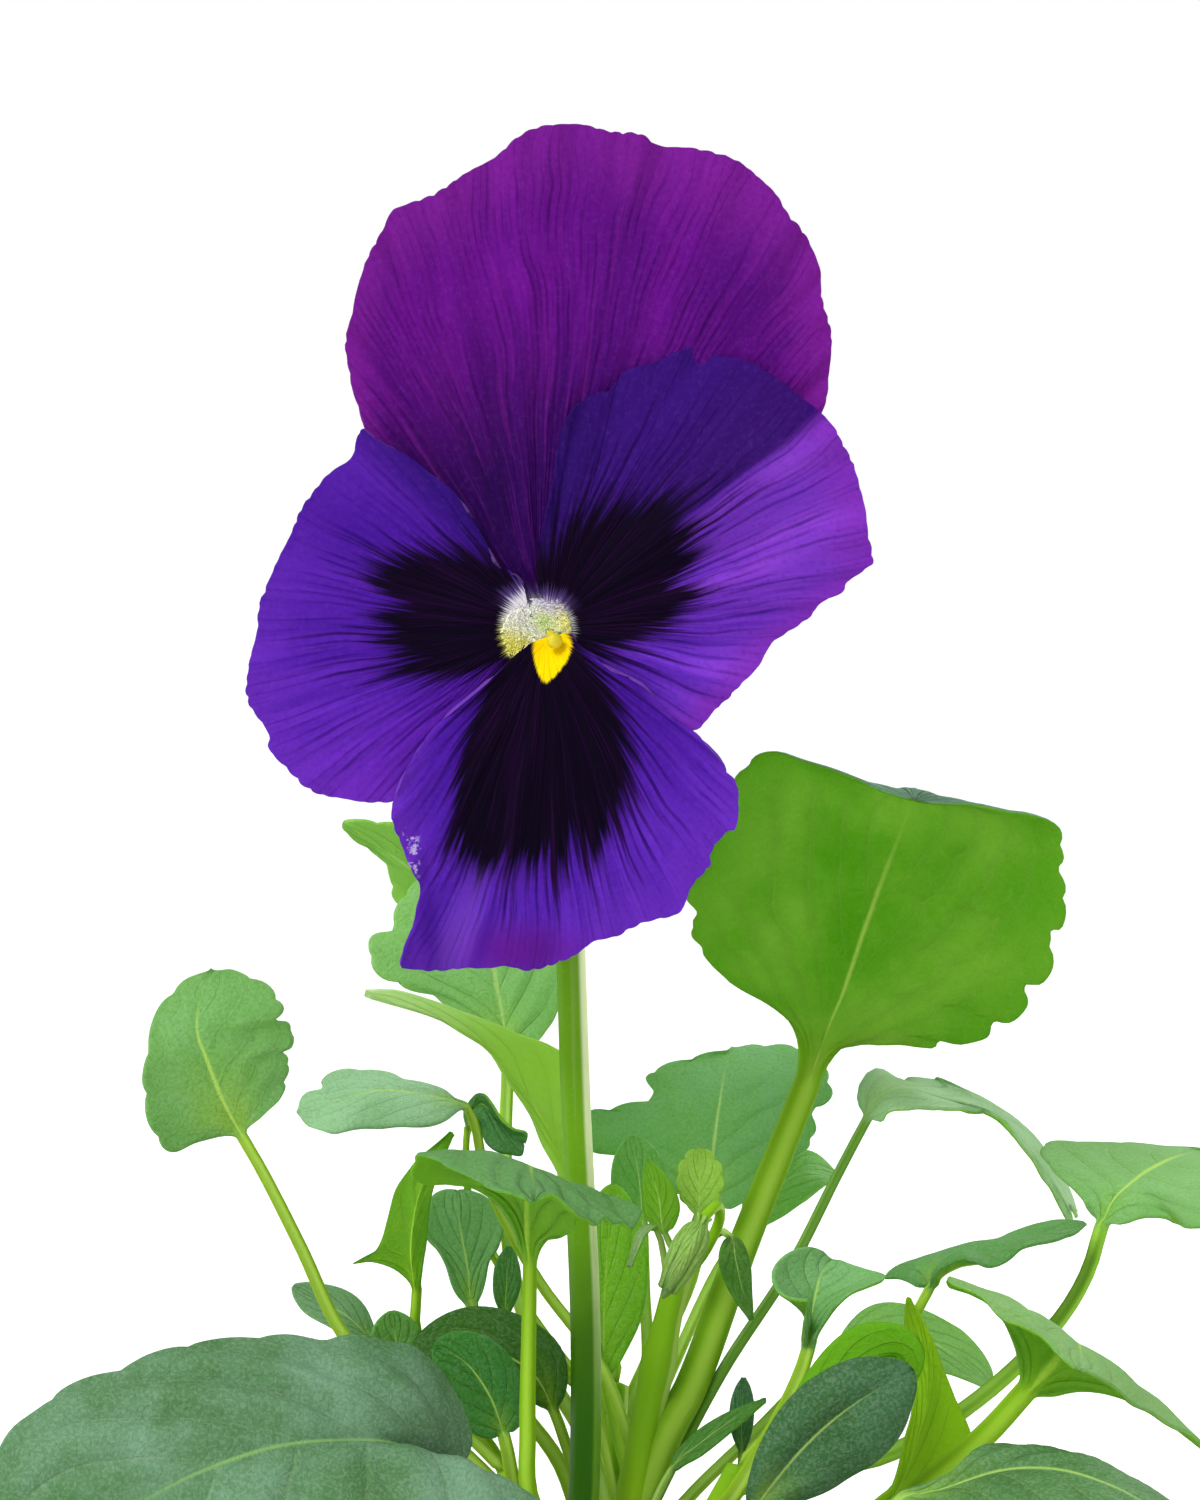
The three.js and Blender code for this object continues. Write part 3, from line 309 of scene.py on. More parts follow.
bevel = pot.modifiers.new("worn_edges", "BEVEL")
bevel.width = WORN_EDGE / 1000
bevel.segments = 2
bevel.limit_method = "ANGLE"
bevel.angle_limit = math.radians(50)
bpy.ops.object.modifier_apply(modifier="worn_edges")
bpy.ops.object.shade_smooth_by_angle(angle=math.radians(38))

clay, paint = open_material("fired_clay")
point = paint.place()
high = point.part(2)
bands = paint.noise(point.stretched(1, 1, 3.2), 0.055, 4.0)
cloud = paint.noise(point, 0.05, 5.0, 0.6)
grit = paint.noise(point, 1.6, 3.0, 0.7)
tone = cloud.rise(0.3, 0.7).between(rgb(176, 92, 58), rgb(203, 122, 82))
tone = (bands.rise(0.45, 0.8) * 0.5).between(tone, rgb(214, 142, 102))
tone = (grit.rise(0.6, 0.72) * 0.45).between(tone, rgb(132, 66, 44))
tone = (grit.rise(0.4, 0.3) * 0.4).between(tone, rgb(228, 178, 146))
salts = cloud.rise(0.5, 0.68) * high.rise(34, 4) * 0.55
tone = salts.between(tone, rgb(222, 202, 184))
rim_salts = paint.noise(point, 0.11, 4.0).rise(0.55, 0.7) * high.rise(66, 74) * 0.4
tone = rim_salts.between(tone, rgb(220, 186, 160))
damp = high.rise(84, 74) * paint.noise(point, 0.09).rise(0.35, 0.6) * 0.22
tone = damp.between(tone, rgb(120, 62, 42))
rings = paint.noise(point.stretched(0.05, 0.05, 1.6), 1.0, 3.0)
relief = grit * 0.45 + rings * 0.5 + paint.noise(point, 6.0, 2.0) * 0.25
close_material(paint, tone, 0.93 - grit.rise(0.4, 0.8) * 0.12, relief, 0.35,
               fixed={"Specular IOR Level": 0.25})
pot.data.materials.append(clay)
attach(pot, "root")
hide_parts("pot")

# Potting mix: dark peat and composted bark that fills the pot to a finger below the rim, with
# crumbs, bark chips, fibres and white perlite lying loose on it. The surface is one lumpy sheet
# and the loose bits are modelled once each and laid out many times.
MIX_TOP = 82
MIX_MOUND = 1.6
MIX_GAP = 0.35
CRUMBS = 620
BARK_CHIPS = 90
PERLITE_GRAINS = 70


def skin(name, points, layout=None, materials=(), second_from=None):
    """A grid of as many cells is given these places in mm, then closed along its seam and poles.
    Columns from second_from on take the second material."""
    rows, columns = points.shape[0] - 1, points.shape[1] - 1
    piece = begin(bpy.ops.mesh.primitive_grid_add, name, x_subdivisions=columns,
                  y_subdivisions=rows, size=0.01)
    mesh = piece.data
    mesh.name = name
    places = np.ascontiguousarray(points.reshape(-1, 3) / 1000, dtype=np.float32)
    mesh.vertices.foreach_set("co", places.ravel())
    corner = np.empty(len(mesh.loops), np.int32)
    mesh.loops.foreach_get("vertex_index", corner)
    if layout is not None:
        mesh.uv_layers[0].name = "Strip"
        flat = np.ascontiguousarray(layout.reshape(-1, 2)[corner], dtype=np.float32)
        mesh.uv_layers[0].data.foreach_set("uv", flat.ravel())
    for material in materials:
        mesh.materials.append(material)
    if second_from is not None:
        first_column = (corner.reshape(-1, 4) % (columns + 1)).min(axis=1)
        index = (first_column >= second_from).astype(np.int32)
        mesh.polygons.foreach_set("material_index", index)
    mesh.update()
    bpy.ops.object.mode_set(mode="EDIT")
    bpy.ops.mesh.select_all(action="SELECT")
    bpy.ops.mesh.remove_doubles(threshold=1e-6)
    bpy.ops.mesh.normals_make_consistent(inside=False)
    bpy.ops.object.mode_set(mode="OBJECT")
    bpy.ops.object.shade_smooth()
    return piece


def mix_height(x, y):
    """Height of the mix in mm at a place: a low mound, lumps, and a dip where it meets the wall."""
    reach = np.hypot(x, y) / inner_radius(MIX_TOP)
    mound = MIX_MOUND * (1 - reach ** 2)
    lumps = 0.5 * np.sin(x * 0.31 + 1) * np.cos(y * 0.27) + 0.35 * np.sin(x * 0.83 + y * 0.6)
    small = 0.22 * np.sin(x * 1.7 + 2) * np.sin(y * 1.9) + 0.12 * np.sin(x * 3.9 - y * 3.1)
    return MIX_TOP + mound + (lumps + small) * (1 - reach ** 6) * 0.8 - 0.5 * reach ** 8


mix_rng = np.random.default_rng(11)
turns = np.linspace(0, 2 * np.pi, 97)
reaches = np.linspace(0, 1, 41) ** 0.8 * (inner_radius(MIX_TOP) - MIX_GAP)
top_x = reaches[:, None] * np.cos(turns)[None, :]
top_y = reaches[:, None] * np.sin(turns)[None, :]
top = np.stack([top_x, top_y, mix_height(top_x, top_y)], axis=-1)
sides = []
for height in (72, 50, 28, POT_FLOOR + 2):
    radius = inner_radius(height) - MIX_GAP
    sides.append(np.stack([radius * np.cos(turns), radius * np.sin(turns),
                           np.full_like(turns, height)], axis=-1))
foot_ring = sides[-1] * [0.96, 0.96, 1] + [0, 0, -1.7]
centre = np.tile([0.0, 0.0, POT_FLOOR + 0.3], (len(turns), 1))
body = np.concatenate([top, np.stack(sides + [foot_ring, centre])])

peat, paint = open_material("peat")
point = paint.place()
crumb = paint.noise(point, 0.9, 5.0, 0.65)
fine = paint.noise(point, 3.5, 3.0, 0.7)
tone = crumb.rise(0.35, 0.7).between(rgb(38, 26, 19), rgb(88, 62, 44))
tone = (fine.rise(0.6, 0.7) * 0.7).between(tone, rgb(128, 98, 70))
tone = paint.noise(point, 0.08, 2.0).rise(0.45, 0.65).between(tone, rgb(46, 33, 26))
close_material(paint, tone, 0.95, crumb + fine * 0.5, 1.2, fixed={"Specular IOR Level": 0.2})
potting_mix = skin("mix_body", body, materials=[peat])
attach(potting_mix, "root")
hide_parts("potting_mix")


def turned(angles):
    """A frame of three axes for each row of three angles."""
    frames = []
    for a, b, c in angles:
        spin = np.array([[math.cos(a), -math.sin(a), 0], [math.sin(a), math.cos(a), 0], [0, 0, 1]])
        tip = np.array([[1, 0, 0], [0, math.cos(b), -math.sin(b)], [0, math.sin(b), math.cos(b)]])
        roll = np.array([[math.cos(c), 0, math.sin(c)], [0, 1, 0], [-math.sin(c), 0, math.cos(c)]])
        frames.append(spin @ tip @ roll)
    return frames


def join_to(main, others):
    keep_active(main)
    for piece in others:
        piece.select_set(True)
    bpy.ops.object.join()
    return main


def lay_out(name, seed_piece, places, frames, sizes, material):
    """Copies of one small piece, each turned, sized and set down, joined into one piece."""
    mesh = seed_piece.data
    start = np.empty(len(mesh.vertices) * 3, np.float32)
    mesh.vertices.foreach_get("co", start)
    start = start.reshape(-1, 3)
    copies = []
    for place, axes, size in zip(places, frames, sizes):
        copy = seed_piece.copy()
        copy.data = mesh.copy()
        bpy.context.collection.objects.link(copy)
        moved = (start * size) @ axes.T + np.array(place) / 1000
        copy.data.vertices.foreach_set("co", moved.astype(np.float32).ravel())
        copies.append(copy)
    joined = join_to(copies[0], copies)
    joined.name = name
    joined.data.name = name
    joined.data.materials.clear()
    joined.data.materials.append(material)
    bpy.data.objects.remove(seed_piece)
    return joined


def scatter(count, least, most, sink):
    """Random places on the mix, clear of the main stem and of the wall."""
    angle = mix_rng.uniform(0, 2 * np.pi, count)
    reach = np.sqrt(mix_rng.uniform(5 ** 2, (inner_radius(MIX_TOP) - 2.2) ** 2, count))
    x, y = reach * np.cos(angle), reach * np.sin(angle)
    size = least + (most - least) * mix_rng.random(count) ** 2
    return np.stack([x, y, mix_height(x, y) + size * sink], axis=-1), size


def rough_ball(faces, stretch, unevenness):
    """A small ball with its corners pushed about, 1 mm in radius before it is stretched."""
    ball = begin(bpy.ops.mesh.primitive_ico_sphere_add, "loose_bit", subdivisions=faces,
                 radius=0.001)
    count = len(ball.data.vertices)
    place = np.empty(count * 3, np.float32)
    ball.data.vertices.foreach_get("co", place)
    place = place.reshape(-1, 3) * (1 + unevenness * mix_rng.uniform(-1, 1, (count, 1)))
    ball.data.vertices.foreach_set("co", (place * stretch).astype(np.float32).ravel())
    return ball


crumb_paint, paint = open_material("crumbs")
point = paint.place()
grain = paint.noise(point, 2.4, 4.0, 0.7)
each = paint.noise(point, 0.55, 0.0)
tone = each.rise(0.3, 0.7).between(rgb(42, 29, 22), rgb(96, 68, 47))
tone = (grain.rise(0.5, 0.75) * 0.5).between(tone, rgb(120, 90, 64))
close_material(paint, tone, 0.95, grain, 0.3, fixed={"Specular IOR Level": 0.2})
places, size = scatter(CRUMBS, 0.5, 1.7, 0.25)
crumbs = lay_out("mix_crumbs", rough_ball(1, (1, 0.9, 0.75), 0.28), places,
                 turned(mix_rng.uniform(0, 6.28, (CRUMBS, 3))), size, crumb_paint)

bark_paint, paint = open_material("bark")
point = paint.place()
each = paint.noise(point, 0.35, 0.0)
grain = paint.noise(point.stretched(3, 0.5, 3), 1.5, 3.0)
tone = each.rise(0.3, 0.7).between(rgb(74, 44, 28), rgb(146, 98, 62))
tone = (grain.rise(0.5, 0.7) * 0.6).between(tone, rgb(58, 36, 24))
close_material(paint, tone, 0.85, grain, 0.3, fixed={"Specular IOR Level": 0.3})
places, size = scatter(BARK_CHIPS, 1.2, 3.2, 0.1)
flat_turns = mix_rng.uniform(-0.35, 0.35, (BARK_CHIPS, 3))
flat_turns[:, 0] = mix_rng.uniform(0, 6.28, BARK_CHIPS)
bark = lay_out("mix_bark", rough_ball(1, (1.5, 0.7, 0.22), 0.22), places, turned(flat_turns), size,
               bark_paint)

perlite_paint, paint = open_material("perlite")
pores = paint.noise(paint.place(), 2.8, 3.0, 0.6)
tone = pores.rise(0.35, 0.6).between(rgb(190, 184, 172), rgb(236, 233, 226))
close_material(paint, tone, 0.9, pores, 0.25)
places, size = scatter(PERLITE_GRAINS, 0.5, 1.35, 0.3)
perlite = lay_out("mix_perlite", rough_ball(2, (1, 0.95, 0.85), 0.12), places,
                  turned(mix_rng.uniform(0, 6.28, (PERLITE_GRAINS, 3))), size, perlite_paint)
for piece in (crumbs, bark, perlite):
    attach(piece, "root")

# Stems: the main stem stands in the mix and four side shoots branch from it low down. They are
# smooth, fleshy and a little angular, yellow-green where the clump shades them. Each one is a
# grid wrapped round its line, thicker at the joints where leaves grow, with a pale highlight
# painted up its right side.
STEMS = {
    "main_stem": ([2.7, 1.2], [(0, 0, 74), (0, 0, 90), (2, 0, 102), (4, 0.5, 112), (5.5, 2, 120),
                               (7, 3, 127), (9, 4, 135)]),
    "shoot_left": ([1.7, 1.1], [(0, 0, 83), (-4.6, 0.4, 91), (-7.2, -2.6, 101), (-9.5, -5, 113)]),
    "shoot_right": ([1.9, 1.1], [(0, 0, 87), (5.4, -3.4, 96), (9.5, -6, 105), (14, -7, 114)]),
    "shoot_back": ([1.8, 1.1], [(0, 0, 85), (0, 8, 94), (1, 14, 104), (2, 19, 117)]),
    "shoot_front": ([1.8, 1.2], [(0, 0, 82), (-0.8, -9, 91), (-1, -15, 100.5), (-1, -19, 110)]),
}


class Line:
    """A smooth curve through points in mm, measured by the distance along it."""

    def __init__(self, points, steps=30):
        p = np.array(points, float)
        p = np.vstack([2 * p[0] - p[1], p, 2 * p[-1] - p[-2]])
        t = np.linspace(0, 1, steps, endpoint=False)[:, None]
        parts = []
        for k in range(1, len(p) - 2):
            a, b, c = [max(np.linalg.norm(p[j + 1] - p[j]) ** 0.5, 1e-4) for j in (k - 1, k, k + 1)]
            before, here, after, beyond = p[k - 1:k + 3]
            step = (after - here) / b
            out = ((here - before) / a - (after - before) / (a + b) + step) * b
            into = (step - (beyond - here) / (b + c) + (beyond - after) / c) * b
            bend = -3 * here + 3 * after - 2 * out - into
            turn = 2 * here - 2 * after + out + into
            parts.append(here + out * t + bend * t ** 2 + turn * t ** 3)
        self.places = np.vstack(parts + [p[-2][None, :]])
        steps_long = np.linalg.norm(np.diff(self.places, axis=0), axis=1)
        self.run = np.concatenate([[0], np.cumsum(steps_long)])
        self.knots = self.run[::steps]
        self.length = self.run[-1]
        slope = np.gradient(self.places, self.run, axis=0)
        self.headings = slope / np.linalg.norm(slope, axis=1)[:, None]

    def at(self, distance):
        place, heading = [
            np.stack([np.interp(distance, self.run, table[:, k]) for k in range(3)], axis=-1)
            for table in (self.places, self.headings)]
        return place, heading / np.linalg.norm(heading, axis=-1, keepdims=True)


def unit(vectors):
    return vectors / np.maximum(np.linalg.norm(vectors, axis=-1, keepdims=True), 1e-9)


def soft_step(value, low, high):
    t = np.clip((value - low) / (high - low), 0, 1)
    return t * t * (3 - 2 * t)


def tube_points(line, radius, rows, sides, ridge=np.ones_like):
    """Rings along a line. radius(share) is in mm and ridge(turn) scales it round the ring."""
    share = np.linspace(0, 1, rows + 1)
    place, heading = line.at(share * line.length)
    across = unit([1, 0, 0] - heading * heading[:, :1])
    front = np.cross(across, heading)
    turn = np.linspace(0, 2 * np.pi, sides + 1)
    turn[-1] = 0
    reach = np.array([radius(s) for s in share])[:, None] * ridge(turn)[None, :]
    points = (place[:, None, :] + (reach * np.cos(turn))[:, :, None] * across[:, None, :]
              + (reach * np.sin(turn))[:, :, None] * front[:, None, :])
    tip = place[-1:] + heading[-1:] * reach[-1, 0] * 0.4
    first, last = [np.repeat(end[:, None, :], sides + 1, axis=1) for end in (place[:1], tip)]
    points = np.concatenate([first, points, last])
    layout = np.stack(np.meshgrid(np.linspace(0, 1, sides + 1),
                                  np.linspace(0, line.length, len(points))), axis=-1)
    return points, layout


def stem_material(name, low, high, pale_low, pale_high, highlight_to, low_at, high_at):
    """low and high are its colours at two heights; the pale ones are those of a painted highlight,
    a strip that runs up its right side, highlight_to of the way round, and of faint streaks and
    flecks."""
    material, paint = open_material(name)
    turn, run = paint.strip()
    point = paint.place()
    streak = paint.noise(paint.spread(turn * 9, run * 0.02), 1.0, 2.0)
    cloud = paint.noise(point, 0.12, 3.0)
    level = (point.part(2) + cloud * 14 - 7).rise(low_at, high_at)
    tone = level.between(low, high)
    pale = level.between(pale_low, pale_high)
    tone = (streak.rise(0.5, 0.8) * 0.1).between(tone, pale)
    # Painted highlight: a pale strip that runs up the right side of the stem or stalk.
    strip = turn.rise(highlight_to + 0.025, highlight_to - 0.02) + turn.rise(0.93, 0.96)
    tone = (strip * 0.95).between(tone, pale)
    fleck = paint.noise(point, 2.5, 3.0)
    tone = (fleck.rise(0.55, 0.75) * 0.04).between(tone, pale)
    close_material(paint, tone, 0.42 + streak * 0.16, streak * 0.3 + fleck * 0.4, 0.08,
                   through=rgb(130, 190, 20), share=0.16, fixed={"Specular IOR Level": 0.12})
    return material


# The pale colours are those of the highlight painted up the stems' right side.
stem_green = stem_material("stem_green", rgb(160, 204, 30), rgb(132, 188, 24), rgb(190, 222, 90),
                           rgb(186, 220, 100), 0.12, 92, 118)
STEM_LINES = {}


def stem_ridge(turn):
    return 1 + 0.05 * np.cos(4 * turn + 0.6)


for name, (radii, places) in STEMS.items():
    line = Line(places)
    STEM_LINES[name] = line

    def stem_radius(share, foot=radii[0], top=radii[1]):
        joints = 0.15 * foot * math.exp(-((share - 0.45) / 0.04) ** 2)
        joints += 0.12 * foot * math.exp(-((share - 0.8) / 0.04) ** 2)
        return foot + (top - foot) * share + joints

    stem = skin(name + "_grown", *tube_points(line, stem_radius, 60, 28, stem_ridge), [stem_green])
    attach(stem, "root")
    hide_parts(name)

# Leaves of the front: broad, dull blue-green blades on thick stalks, nearest to the eye and the
# darkest. A blade and its stalk are one skin: a grid wrapped round the stalk and pressed flat in
# the blade, with a furrow above the midrib, a keel below it and rounded teeth round the margin.
BLADE_SHAPES = {
    "ovate": [(0, 0.06), (-0.03, 0.4), (0.04, 0.75), (0.2, 0.99), (0.42, 1), (0.65, 0.86),
              (0.85, 0.52), (0.96, 0.24), (1, 0.04)],
    "broad": [(0, 0.06), (-0.02, 0.42), (0.06, 0.75), (0.2, 0.93), (0.42, 1), (0.65, 0.97),
              (0.82, 0.82), (0.94, 0.5), (1, 0.05)],
    "round": [(0, 0.08), (0.02, 0.4), (0.12, 0.75), (0.32, 0.98), (0.52, 1), (0.72, 0.86),
              (0.88, 0.58), (0.97, 0.28), (1, 0.04)],
    "oval": [(0, 0.12), (0.12, 0.48), (0.3, 0.86), (0.5, 1), (0.7, 0.92), (0.87, 0.62),
             (0.97, 0.28), (1, 0.05)],
    "arrow": [(0, 0.1), (-0.1, 0.6), (-0.1, 1), (0.08, 0.74), (0.32, 0.42), (0.7, 0.28), (1, 0.06)],
    "lance": [(0, 0.35), (0.14, 0.75), (0.34, 1), (0.6, 0.84), (0.84, 0.45), (1, 0.06)],
}
BLADE_THICKNESS = 0.42
BLADE_JOIN = 0.08
TEETH_START = 0.16


def rim_through(points, share):
    """Places along a smooth line through flat points, 0 at the first and 1 at the last."""
    p = np.array(points, float)
    spot = np.clip(share, 0, 1) * (len(p) - 1)
    k = np.minimum(spot.astype(int), len(p) - 2)
    t = (spot - k)[:, None]
    before, here = p[np.maximum(k - 1, 0)], p[k]
    after, beyond = p[k + 1], p[np.minimum(k + 2, len(p) - 1)]
    out, into = (after - before) / 2, (beyond - here) / 2
    return (here + out * t + (3 * (after - here) - 2 * out - into) * t ** 2
            + (2 * (here - after) + out + into) * t ** 3)


def run_along(places):
    """The distance along a row of places, 0 at the first."""
    return np.concatenate([[0], np.cumsum(np.linalg.norm(np.diff(places, axis=0), axis=1))])


def scallops(rim, teeth, depth):
    """How far round teeth stand out all along a margin, in mm. The foot of a blade has none."""
    far = run_along(rim)
    far = far / far[-1]
    beat = np.clip((far - TEETH_START) / (1 - TEETH_START), 0, 1)
    tooth = np.abs(np.sin(np.pi * teeth * beat)) ** 0.62 - 0.62 if teeth else 0 * beat
    return (depth * tooth * soft_step(far, TEETH_START - 0.05, TEETH_START + 0.12)
            * (1 - 0.5 * soft_step(far, 0.93, 1)))[:, None]


def half_margin(edge, half, length, share, teeth, depth):
    """One margin of a blade: where it runs, in shares of the length and in mm, and how far the
    teeth push it out along and across."""
    rim = rim_through(edge, share)
    along, wide = rim[:, 0], np.maximum(rim[:, 1] * half, 0.3)
    run = np.stack([along * length, wide], axis=-1)
    step = np.gradient(run, axis=0)
    outward = unit(np.stack([-step[:, 1], step[:, 0]], axis=-1))
    return along, wide, scallops(run, teeth, depth) * outward


def lined_blade(leaf, place, up, share, ratio, half_columns, quilt, crest):
    """A blade whose margins are lines of places, for leaves that fold or stand as funnels."""
    across = 2 * half_columns + 1
    sheet = np.zeros((len(share), across, 3))
    for right in (0, 1):
        columns = ratio[:across] >= 0 if right else ratio[:across] < 0
        size = np.abs(ratio[:across][columns])[None, :, None]
        rim = rim_through(leaf["right_line" if right else "left_line"], share)
        reach = rim - place
        push = unit(reach) * scallops(rim, leaf["teeth"][right], leaf["teeth"][2])
        strip = reach[:, None] * size + push[:, None] * size ** 7
        arch = np.sin(np.pi * size) * up[:, None] * leaf["bow"][right]
        swell = soft_step(share, 0, 0.3) * (1 - soft_step(share, 0.6, 1))
        sheet[:, columns] = place[:, None] + strip + arch * swell[:, None, None]
    normal = unit(np.cross(np.gradient(sheet, axis=1), np.gradient(sheet, axis=0)))
    normal[-1] = normal[-2]
    for _ in range(2):
        normal[1:-1] = unit(normal[:-2] + 2 * normal[1:-1] + normal[2:])
    both = np.concatenate([sheet, sheet[:, ::-1][:, 1:]], axis=1)
    normal = np.concatenate([normal, normal[:, ::-1][:, 1:]], axis=1)
    level = np.where(np.arange(both.shape[1]) < across, 1.0, -1.0)[None, :]
    flat = np.where(np.abs(ratio) > 0.999, 0, BLADE_THICKNESS / 2)[None, :] * np.ones_like(quilt)
    flat[-1] = 0
    lift = np.where(level > 0, flat - 0.3 * crest, -flat - 0.85 * crest)
    lift = quilt * (1 - np.abs(ratio) ** 4) + lift
    return both + normal * lift[:, :, None]


def leaf_points(leaf, start, half_columns, rows):
    """The places of a leaf's skin in mm, from the foot of its stalk to its tip, and its map."""
    spine = Line([start] + leaf["stalk"] + leaf["rib"])
    foot = spine.knots[len(leaf["stalk"]) + 1]
    length = spine.length - foot
    stalk_rows = int(np.clip(foot / 1.6, 3, 30))
    share = np.linspace(0, 1, rows + 1)
    along = share ** 1.1
    distance = np.concatenate([np.linspace(0, foot, stalk_rows + 1)[:-1], foot + along * length])
    place, heading = spine.at(distance)
    grown = np.clip((distance - foot) / length, 0, 1)[:, None]
    look = np.array(leaf["face"][0]) * (1 - grown) + np.array(leaf["face"][-1]) * grown
    up = unit(look - heading * np.sum(look * heading, axis=1)[:, None])
    side = np.cross(heading, up)

    lane = np.linspace(-1, 1, 2 * half_columns + 1)
    lanes = np.concatenate([lane, lane[::-1][1:]])
    level = np.where(np.arange(len(lanes)) <= 2 * half_columns, 1.0, -1.0)
    rim = 0.2 / max(leaf["left"], leaf["right"])
    steps = np.linspace(0, 1, half_columns + 1)
    spread = steps ** 1.3 * (1 - 2.6 * rim) / steps[-3] ** 1.3
    spread[-2:] = 1 - rim, 1
    ratio = np.sign(lanes) * np.interp(np.abs(lanes), steps, spread)
    size = np.abs(ratio)[None, :]
    thick = leaf["thick"]

    stalk_share = np.clip(distance / max(foot, 1e-6), 0, 1)
    radius = (thick * (1.15 - 0.3 * stalk_share))[:, None]
    stalk_x = radius * np.sin(np.pi * lanes / 2)[None, :]
    roof = np.where(level > 0, 0.72, 1.0) * level * np.cos(np.pi * lanes / 2)
    channel = np.where(level > 0, 0.3, 0.0) * np.exp(-(lanes / 0.3) ** 2)
    stalk_y = radius * (roof - channel)[None, :]

    shape = BLADE_SHAPES[leaf["shape"]]
    teeth = leaf["teeth"]
    blade = np.zeros((len(distance), 1))
    blade[stalk_rows:, 0] = soft_step(share, 0, BLADE_JOIN)
    wide = np.zeros((len(distance), len(lanes)))
    slide = np.zeros_like(wide)
    push_along = np.zeros_like(wide)
    push_out = np.zeros_like(wide)
    bend = np.zeros(len(lanes))
    half = np.ones(len(lanes))
    for right in (0, 1):
        columns = ratio >= 0 if right else ratio < 0
        half_width = leaf["right"] if right else leaf["left"]
        edge = leaf.get("right_edge" if right else "left_edge", shape)
        rim_along, rim_wide, push = half_margin(edge, half_width, length, share, teeth[right],
                                                teeth[2])
        wide[stalk_rows:, columns] = rim_wide[:, None]
        slide[stalk_rows:, columns] = ((rim_along - along) * length)[:, None]
        push_along[stalk_rows:, columns] = push[:, :1]
        push_out[stalk_rows:, columns] = push[:, 1:]
        bend[columns] = math.radians(leaf["cup"][right])
        half[columns] = half_width
    reach = wide * size + push_out * size ** 7
    lean = bend[None, :] * (reach / half[None, :]) * 0.5
    row_share = np.zeros((len(distance), 1))
    row_share[stalk_rows:, 0] = share
    ripple = leaf["wave"] * size ** 2 * np.sin(9 * row_share + 2 * np.sign(ratio)[None, :])
    swell = np.sin(2 * np.pi * leaf["veins"] * (row_share - 0.45 * size ** 0.9) + 1.2)
    swell = swell * np.sin(np.pi * np.clip(size, 0, 1)) * np.sin(np.pi * np.clip(row_share, 0, 1))
    quilt = leaf["puff"] * half.max() * swell
    flutter = 0.16 * teeth[2] * size ** 5 * np.sin(31 * row_share + 3 * np.sign(ratio)[None, :])
    edge_round = np.where(size > 0.999, 0, 1)
    last = np.ones((len(distance), 1))
    last[-1] = 0
    height = BLADE_THICKNESS / 2 * edge_round * last
    keel_width = thick * 0.85 * (1 - 0.6 * grown) + 0.1
    crest = np.exp(-(reach / keel_width) ** 2) * thick * (1 - grown) ** 0.9 * last
    rise = np.where(level[None, :] > 0, height - 0.3 * crest, -height - 0.85 * crest)
    blade_x = np.sign(ratio)[None, :] * reach * np.cos(lean)
    blade_y = reach * np.sin(lean) + ripple + quilt + flutter + rise
    blade_z = slide * size + push_along * size ** 7

    x = (1 - blade) * stalk_x + blade * blade_x
    y = (1 - blade) * stalk_y + blade * blade_y
    z = blade * blade_z
    points = (place[:, None, :] + x[:, :, None] * side[:, None, :] + y[:, :, None] * up[:, None, :]
              + z[:, :, None] * heading[:, None, :])
    if "left_line" in leaf:
        place, side, up, stalk_x, stalk_y, grow, quilt, crest = [
            table[stalk_rows:]
            for table in (place, side, up, stalk_x, stalk_y, blade, quilt, crest)]
        blade_part = lined_blade(leaf, place, up, share, ratio, half_columns, quilt, crest)
        round_part = (place[:, None] + stalk_x[:, :, None] * side[:, None]
                      + stalk_y[:, :, None] * up[:, None])
        points[stalk_rows:] = (1 - grow[:, :, None]) * round_part + grow[:, :, None] * blade_part
    points[0] = start
    run = np.where(distance < foot, (distance - foot) / 20, grown[:, 0])
    layout = np.stack(np.broadcast_arrays(ratio[None, :], run[:, None]), axis=-1).copy()
    return points, layout


USUAL_LOOK = dict(climb=0.45, rib_width=0.05, rib_foot=1, lee=0, vein=1, quilting=0.13,
                  foot_to=0.34, foot_wide=0.75, stalk_to=0.05)


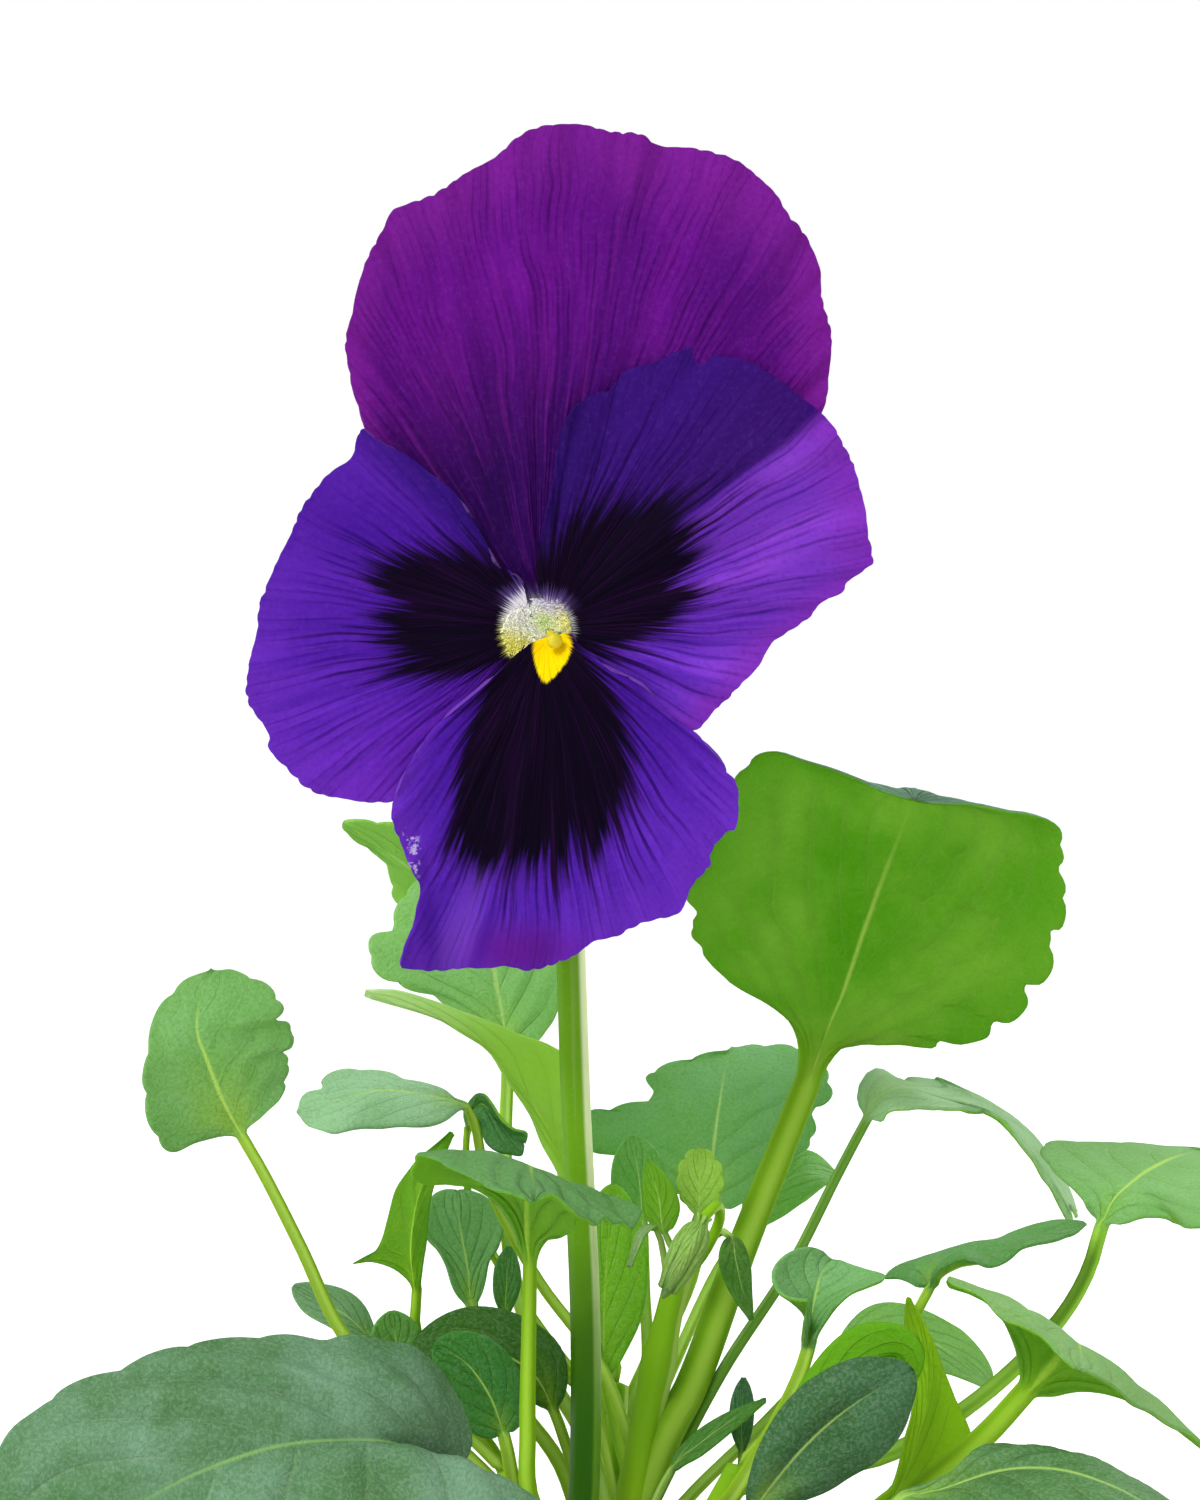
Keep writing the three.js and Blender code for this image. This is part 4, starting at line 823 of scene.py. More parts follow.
def leaf_material(name, look, side, veins):
    """One side of a leaf. The map runs -1 to 1 across the blade and 0 to 1 from foot to tip, and
    below 0 down the stalk. climb is how steeply the side veins run up, rib_width the half width of
    the midrib in shares of the blade's, rib_foot how many times wider its foot is, lee how
    much painted shade darkens the left half, vein how clear the side veins are, quilting
    how deep the hollows beside them are and how much painted shade lies in them, and foot_to,
    foot_wide and stalk_to how far the base and stalk colours reach. A tip colour, where one is
    given, is painted light on the tip."""
    under = side == "under"
    look = {**USUAL_LOOK, **look}
    tones = {"tip": look[side], "stalk": look["base"], **look}
    tone, edge_tone, rib_tone, base_tone, lit_tip_tone, stalk_tone = [
        rgb(*tones[key]) for key in (side, side + "_edge", "rib", "base", "tip", "stalk")]
    # shade_tone is a darker tone: painted shade on the left half and in the hollows, and the dark
    # specks.
    shade_tone = (*[v * 0.42 for v in tone[:3]], 1)
    bloom_tone = (*[v * 0.6 + 0.24 for v in tone[:3]], 1)
    flank_shade_tone = (*[v * 0.4 for v in stalk_tone[:3]], 1)
    material, paint = open_material(name)
    lane, run = paint.strip()
    point = paint.place()
    size = abs(lane)
    wander = paint.noise(point, 0.12, 0.0) - 0.5
    path = run - look["climb"] * size ** 0.9 + wander * 0.04
    near = abs(paint.maths("FRACT", path * veins + 10) - 0.5)
    inner = size.rise(0.0, 0.06)
    side_vein = near.rise(0.07, 0.0) * size.rise(1.0, 0.55) * inner * look["vein"]
    valley = near.rise(0.3, 0.02) * size.rise(1.0, 0.7) * size.rise(0.02, 0.2) * run.rise(0.0, 0.1)
    valley = valley * look["quilting"]
    branch = abs(paint.maths("FRACT", (run + 0.35 * size + wander * 0.12) * veins * 2.6 + 10) - 0.5)
    small_vein = branch.rise(0.16, 0.0) * 0.35 * size.rise(0.05, 0.2) * look["vein"]
    rib_width = look["rib_width"]
    rib_lane = size * (1 - run.rise(0.3, -0.02) * (1 - 1 / look["rib_foot"]))
    midrib = (rib_lane + run * rib_width * 0.3).rise(rib_width, rib_width * 0.2)
    midrib = midrib * run.rise(0.98, 0.5)
    net = paint.node("TexVoronoi", {"feature": "DISTANCE_TO_EDGE"},
                     {"Vector": point, "Scale": 0.95})
    mesh_line = net.rise(0.09, 0.0)
    cloud = paint.noise(point, 0.09, 4.0, 0.6)
    speck = paint.noise(point, 2.9, 3.0, 0.75)
    foot = run.rise(look["foot_to"], -0.04) * size.rise(look["foot_wide"], 0.1)
    stalk = run.rise(look["stalk_to"], -0.03)
    colour = cloud.rise(0.3, 0.72).between(tone, edge_tone)
    colour = (size.rise(0.5, 1.0) * 0.45).between(colour, edge_tone)
    # Painted light: a given tip colour brightens the tip.
    colour = (run.rise(0.45, 0.95) * 0.8).between(colour, lit_tip_tone) if "tip" in look else colour
    colour = (foot * 0.8).between(colour, base_tone)
    # Painted shade darkens the left half of the blade.
    colour = (lane.rise(0.2, -0.7) * look["lee"]).between(colour, shade_tone)
    # Painted shade in the hollows beside the side veins.
    colour = (valley * (0.5 if under else 0.4)).between(colour, shade_tone)
    colour = (mesh_line * (0.1 if under else 0.03)).between(colour, rib_tone)
    colour = (small_vein * (0.3 if under else 0.1)).between(colour, rib_tone)
    colour = (side_vein * (0.26 if under else 0.16)).between(colour, rib_tone)
    colour = (speck.rise(0.44, 0.64) * (0.06 if under else 0.26)).between(colour, bloom_tone)
    colour = (speck.rise(0.54, 0.34) * (0.1 if under else 0.3)).between(colour, shade_tone)
    colour = (midrib * 0.85).between(colour, rib_tone)
    streak = paint.noise(paint.spread(lane * 1.6, run * 0.2), 1.0, 1.0)
    stripe = (streak.rise(0.3, 0.7) * 0.25).between(stalk_tone, rib_tone)
    # Painted shade darkens the flanks of the stalk.
    stripe = (size.rise(0.2, 0.5) * size.rise(0.95, 0.6) * 0.3).between(stripe, flank_shade_tone)
    stripe = (size.rise(0.36, 0.1) * 0.45).between(stripe, rib_tone)
    colour = stalk.between(colour, stripe)
    lines = (side_vein * 0.9 + small_vein * 0.5 + mesh_line * 0.3) * (1 - stalk)
    relief = lines + valley * 1.5 if under else (lines + valley * 3.5) * -0.7
    relief = relief + speck * 0.35
    gloss = (0.62 if under else 0.5) + speck * 0.14
    close_material(paint, colour, gloss, relief, 0.12 if under else 0.15,
                   through=rgb(*look["glow"]),
                   share=look["glow_share"] * (1 - stalk * 0.4) * (1 - midrib * 0.5),
                   fixed={"Specular IOR Level": 0.08 if under else 0.15})
    return material


LEAF_MATERIALS = {}
# Sizes are in mm. on and at say where a leaf leaves its stem; stalk and rib are places on its line,
# face the way it looks at foot and tip, and teeth how many there are left and right, and how deep.
USUAL_LEAF = dict(thick=0.7, puff=0.012, shape="oval", cup=(0, 0), wave=0, teeth=(0, 0, 0),
                  veins=5, bow=(0, 0), stalk=[], look={})


def grow_leaves(rows, looks):
    """Builds each leaf of a table. looks holds the display colours that its leaves share."""
    grown = []
    for leaf in [{**USUAL_LEAF, **row} for row in rows]:
        look = {**looks, **leaf["look"]}
        key = str(sorted(look.items())) + str(leaf["veins"])
        if key not in LEAF_MATERIALS:
            number = len(LEAF_MATERIALS) + 1
            LEAF_MATERIALS[key] = [leaf_material(f"leaf_{number}_{side}", look, side, leaf["veins"])
                                   for side in ("upper", "under")]
        start = leaf.get("start")
        if start is None:
            line = STEM_LINES[leaf["on"]]
            start = tuple(line.at(leaf["at"] * line.length)[0])
        widest = max(leaf["left"], leaf["right"])
        half_columns = 7 if widest < 3 else 10 if widest < 7 else 16
        cells = 26 if widest < 3 else 44 if widest < 7 else 88
        if leaf["teeth"][2] and widest < 9:
            cells = 64
        points, layout = leaf_points(leaf, start, half_columns, cells)
        piece = skin(leaf["name"] + "_grown", points, layout, LEAF_MATERIALS[key], 2 * half_columns)
        grown.append(piece)
        if leaf.get("stands_for", leaf["name"]):
            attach(piece, "root")
            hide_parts(leaf["name"])
    return grown


FRONT_LEAVES = [
    dict(name="leaf_front_left", on="shoot_front", at=0.96, thick=1.5, puff=0.026, left=17,
        right=19, teeth=(11, 9, 0.5), veins=6, bow=(1.2, 1.6), stalk=[(-4, -23, 112),
        (-8, -27, 114.5), (-11.5, -30, 116.5)], rib=[(-13.5, -31, 118.5), (-16.5, -33, 121),
        (-19.5, -35, 123), (-24.5, -38, 124), (-31.5, -42, 124), (-41.5, -46, 120.5),
        (-50, -49, 114)], face=[(0.25, -0.6, 0.65), (-0.4, -0.55, 0.75)],
        # Its dark base, spread across the whole foot of the blade, is painted shade.
        look=dict(upper=(122, 166, 132), upper_edge=(70, 120, 60), base=(40, 76, 38),
        stalk=(128, 176, 50), rib_width=0.02, quilting=0.3, foot_wide=1.7, rib=(136, 180, 104)),
        left_line=[(-11.7, -30.8, 117.3), (-9.6, -31.6, 117.9), (-6.9, -32.6, 117.5),
        (-5.3, -33.6, 116), (-5.7, -36, 112), (-9.4, -40, 107.3), (-14.9, -44, 102.7),
        (-22.2, -47.4, 100), (-31.2, -49.4, 98.7), (-38.5, -50.2, 100.8), (-44.8, -50.4, 104.6),
        (-50.3, -50, 110)], right_line=[(-12.3, -30.6, 117.6), (-12, -29, 120),
        (-12.8, -27.4, 123.1), (-14.2, -27, 126.2), (-15.8, -27.6, 128.8), (-18.2, -28.6, 130.9),
        (-20.7, -29.8, 131.8), (-23.8, -31.4, 132.5), (-26.9, -33, 132.5), (-30, -34.4, 133.1),
        (-33.3, -36, 133.3), (-36.8, -37.4, 133.2), (-39.7, -38.8, 133), (-42.2, -40, 132.4),
        (-45, -41.4, 131.4), (-48, -42.8, 130.7), (-50.5, -44, 129.7), (-52.3, -45.2, 128.2),
        (-54.4, -46.4, 126.6), (-56.1, -47.6, 124.1), (-56.4, -48.4, 120.8), (-55.2, -49, 116.7),
        (-52.2, -49.4, 112.7)]),
    dict(name="leaf_front_oval", on="shoot_front", at=0.62, thick=1, left=4.8, right=4.8,
        bow=(0.9, 0.9), stalk=[(5, -19.5, 103), (10, -22.5, 107.5)], rib=[(14.9, -23.6, 113.6),
        (17.2, -24.6, 117), (20.1, -25.6, 120.7), (23.2, -26.2, 123.7), (26.5, -26.2, 126),
        (28.8, -25.8, 127.3), (30.6, -25.2, 128.1)], face=[(0.15, -0.92, 0.35), (0, -0.9, 0.4)],
        look=dict(upper=(64, 114, 72), upper_edge=(42, 90, 38), quilting=0.04, vein=0.3),
        left_line=[(14.1, -23.6, 113.6), (14.3, -24, 115.8), (14.9, -24.4, 118.4),
        (15.8, -24.8, 121), (17.4, -25.2, 123.9), (19.3, -25.6, 126.2), (21.1, -25.8, 127.6),
        (23.1, -25.8, 128.7), (25.1, -25.6, 129.3), (27.5, -25.4, 129.3), (29.5, -25.3, 128.9),
        (30.5, -25.2, 128.1)], right_line=[(15.5, -23.6, 112.8), (19.6, -24, 114.7),
        (22.5, -24.6, 116), (24.6, -25, 117.4), (26.8, -25.4, 118.8), (28.6, -25.6, 120.6),
        (29.7, -25.6, 122.3), (30.4, -25.6, 124.3), (30.9, -25.4, 126.3), (30.6, -25.2, 127.9)]),
    dict(name="leaf_front_right", on="shoot_front", at=0.3, thick=1.3, puff=0.02, left=13.5,
        right=13.5, teeth=(8, 8, 0.4), veins=6, bow=(1.4, 1.4), stalk=[(7, -18, 95.5),
        (15, -24, 101), (23, -28.6, 107)], rib=[(29.4, -30, 116.3), (33.6, -31.6, 118.1),
        (38.2, -33.4, 120), (42.9, -35.6, 120.7), (47.9, -38.2, 119.8), (53.2, -41, 117.1),
        (57.6, -43.4, 113)], face=[(0.1, -0.5, 0.85), (0.45, -0.5, 0.75)],
        look=dict(upper=(86, 138, 78), upper_edge=(70, 120, 56), rib_width=0.04, quilting=0.4),
        left_line=[(29.5, -30, 117.3), (31.9, -29, 117.6), (35.1, -28, 118.4),
        (36.5, -27.4, 119.6), (37.9, -27, 120.6), (40.2, -27, 120.5), (42.5, -27.2, 120.1),
        (44.8, -27.6, 119.7), (46.9, -28, 119.2), (48.8, -28.6, 118.5), (51, -29.4, 117.8),
        (53, -30.4, 117.2), (55.6, -32.4, 116.1), (57.5, -36, 114.9), (57.6, -43.4, 113.2)],
        right_line=[(29.7, -30, 115.1), (31.5, -34, 114.4), (34, -38, 113.5), (37.4, -42, 112.6),
        (41.7, -45, 111.9), (47.1, -47, 111.1), (51.7, -47, 110.7), (55.6, -45.6, 111.3),
        (57.6, -43.4, 112.8)]),
    dict(name="leaf_right_tiny", on="shoot_right", at=0.84, thick=0.45, left=1.3, right=1.3,
        stalk=[(14.2, -4, 111)], rib=[(14.6, -3.4, 114.6), (14.6, -3.2, 118),
        (14.8, -3.2, 122.6)], face=[(0, -0.95, 0.1)], look=dict(upper=(66, 124, 74),
        upper_edge=(58, 112, 66))),
]
grow_leaves(FRONT_LEAVES, dict(
    upper=(104, 146, 118), upper_edge=(92, 134, 100), under=(112, 164, 72),
    under_edge=(122, 172, 70),
    rib=(160, 196, 100), base=(130, 178, 50), glow=(120, 180, 30), glow_share=0.16))

# Leaves round the sides, half-way back: thinner, softer green blades with a bluish bloom on the
# upper side and yellow-green at the foot, on slim yellow-green stalks. They are grown as the front
# ones are; some give the two margins as lines, others as shares of the blade's length and width.
SIDE_LEAVES = [
    dict(name="leaf_far_left", on="shoot_left", at=0.9, shape="round", left=6.4, right=8,
        cup=(14, -10), wave=0.5, teeth=(5, 6, 0.55), stalk=[(-14, -4.5, 115), (-20.5, -6, 121),
        (-26.5, -6, 128), (-30.5, -6, 136.5), (-34.5, -6, 144.5)], rib=[(-36.5, -6, 148),
        (-38.5, -6.6, 152), (-40, -7, 156), (-41, -7, 159), (-40.5, -6, 163), (-39.5, -5, 165)],
        face=[(0.05, -0.95, 0.3)], look=dict(upper=(132, 188, 112), upper_edge=(112, 170, 82),
        base=(150, 190, 40), quilting=0.04, vein=0.4, foot_to=0.62), left_edge=[(0.02, 0.11),
        (0.07, 0.43), (0.1, 0.75), (0.12, 1.06), (0.17, 1.2), (0.28, 1.21), (0.37, 1.16),
        (0.48, 1.08), (0.61, 0.9), (0.67, 0.75), (0.71, 0.65), (0.79, 0.53), (0.87, 0.37),
        (0.94, 0.13), (1, 0.01)], right_edge=[(0.02, 0.08), (0.03, 0.24), (0.05, 0.44),
        (0.07, 0.66), (0.12, 0.79), (0.17, 0.8), (0.23, 0.94), (0.3, 0.99), (0.36, 0.92),
        (0.37, 1.07), (0.4, 1.15), (0.51, 1.14), (0.65, 1.04), (0.79, 1.08), (0.9, 0.96),
        (0.98, 0.74), (1.03, 0.48), (1.05, 0.21), (1.01, 0.04)]),
    dict(name="leaf_low_left_small", on="shoot_left", at=0.44, thick=0.6, left=2.6, right=2.6,
        cup=(10, 10), stalk=[(-9, 4, 106), (-16, 6, 115), (-21, 6, 121.5)], rib=[(-23.5, 6, 124),
        (-26.5, 6, 127), (-29.5, 7, 128.5), (-32.5, 8, 130)], face=[(0.3, -0.7, 0.7),
        (0.1, -0.7, 0.7)], look=dict(upper=(122, 166, 120), upper_edge=(112, 158, 106))),
    dict(name="leaf_low_left_round", on="shoot_left", at=1, thick=0.6, shape="round", left=2.9,
        right=2.9, cup=(10, 10), stalk=[(-14, -1.5, 116.5), (-18.5, -1.5, 120)],
        rib=[(-20.5, -2, 122.5), (-21, -2.5, 126), (-21.5, -3, 129.5)], face=[(0, -0.95, 0.3)],
        look=dict(upper=(104, 164, 74), upper_edge=(94, 154, 66))),
    dict(name="leaf_left_arch", on="main_stem", at=0.32, left=4.6, right=5.2, cup=(-10, -14),
        stalk=[(-1.6, 3, 108.5), (-3.4, 2.4, 113.8)], rib=[(-4.8, 1.6, 118), (-7, -0.4, 122.4),
        (-11.2, -3, 125.2), (-15.6, -5, 125.2), (-19.4, -7, 123)], face=[(-0.4, -0.8, 0.6),
        # Its dark greens are painted shade: this leaf lies shaded behind the leaves in front of it.
        (0.1, -0.7, 0.7)], look=dict(upper=(54, 106, 30), upper_edge=(44, 92, 20),
        under=(54, 106, 20), under_edge=(60, 112, 20))),
    dict(name="leaf_left_round", on="shoot_left", at=0.72, thick=0.8, shape="round", left=4,
        right=4, cup=(6, -14), stalk=[(-9, -6.8, 113)], rib=[(-9.8, -7.6, 117.5),
        (-11.4, -8, 122), (-14, -8.6, 125.5), (-17, -9, 127)], face=[(0.1, -0.95, 0.3)],
        look=dict(upper=(62, 136, 58), upper_edge=(54, 124, 44))),
    dict(name="leaf_left_spoon", on="main_stem", at=0.62, thick=0.6, left=3.5, right=3.5,
        cup=(-10, -10), wave=0.3, teeth=(0, 4, 0.5), stalk=[(0, 6, 122), (-6.5, 8.5, 130.5),
        (-12, 7, 141.5), (-13, 5.6, 147)], rib=[(-14, 4.6, 149.5), (-17.5, 2, 151),
        (-22.5, -1, 152), (-26.5, -4, 151.5), (-31, -6, 150.5)], face=[(0, -0.75, 0.65),
        (0, -0.8, 0.6)], look=dict(upper=(170, 216, 170), upper_edge=(146, 198, 140),
        quilting=0.03, vein=0.4), left_edge=[(0, 0.1), (0.16, 0.78), (0.31, 1.14), (0.46, 1.3),
        (0.62, 1.33), (0.86, 1.1), (0.94, 0.76), (0.98, 0.4), (1, 0.03)],
        right_edge=[(0.01, 0.15), (0.08, 0.09), (0.16, 0.38), (0.26, 0.5), (0.36, 0.52),
        (0.43, 0.64), (0.5, 0.71), (0.6, 0.78), (0.67, 0.9), (0.73, 0.95), (0.81, 0.78),
        (0.83, 0.52), (0.9, 0.54), (0.95, 0.37), (0.99, 0.09)]),
    dict(name="leaf_left_folded", on="shoot_back", at=0.9, thick=0.55, left=2.6, right=2.6,
        bow=(0.3, 0.3), stalk=[(-3, 17.5, 119), (-8.6, 17, 127), (-13.6, 14, 137)],
        rib=[(-13.9, 8, 146.8), (-13.5, 7.6, 148.6), (-12.4, 7.2, 149.5), (-10.9, 6.6, 147.9),
        (-9.5, 6, 146.5), (-8, 5.4, 145.6)], face=[(0.3, -0.5, 0.8), (0.5, -0.6, 0.6)],
        look=dict(upper=(72, 132, 76), upper_edge=(62, 120, 56)), left_line=[(-14.2, 8.6, 147.1),
        (-14.3, 8, 148.7), (-13.3, 7.2, 150.2), (-12.4, 6.6, 150.7), (-11.3, 6, 149.4),
        (-10.3, 5.4, 147.9), (-9, 5, 147), (-7.6, 5, 146.7), (-7.8, 5.4, 145.5)],
        right_line=[(-13.7, 7.6, 146.6), (-13.3, 7, 148), (-12.6, 6, 147.1), (-12, 5.4, 145.6),
        (-10.8, 5, 144.7), (-9.4, 5, 144.4), (-8.2, 5, 144.3), (-7.9, 5.4, 145.3)]),
    dict(name="leaf_middle_left", on="shoot_back", at=0.34, thick=0.8, left=4, right=4.2,
        bow=(-0.4, -0.4), stalk=[(-4, 9.8, 110), (-9.5, 9.8, 118)], rib=[(-13.6, 10, 127.5),
        (-14, 10.2, 131.1), (-14.7, 10.6, 134.9), (-15.1, 11, 137.6), (-15.2, 11.6, 139.6)],
        face=[(0.1, -0.95, 0.2), (0.1, -0.9, 0.4)], look=dict(upper=(124, 182, 116),
        upper_edge=(110, 170, 92)), left_line=[(-14.5, 10, 127.5), (-15.7, 10, 129.4),
        (-16.5, 10, 132), (-17.4, 10.2, 133.6), (-18.7, 10.6, 135), (-18.4, 11, 137.2),
        (-17.9, 11.4, 139), (-16.6, 11.6, 139.7), (-15.4, 11.6, 139.7)],
        right_line=[(-12.8, 10, 127.5), (-12.1, 9.8, 130.3), (-11.7, 9.6, 132.5),
        (-10.6, 9.6, 134.2), (-10.2, 10, 136.5), (-11.1, 10.6, 138.1), (-12.4, 11, 139.2),
        (-14.1, 11.4, 139.7), (-15, 11.6, 139.7)]),
    dict(name="leaf_middle_left_small", on="main_stem", at=0.5, thick=0.5, left=1.5, right=1.5,
        stalk=[(-1.5, 4.8, 119), (-8, 5.6, 123.5)], rib=[(-9.8, 5.8, 127), (-9.8, 6, 131),
        (-9.6, 6.4, 134.5)], face=[(0, -0.95, 0.2)], look=dict(upper=(78, 140, 66),
        upper_edge=(68, 128, 54))),
    dict(name="leaf_far_right", on="shoot_right", at=0.9, thick=0.95, shape="ovate", left=10,
        right=10, cup=(10, 4), wave=0.6, teeth=(6, 6, 0.4), stalk=[(18, -5, 113.5),
        (29, -1.5, 114), (40, 1, 120), (48, 2.6, 127.6), (51, 3.4, 132.5)], rib=[(52.4, 3.8, 137),
        (53.6, 4.4, 139.6), (56, 7, 141.2), (59, 11, 142.2), (62.6, 16, 142.6), (67, 22, 142)],
        face=[(-0.5, -0.5, 0.7), (-0.1, -0.3, 0.95)], look=dict(upper=(138, 192, 118),
        upper_edge=(122, 180, 90), base=(130, 190, 40)), left_edge=[(0, 0.1), (0.04, 0.24),
        (0.09, 0.34), (0.16, 0.64), (0.24, 0.95), (0.36, 1.22), (0.46, 1.28), (0.59, 1.15),
        (0.72, 0.9), (0.86, 0.67), (0.93, 0.32), (0.91, 0.01)], right_edge=[(0.01, 0.12),
        (0.04, 0.3), (0.05, 0.58), (-0.01, 0.92), (-0.25, 1.4), (-0.4, 1.88), (-0.37, 2.03),
        (-0.07, 1.72), (0.47, 0.95), (1.06, 0.05), (1.18, 0.01)]),
    dict(name="leaf_right_curled", on="shoot_right", at=1, thick=0.75, left=5, right=5,
        teeth=(5, 5, 0.5), bow=(0.5, 0.8), stalk=[(18.5, -5, 118), (26, -4.4, 121.5),
        (30.5, -4.6, 126.5)], rib=[(33.6, -4.8, 132), (34.7, -4.6, 133.8), (36.7, -4.2, 134.8),
        (39.6, -3.4, 135.1), (42.5, -2.4, 135.9), (45.5, -1.2, 136.7), (48, -0.4, 137.5),
        (50.5, 0.4, 137.9)], face=[(-0.3, -0.05, 1), (0, 0.05, 1)], look=dict(upper=(96, 156, 86),
        upper_edge=(84, 142, 66), under=(84, 140, 50), under_edge=(92, 150, 56)),
        left_line=[(33.2, -4.8, 131.4), (32.3, -4, 132.2), (30.9, -3, 132.7), (29.3, -2, 132.6),
        (30.3, -0.6, 133.3), (32.2, 0.6, 133.9), (34.9, 1.6, 134.5), (37.5, 2.4, 135.2),
        (40.4, 3, 135.4), (43, 3.2, 136.4), (46.5, 3, 137.6), (48.9, 2, 137.9), (50.5, 0.4, 138)],
        right_line=[(34, -4.8, 131.6), (34.1, -6, 133.2), (35, -7.4, 134.7), (36.8, -8.6, 135.8),
        (38.3, -9, 135.4), (39.6, -8.8, 135), (41.4, -8.2, 135.5), (43, -7, 136.6),
        (45.9, -5, 136.9), (48.4, -2.4, 137.1), (50.5, 0.4, 137.8)]),
    dict(name="leaf_right_middle", on="shoot_right", at=0.76, thick=0.85, left=5.8, right=5.8,
        bow=(-0.6, -0.6), stalk=[(13.6, -9.6, 112), (17, -9.4, 117.5), (19.6, -9.2, 122.5)],
        rib=[(21.1, -9, 126.6), (21.4, -8.6, 129.4), (21.9, -7.8, 131.9), (22.6, -6.4, 133.9),
        (23.8, -4.2, 135.1)], face=[(0, -0.95, 0.1), (0.1, -0.8, 0.5)],
        look=dict(upper=(132, 190, 120), upper_edge=(116, 178, 96), under=(110, 172, 60),
        under_edge=(120, 180, 60)), left_line=[(20.6, -9.6, 126.7), (20.6, -11, 129.5),
        (20.9, -13.4, 132.4), (19.7, -13, 132.6), (18.4, -12, 132.8), (17.6, -10.8, 133.5),
        (17.4, -9.4, 134.7), (18.3, -8, 135.8), (19.8, -6.8, 136.5), (21.5, -5.6, 136.6),
        (23, -4.6, 135.8)], right_line=[(21.6, -9.6, 126.7), (22, -10.6, 128.6),
        (23.2, -12, 130.9), (24.1, -13.2, 132.3), (25.3, -13.6, 133.4), (26.9, -13, 133.9),
        (28.6, -11.6, 134.3), (28.8, -9.6, 134.5), (27.3, -7.8, 134.6), (25.8, -6, 134.7),
        (24.6, -4.6, 134.9)]),
]
grow_leaves(SIDE_LEAVES, dict(
    upper=(122, 180, 112), upper_edge=(108, 168, 90), under=(120, 182, 56),
    under_edge=(130, 190, 56),
    rib=(178, 214, 96), base=(150, 194, 36), glow=(140, 204, 30), glow_share=0.32))

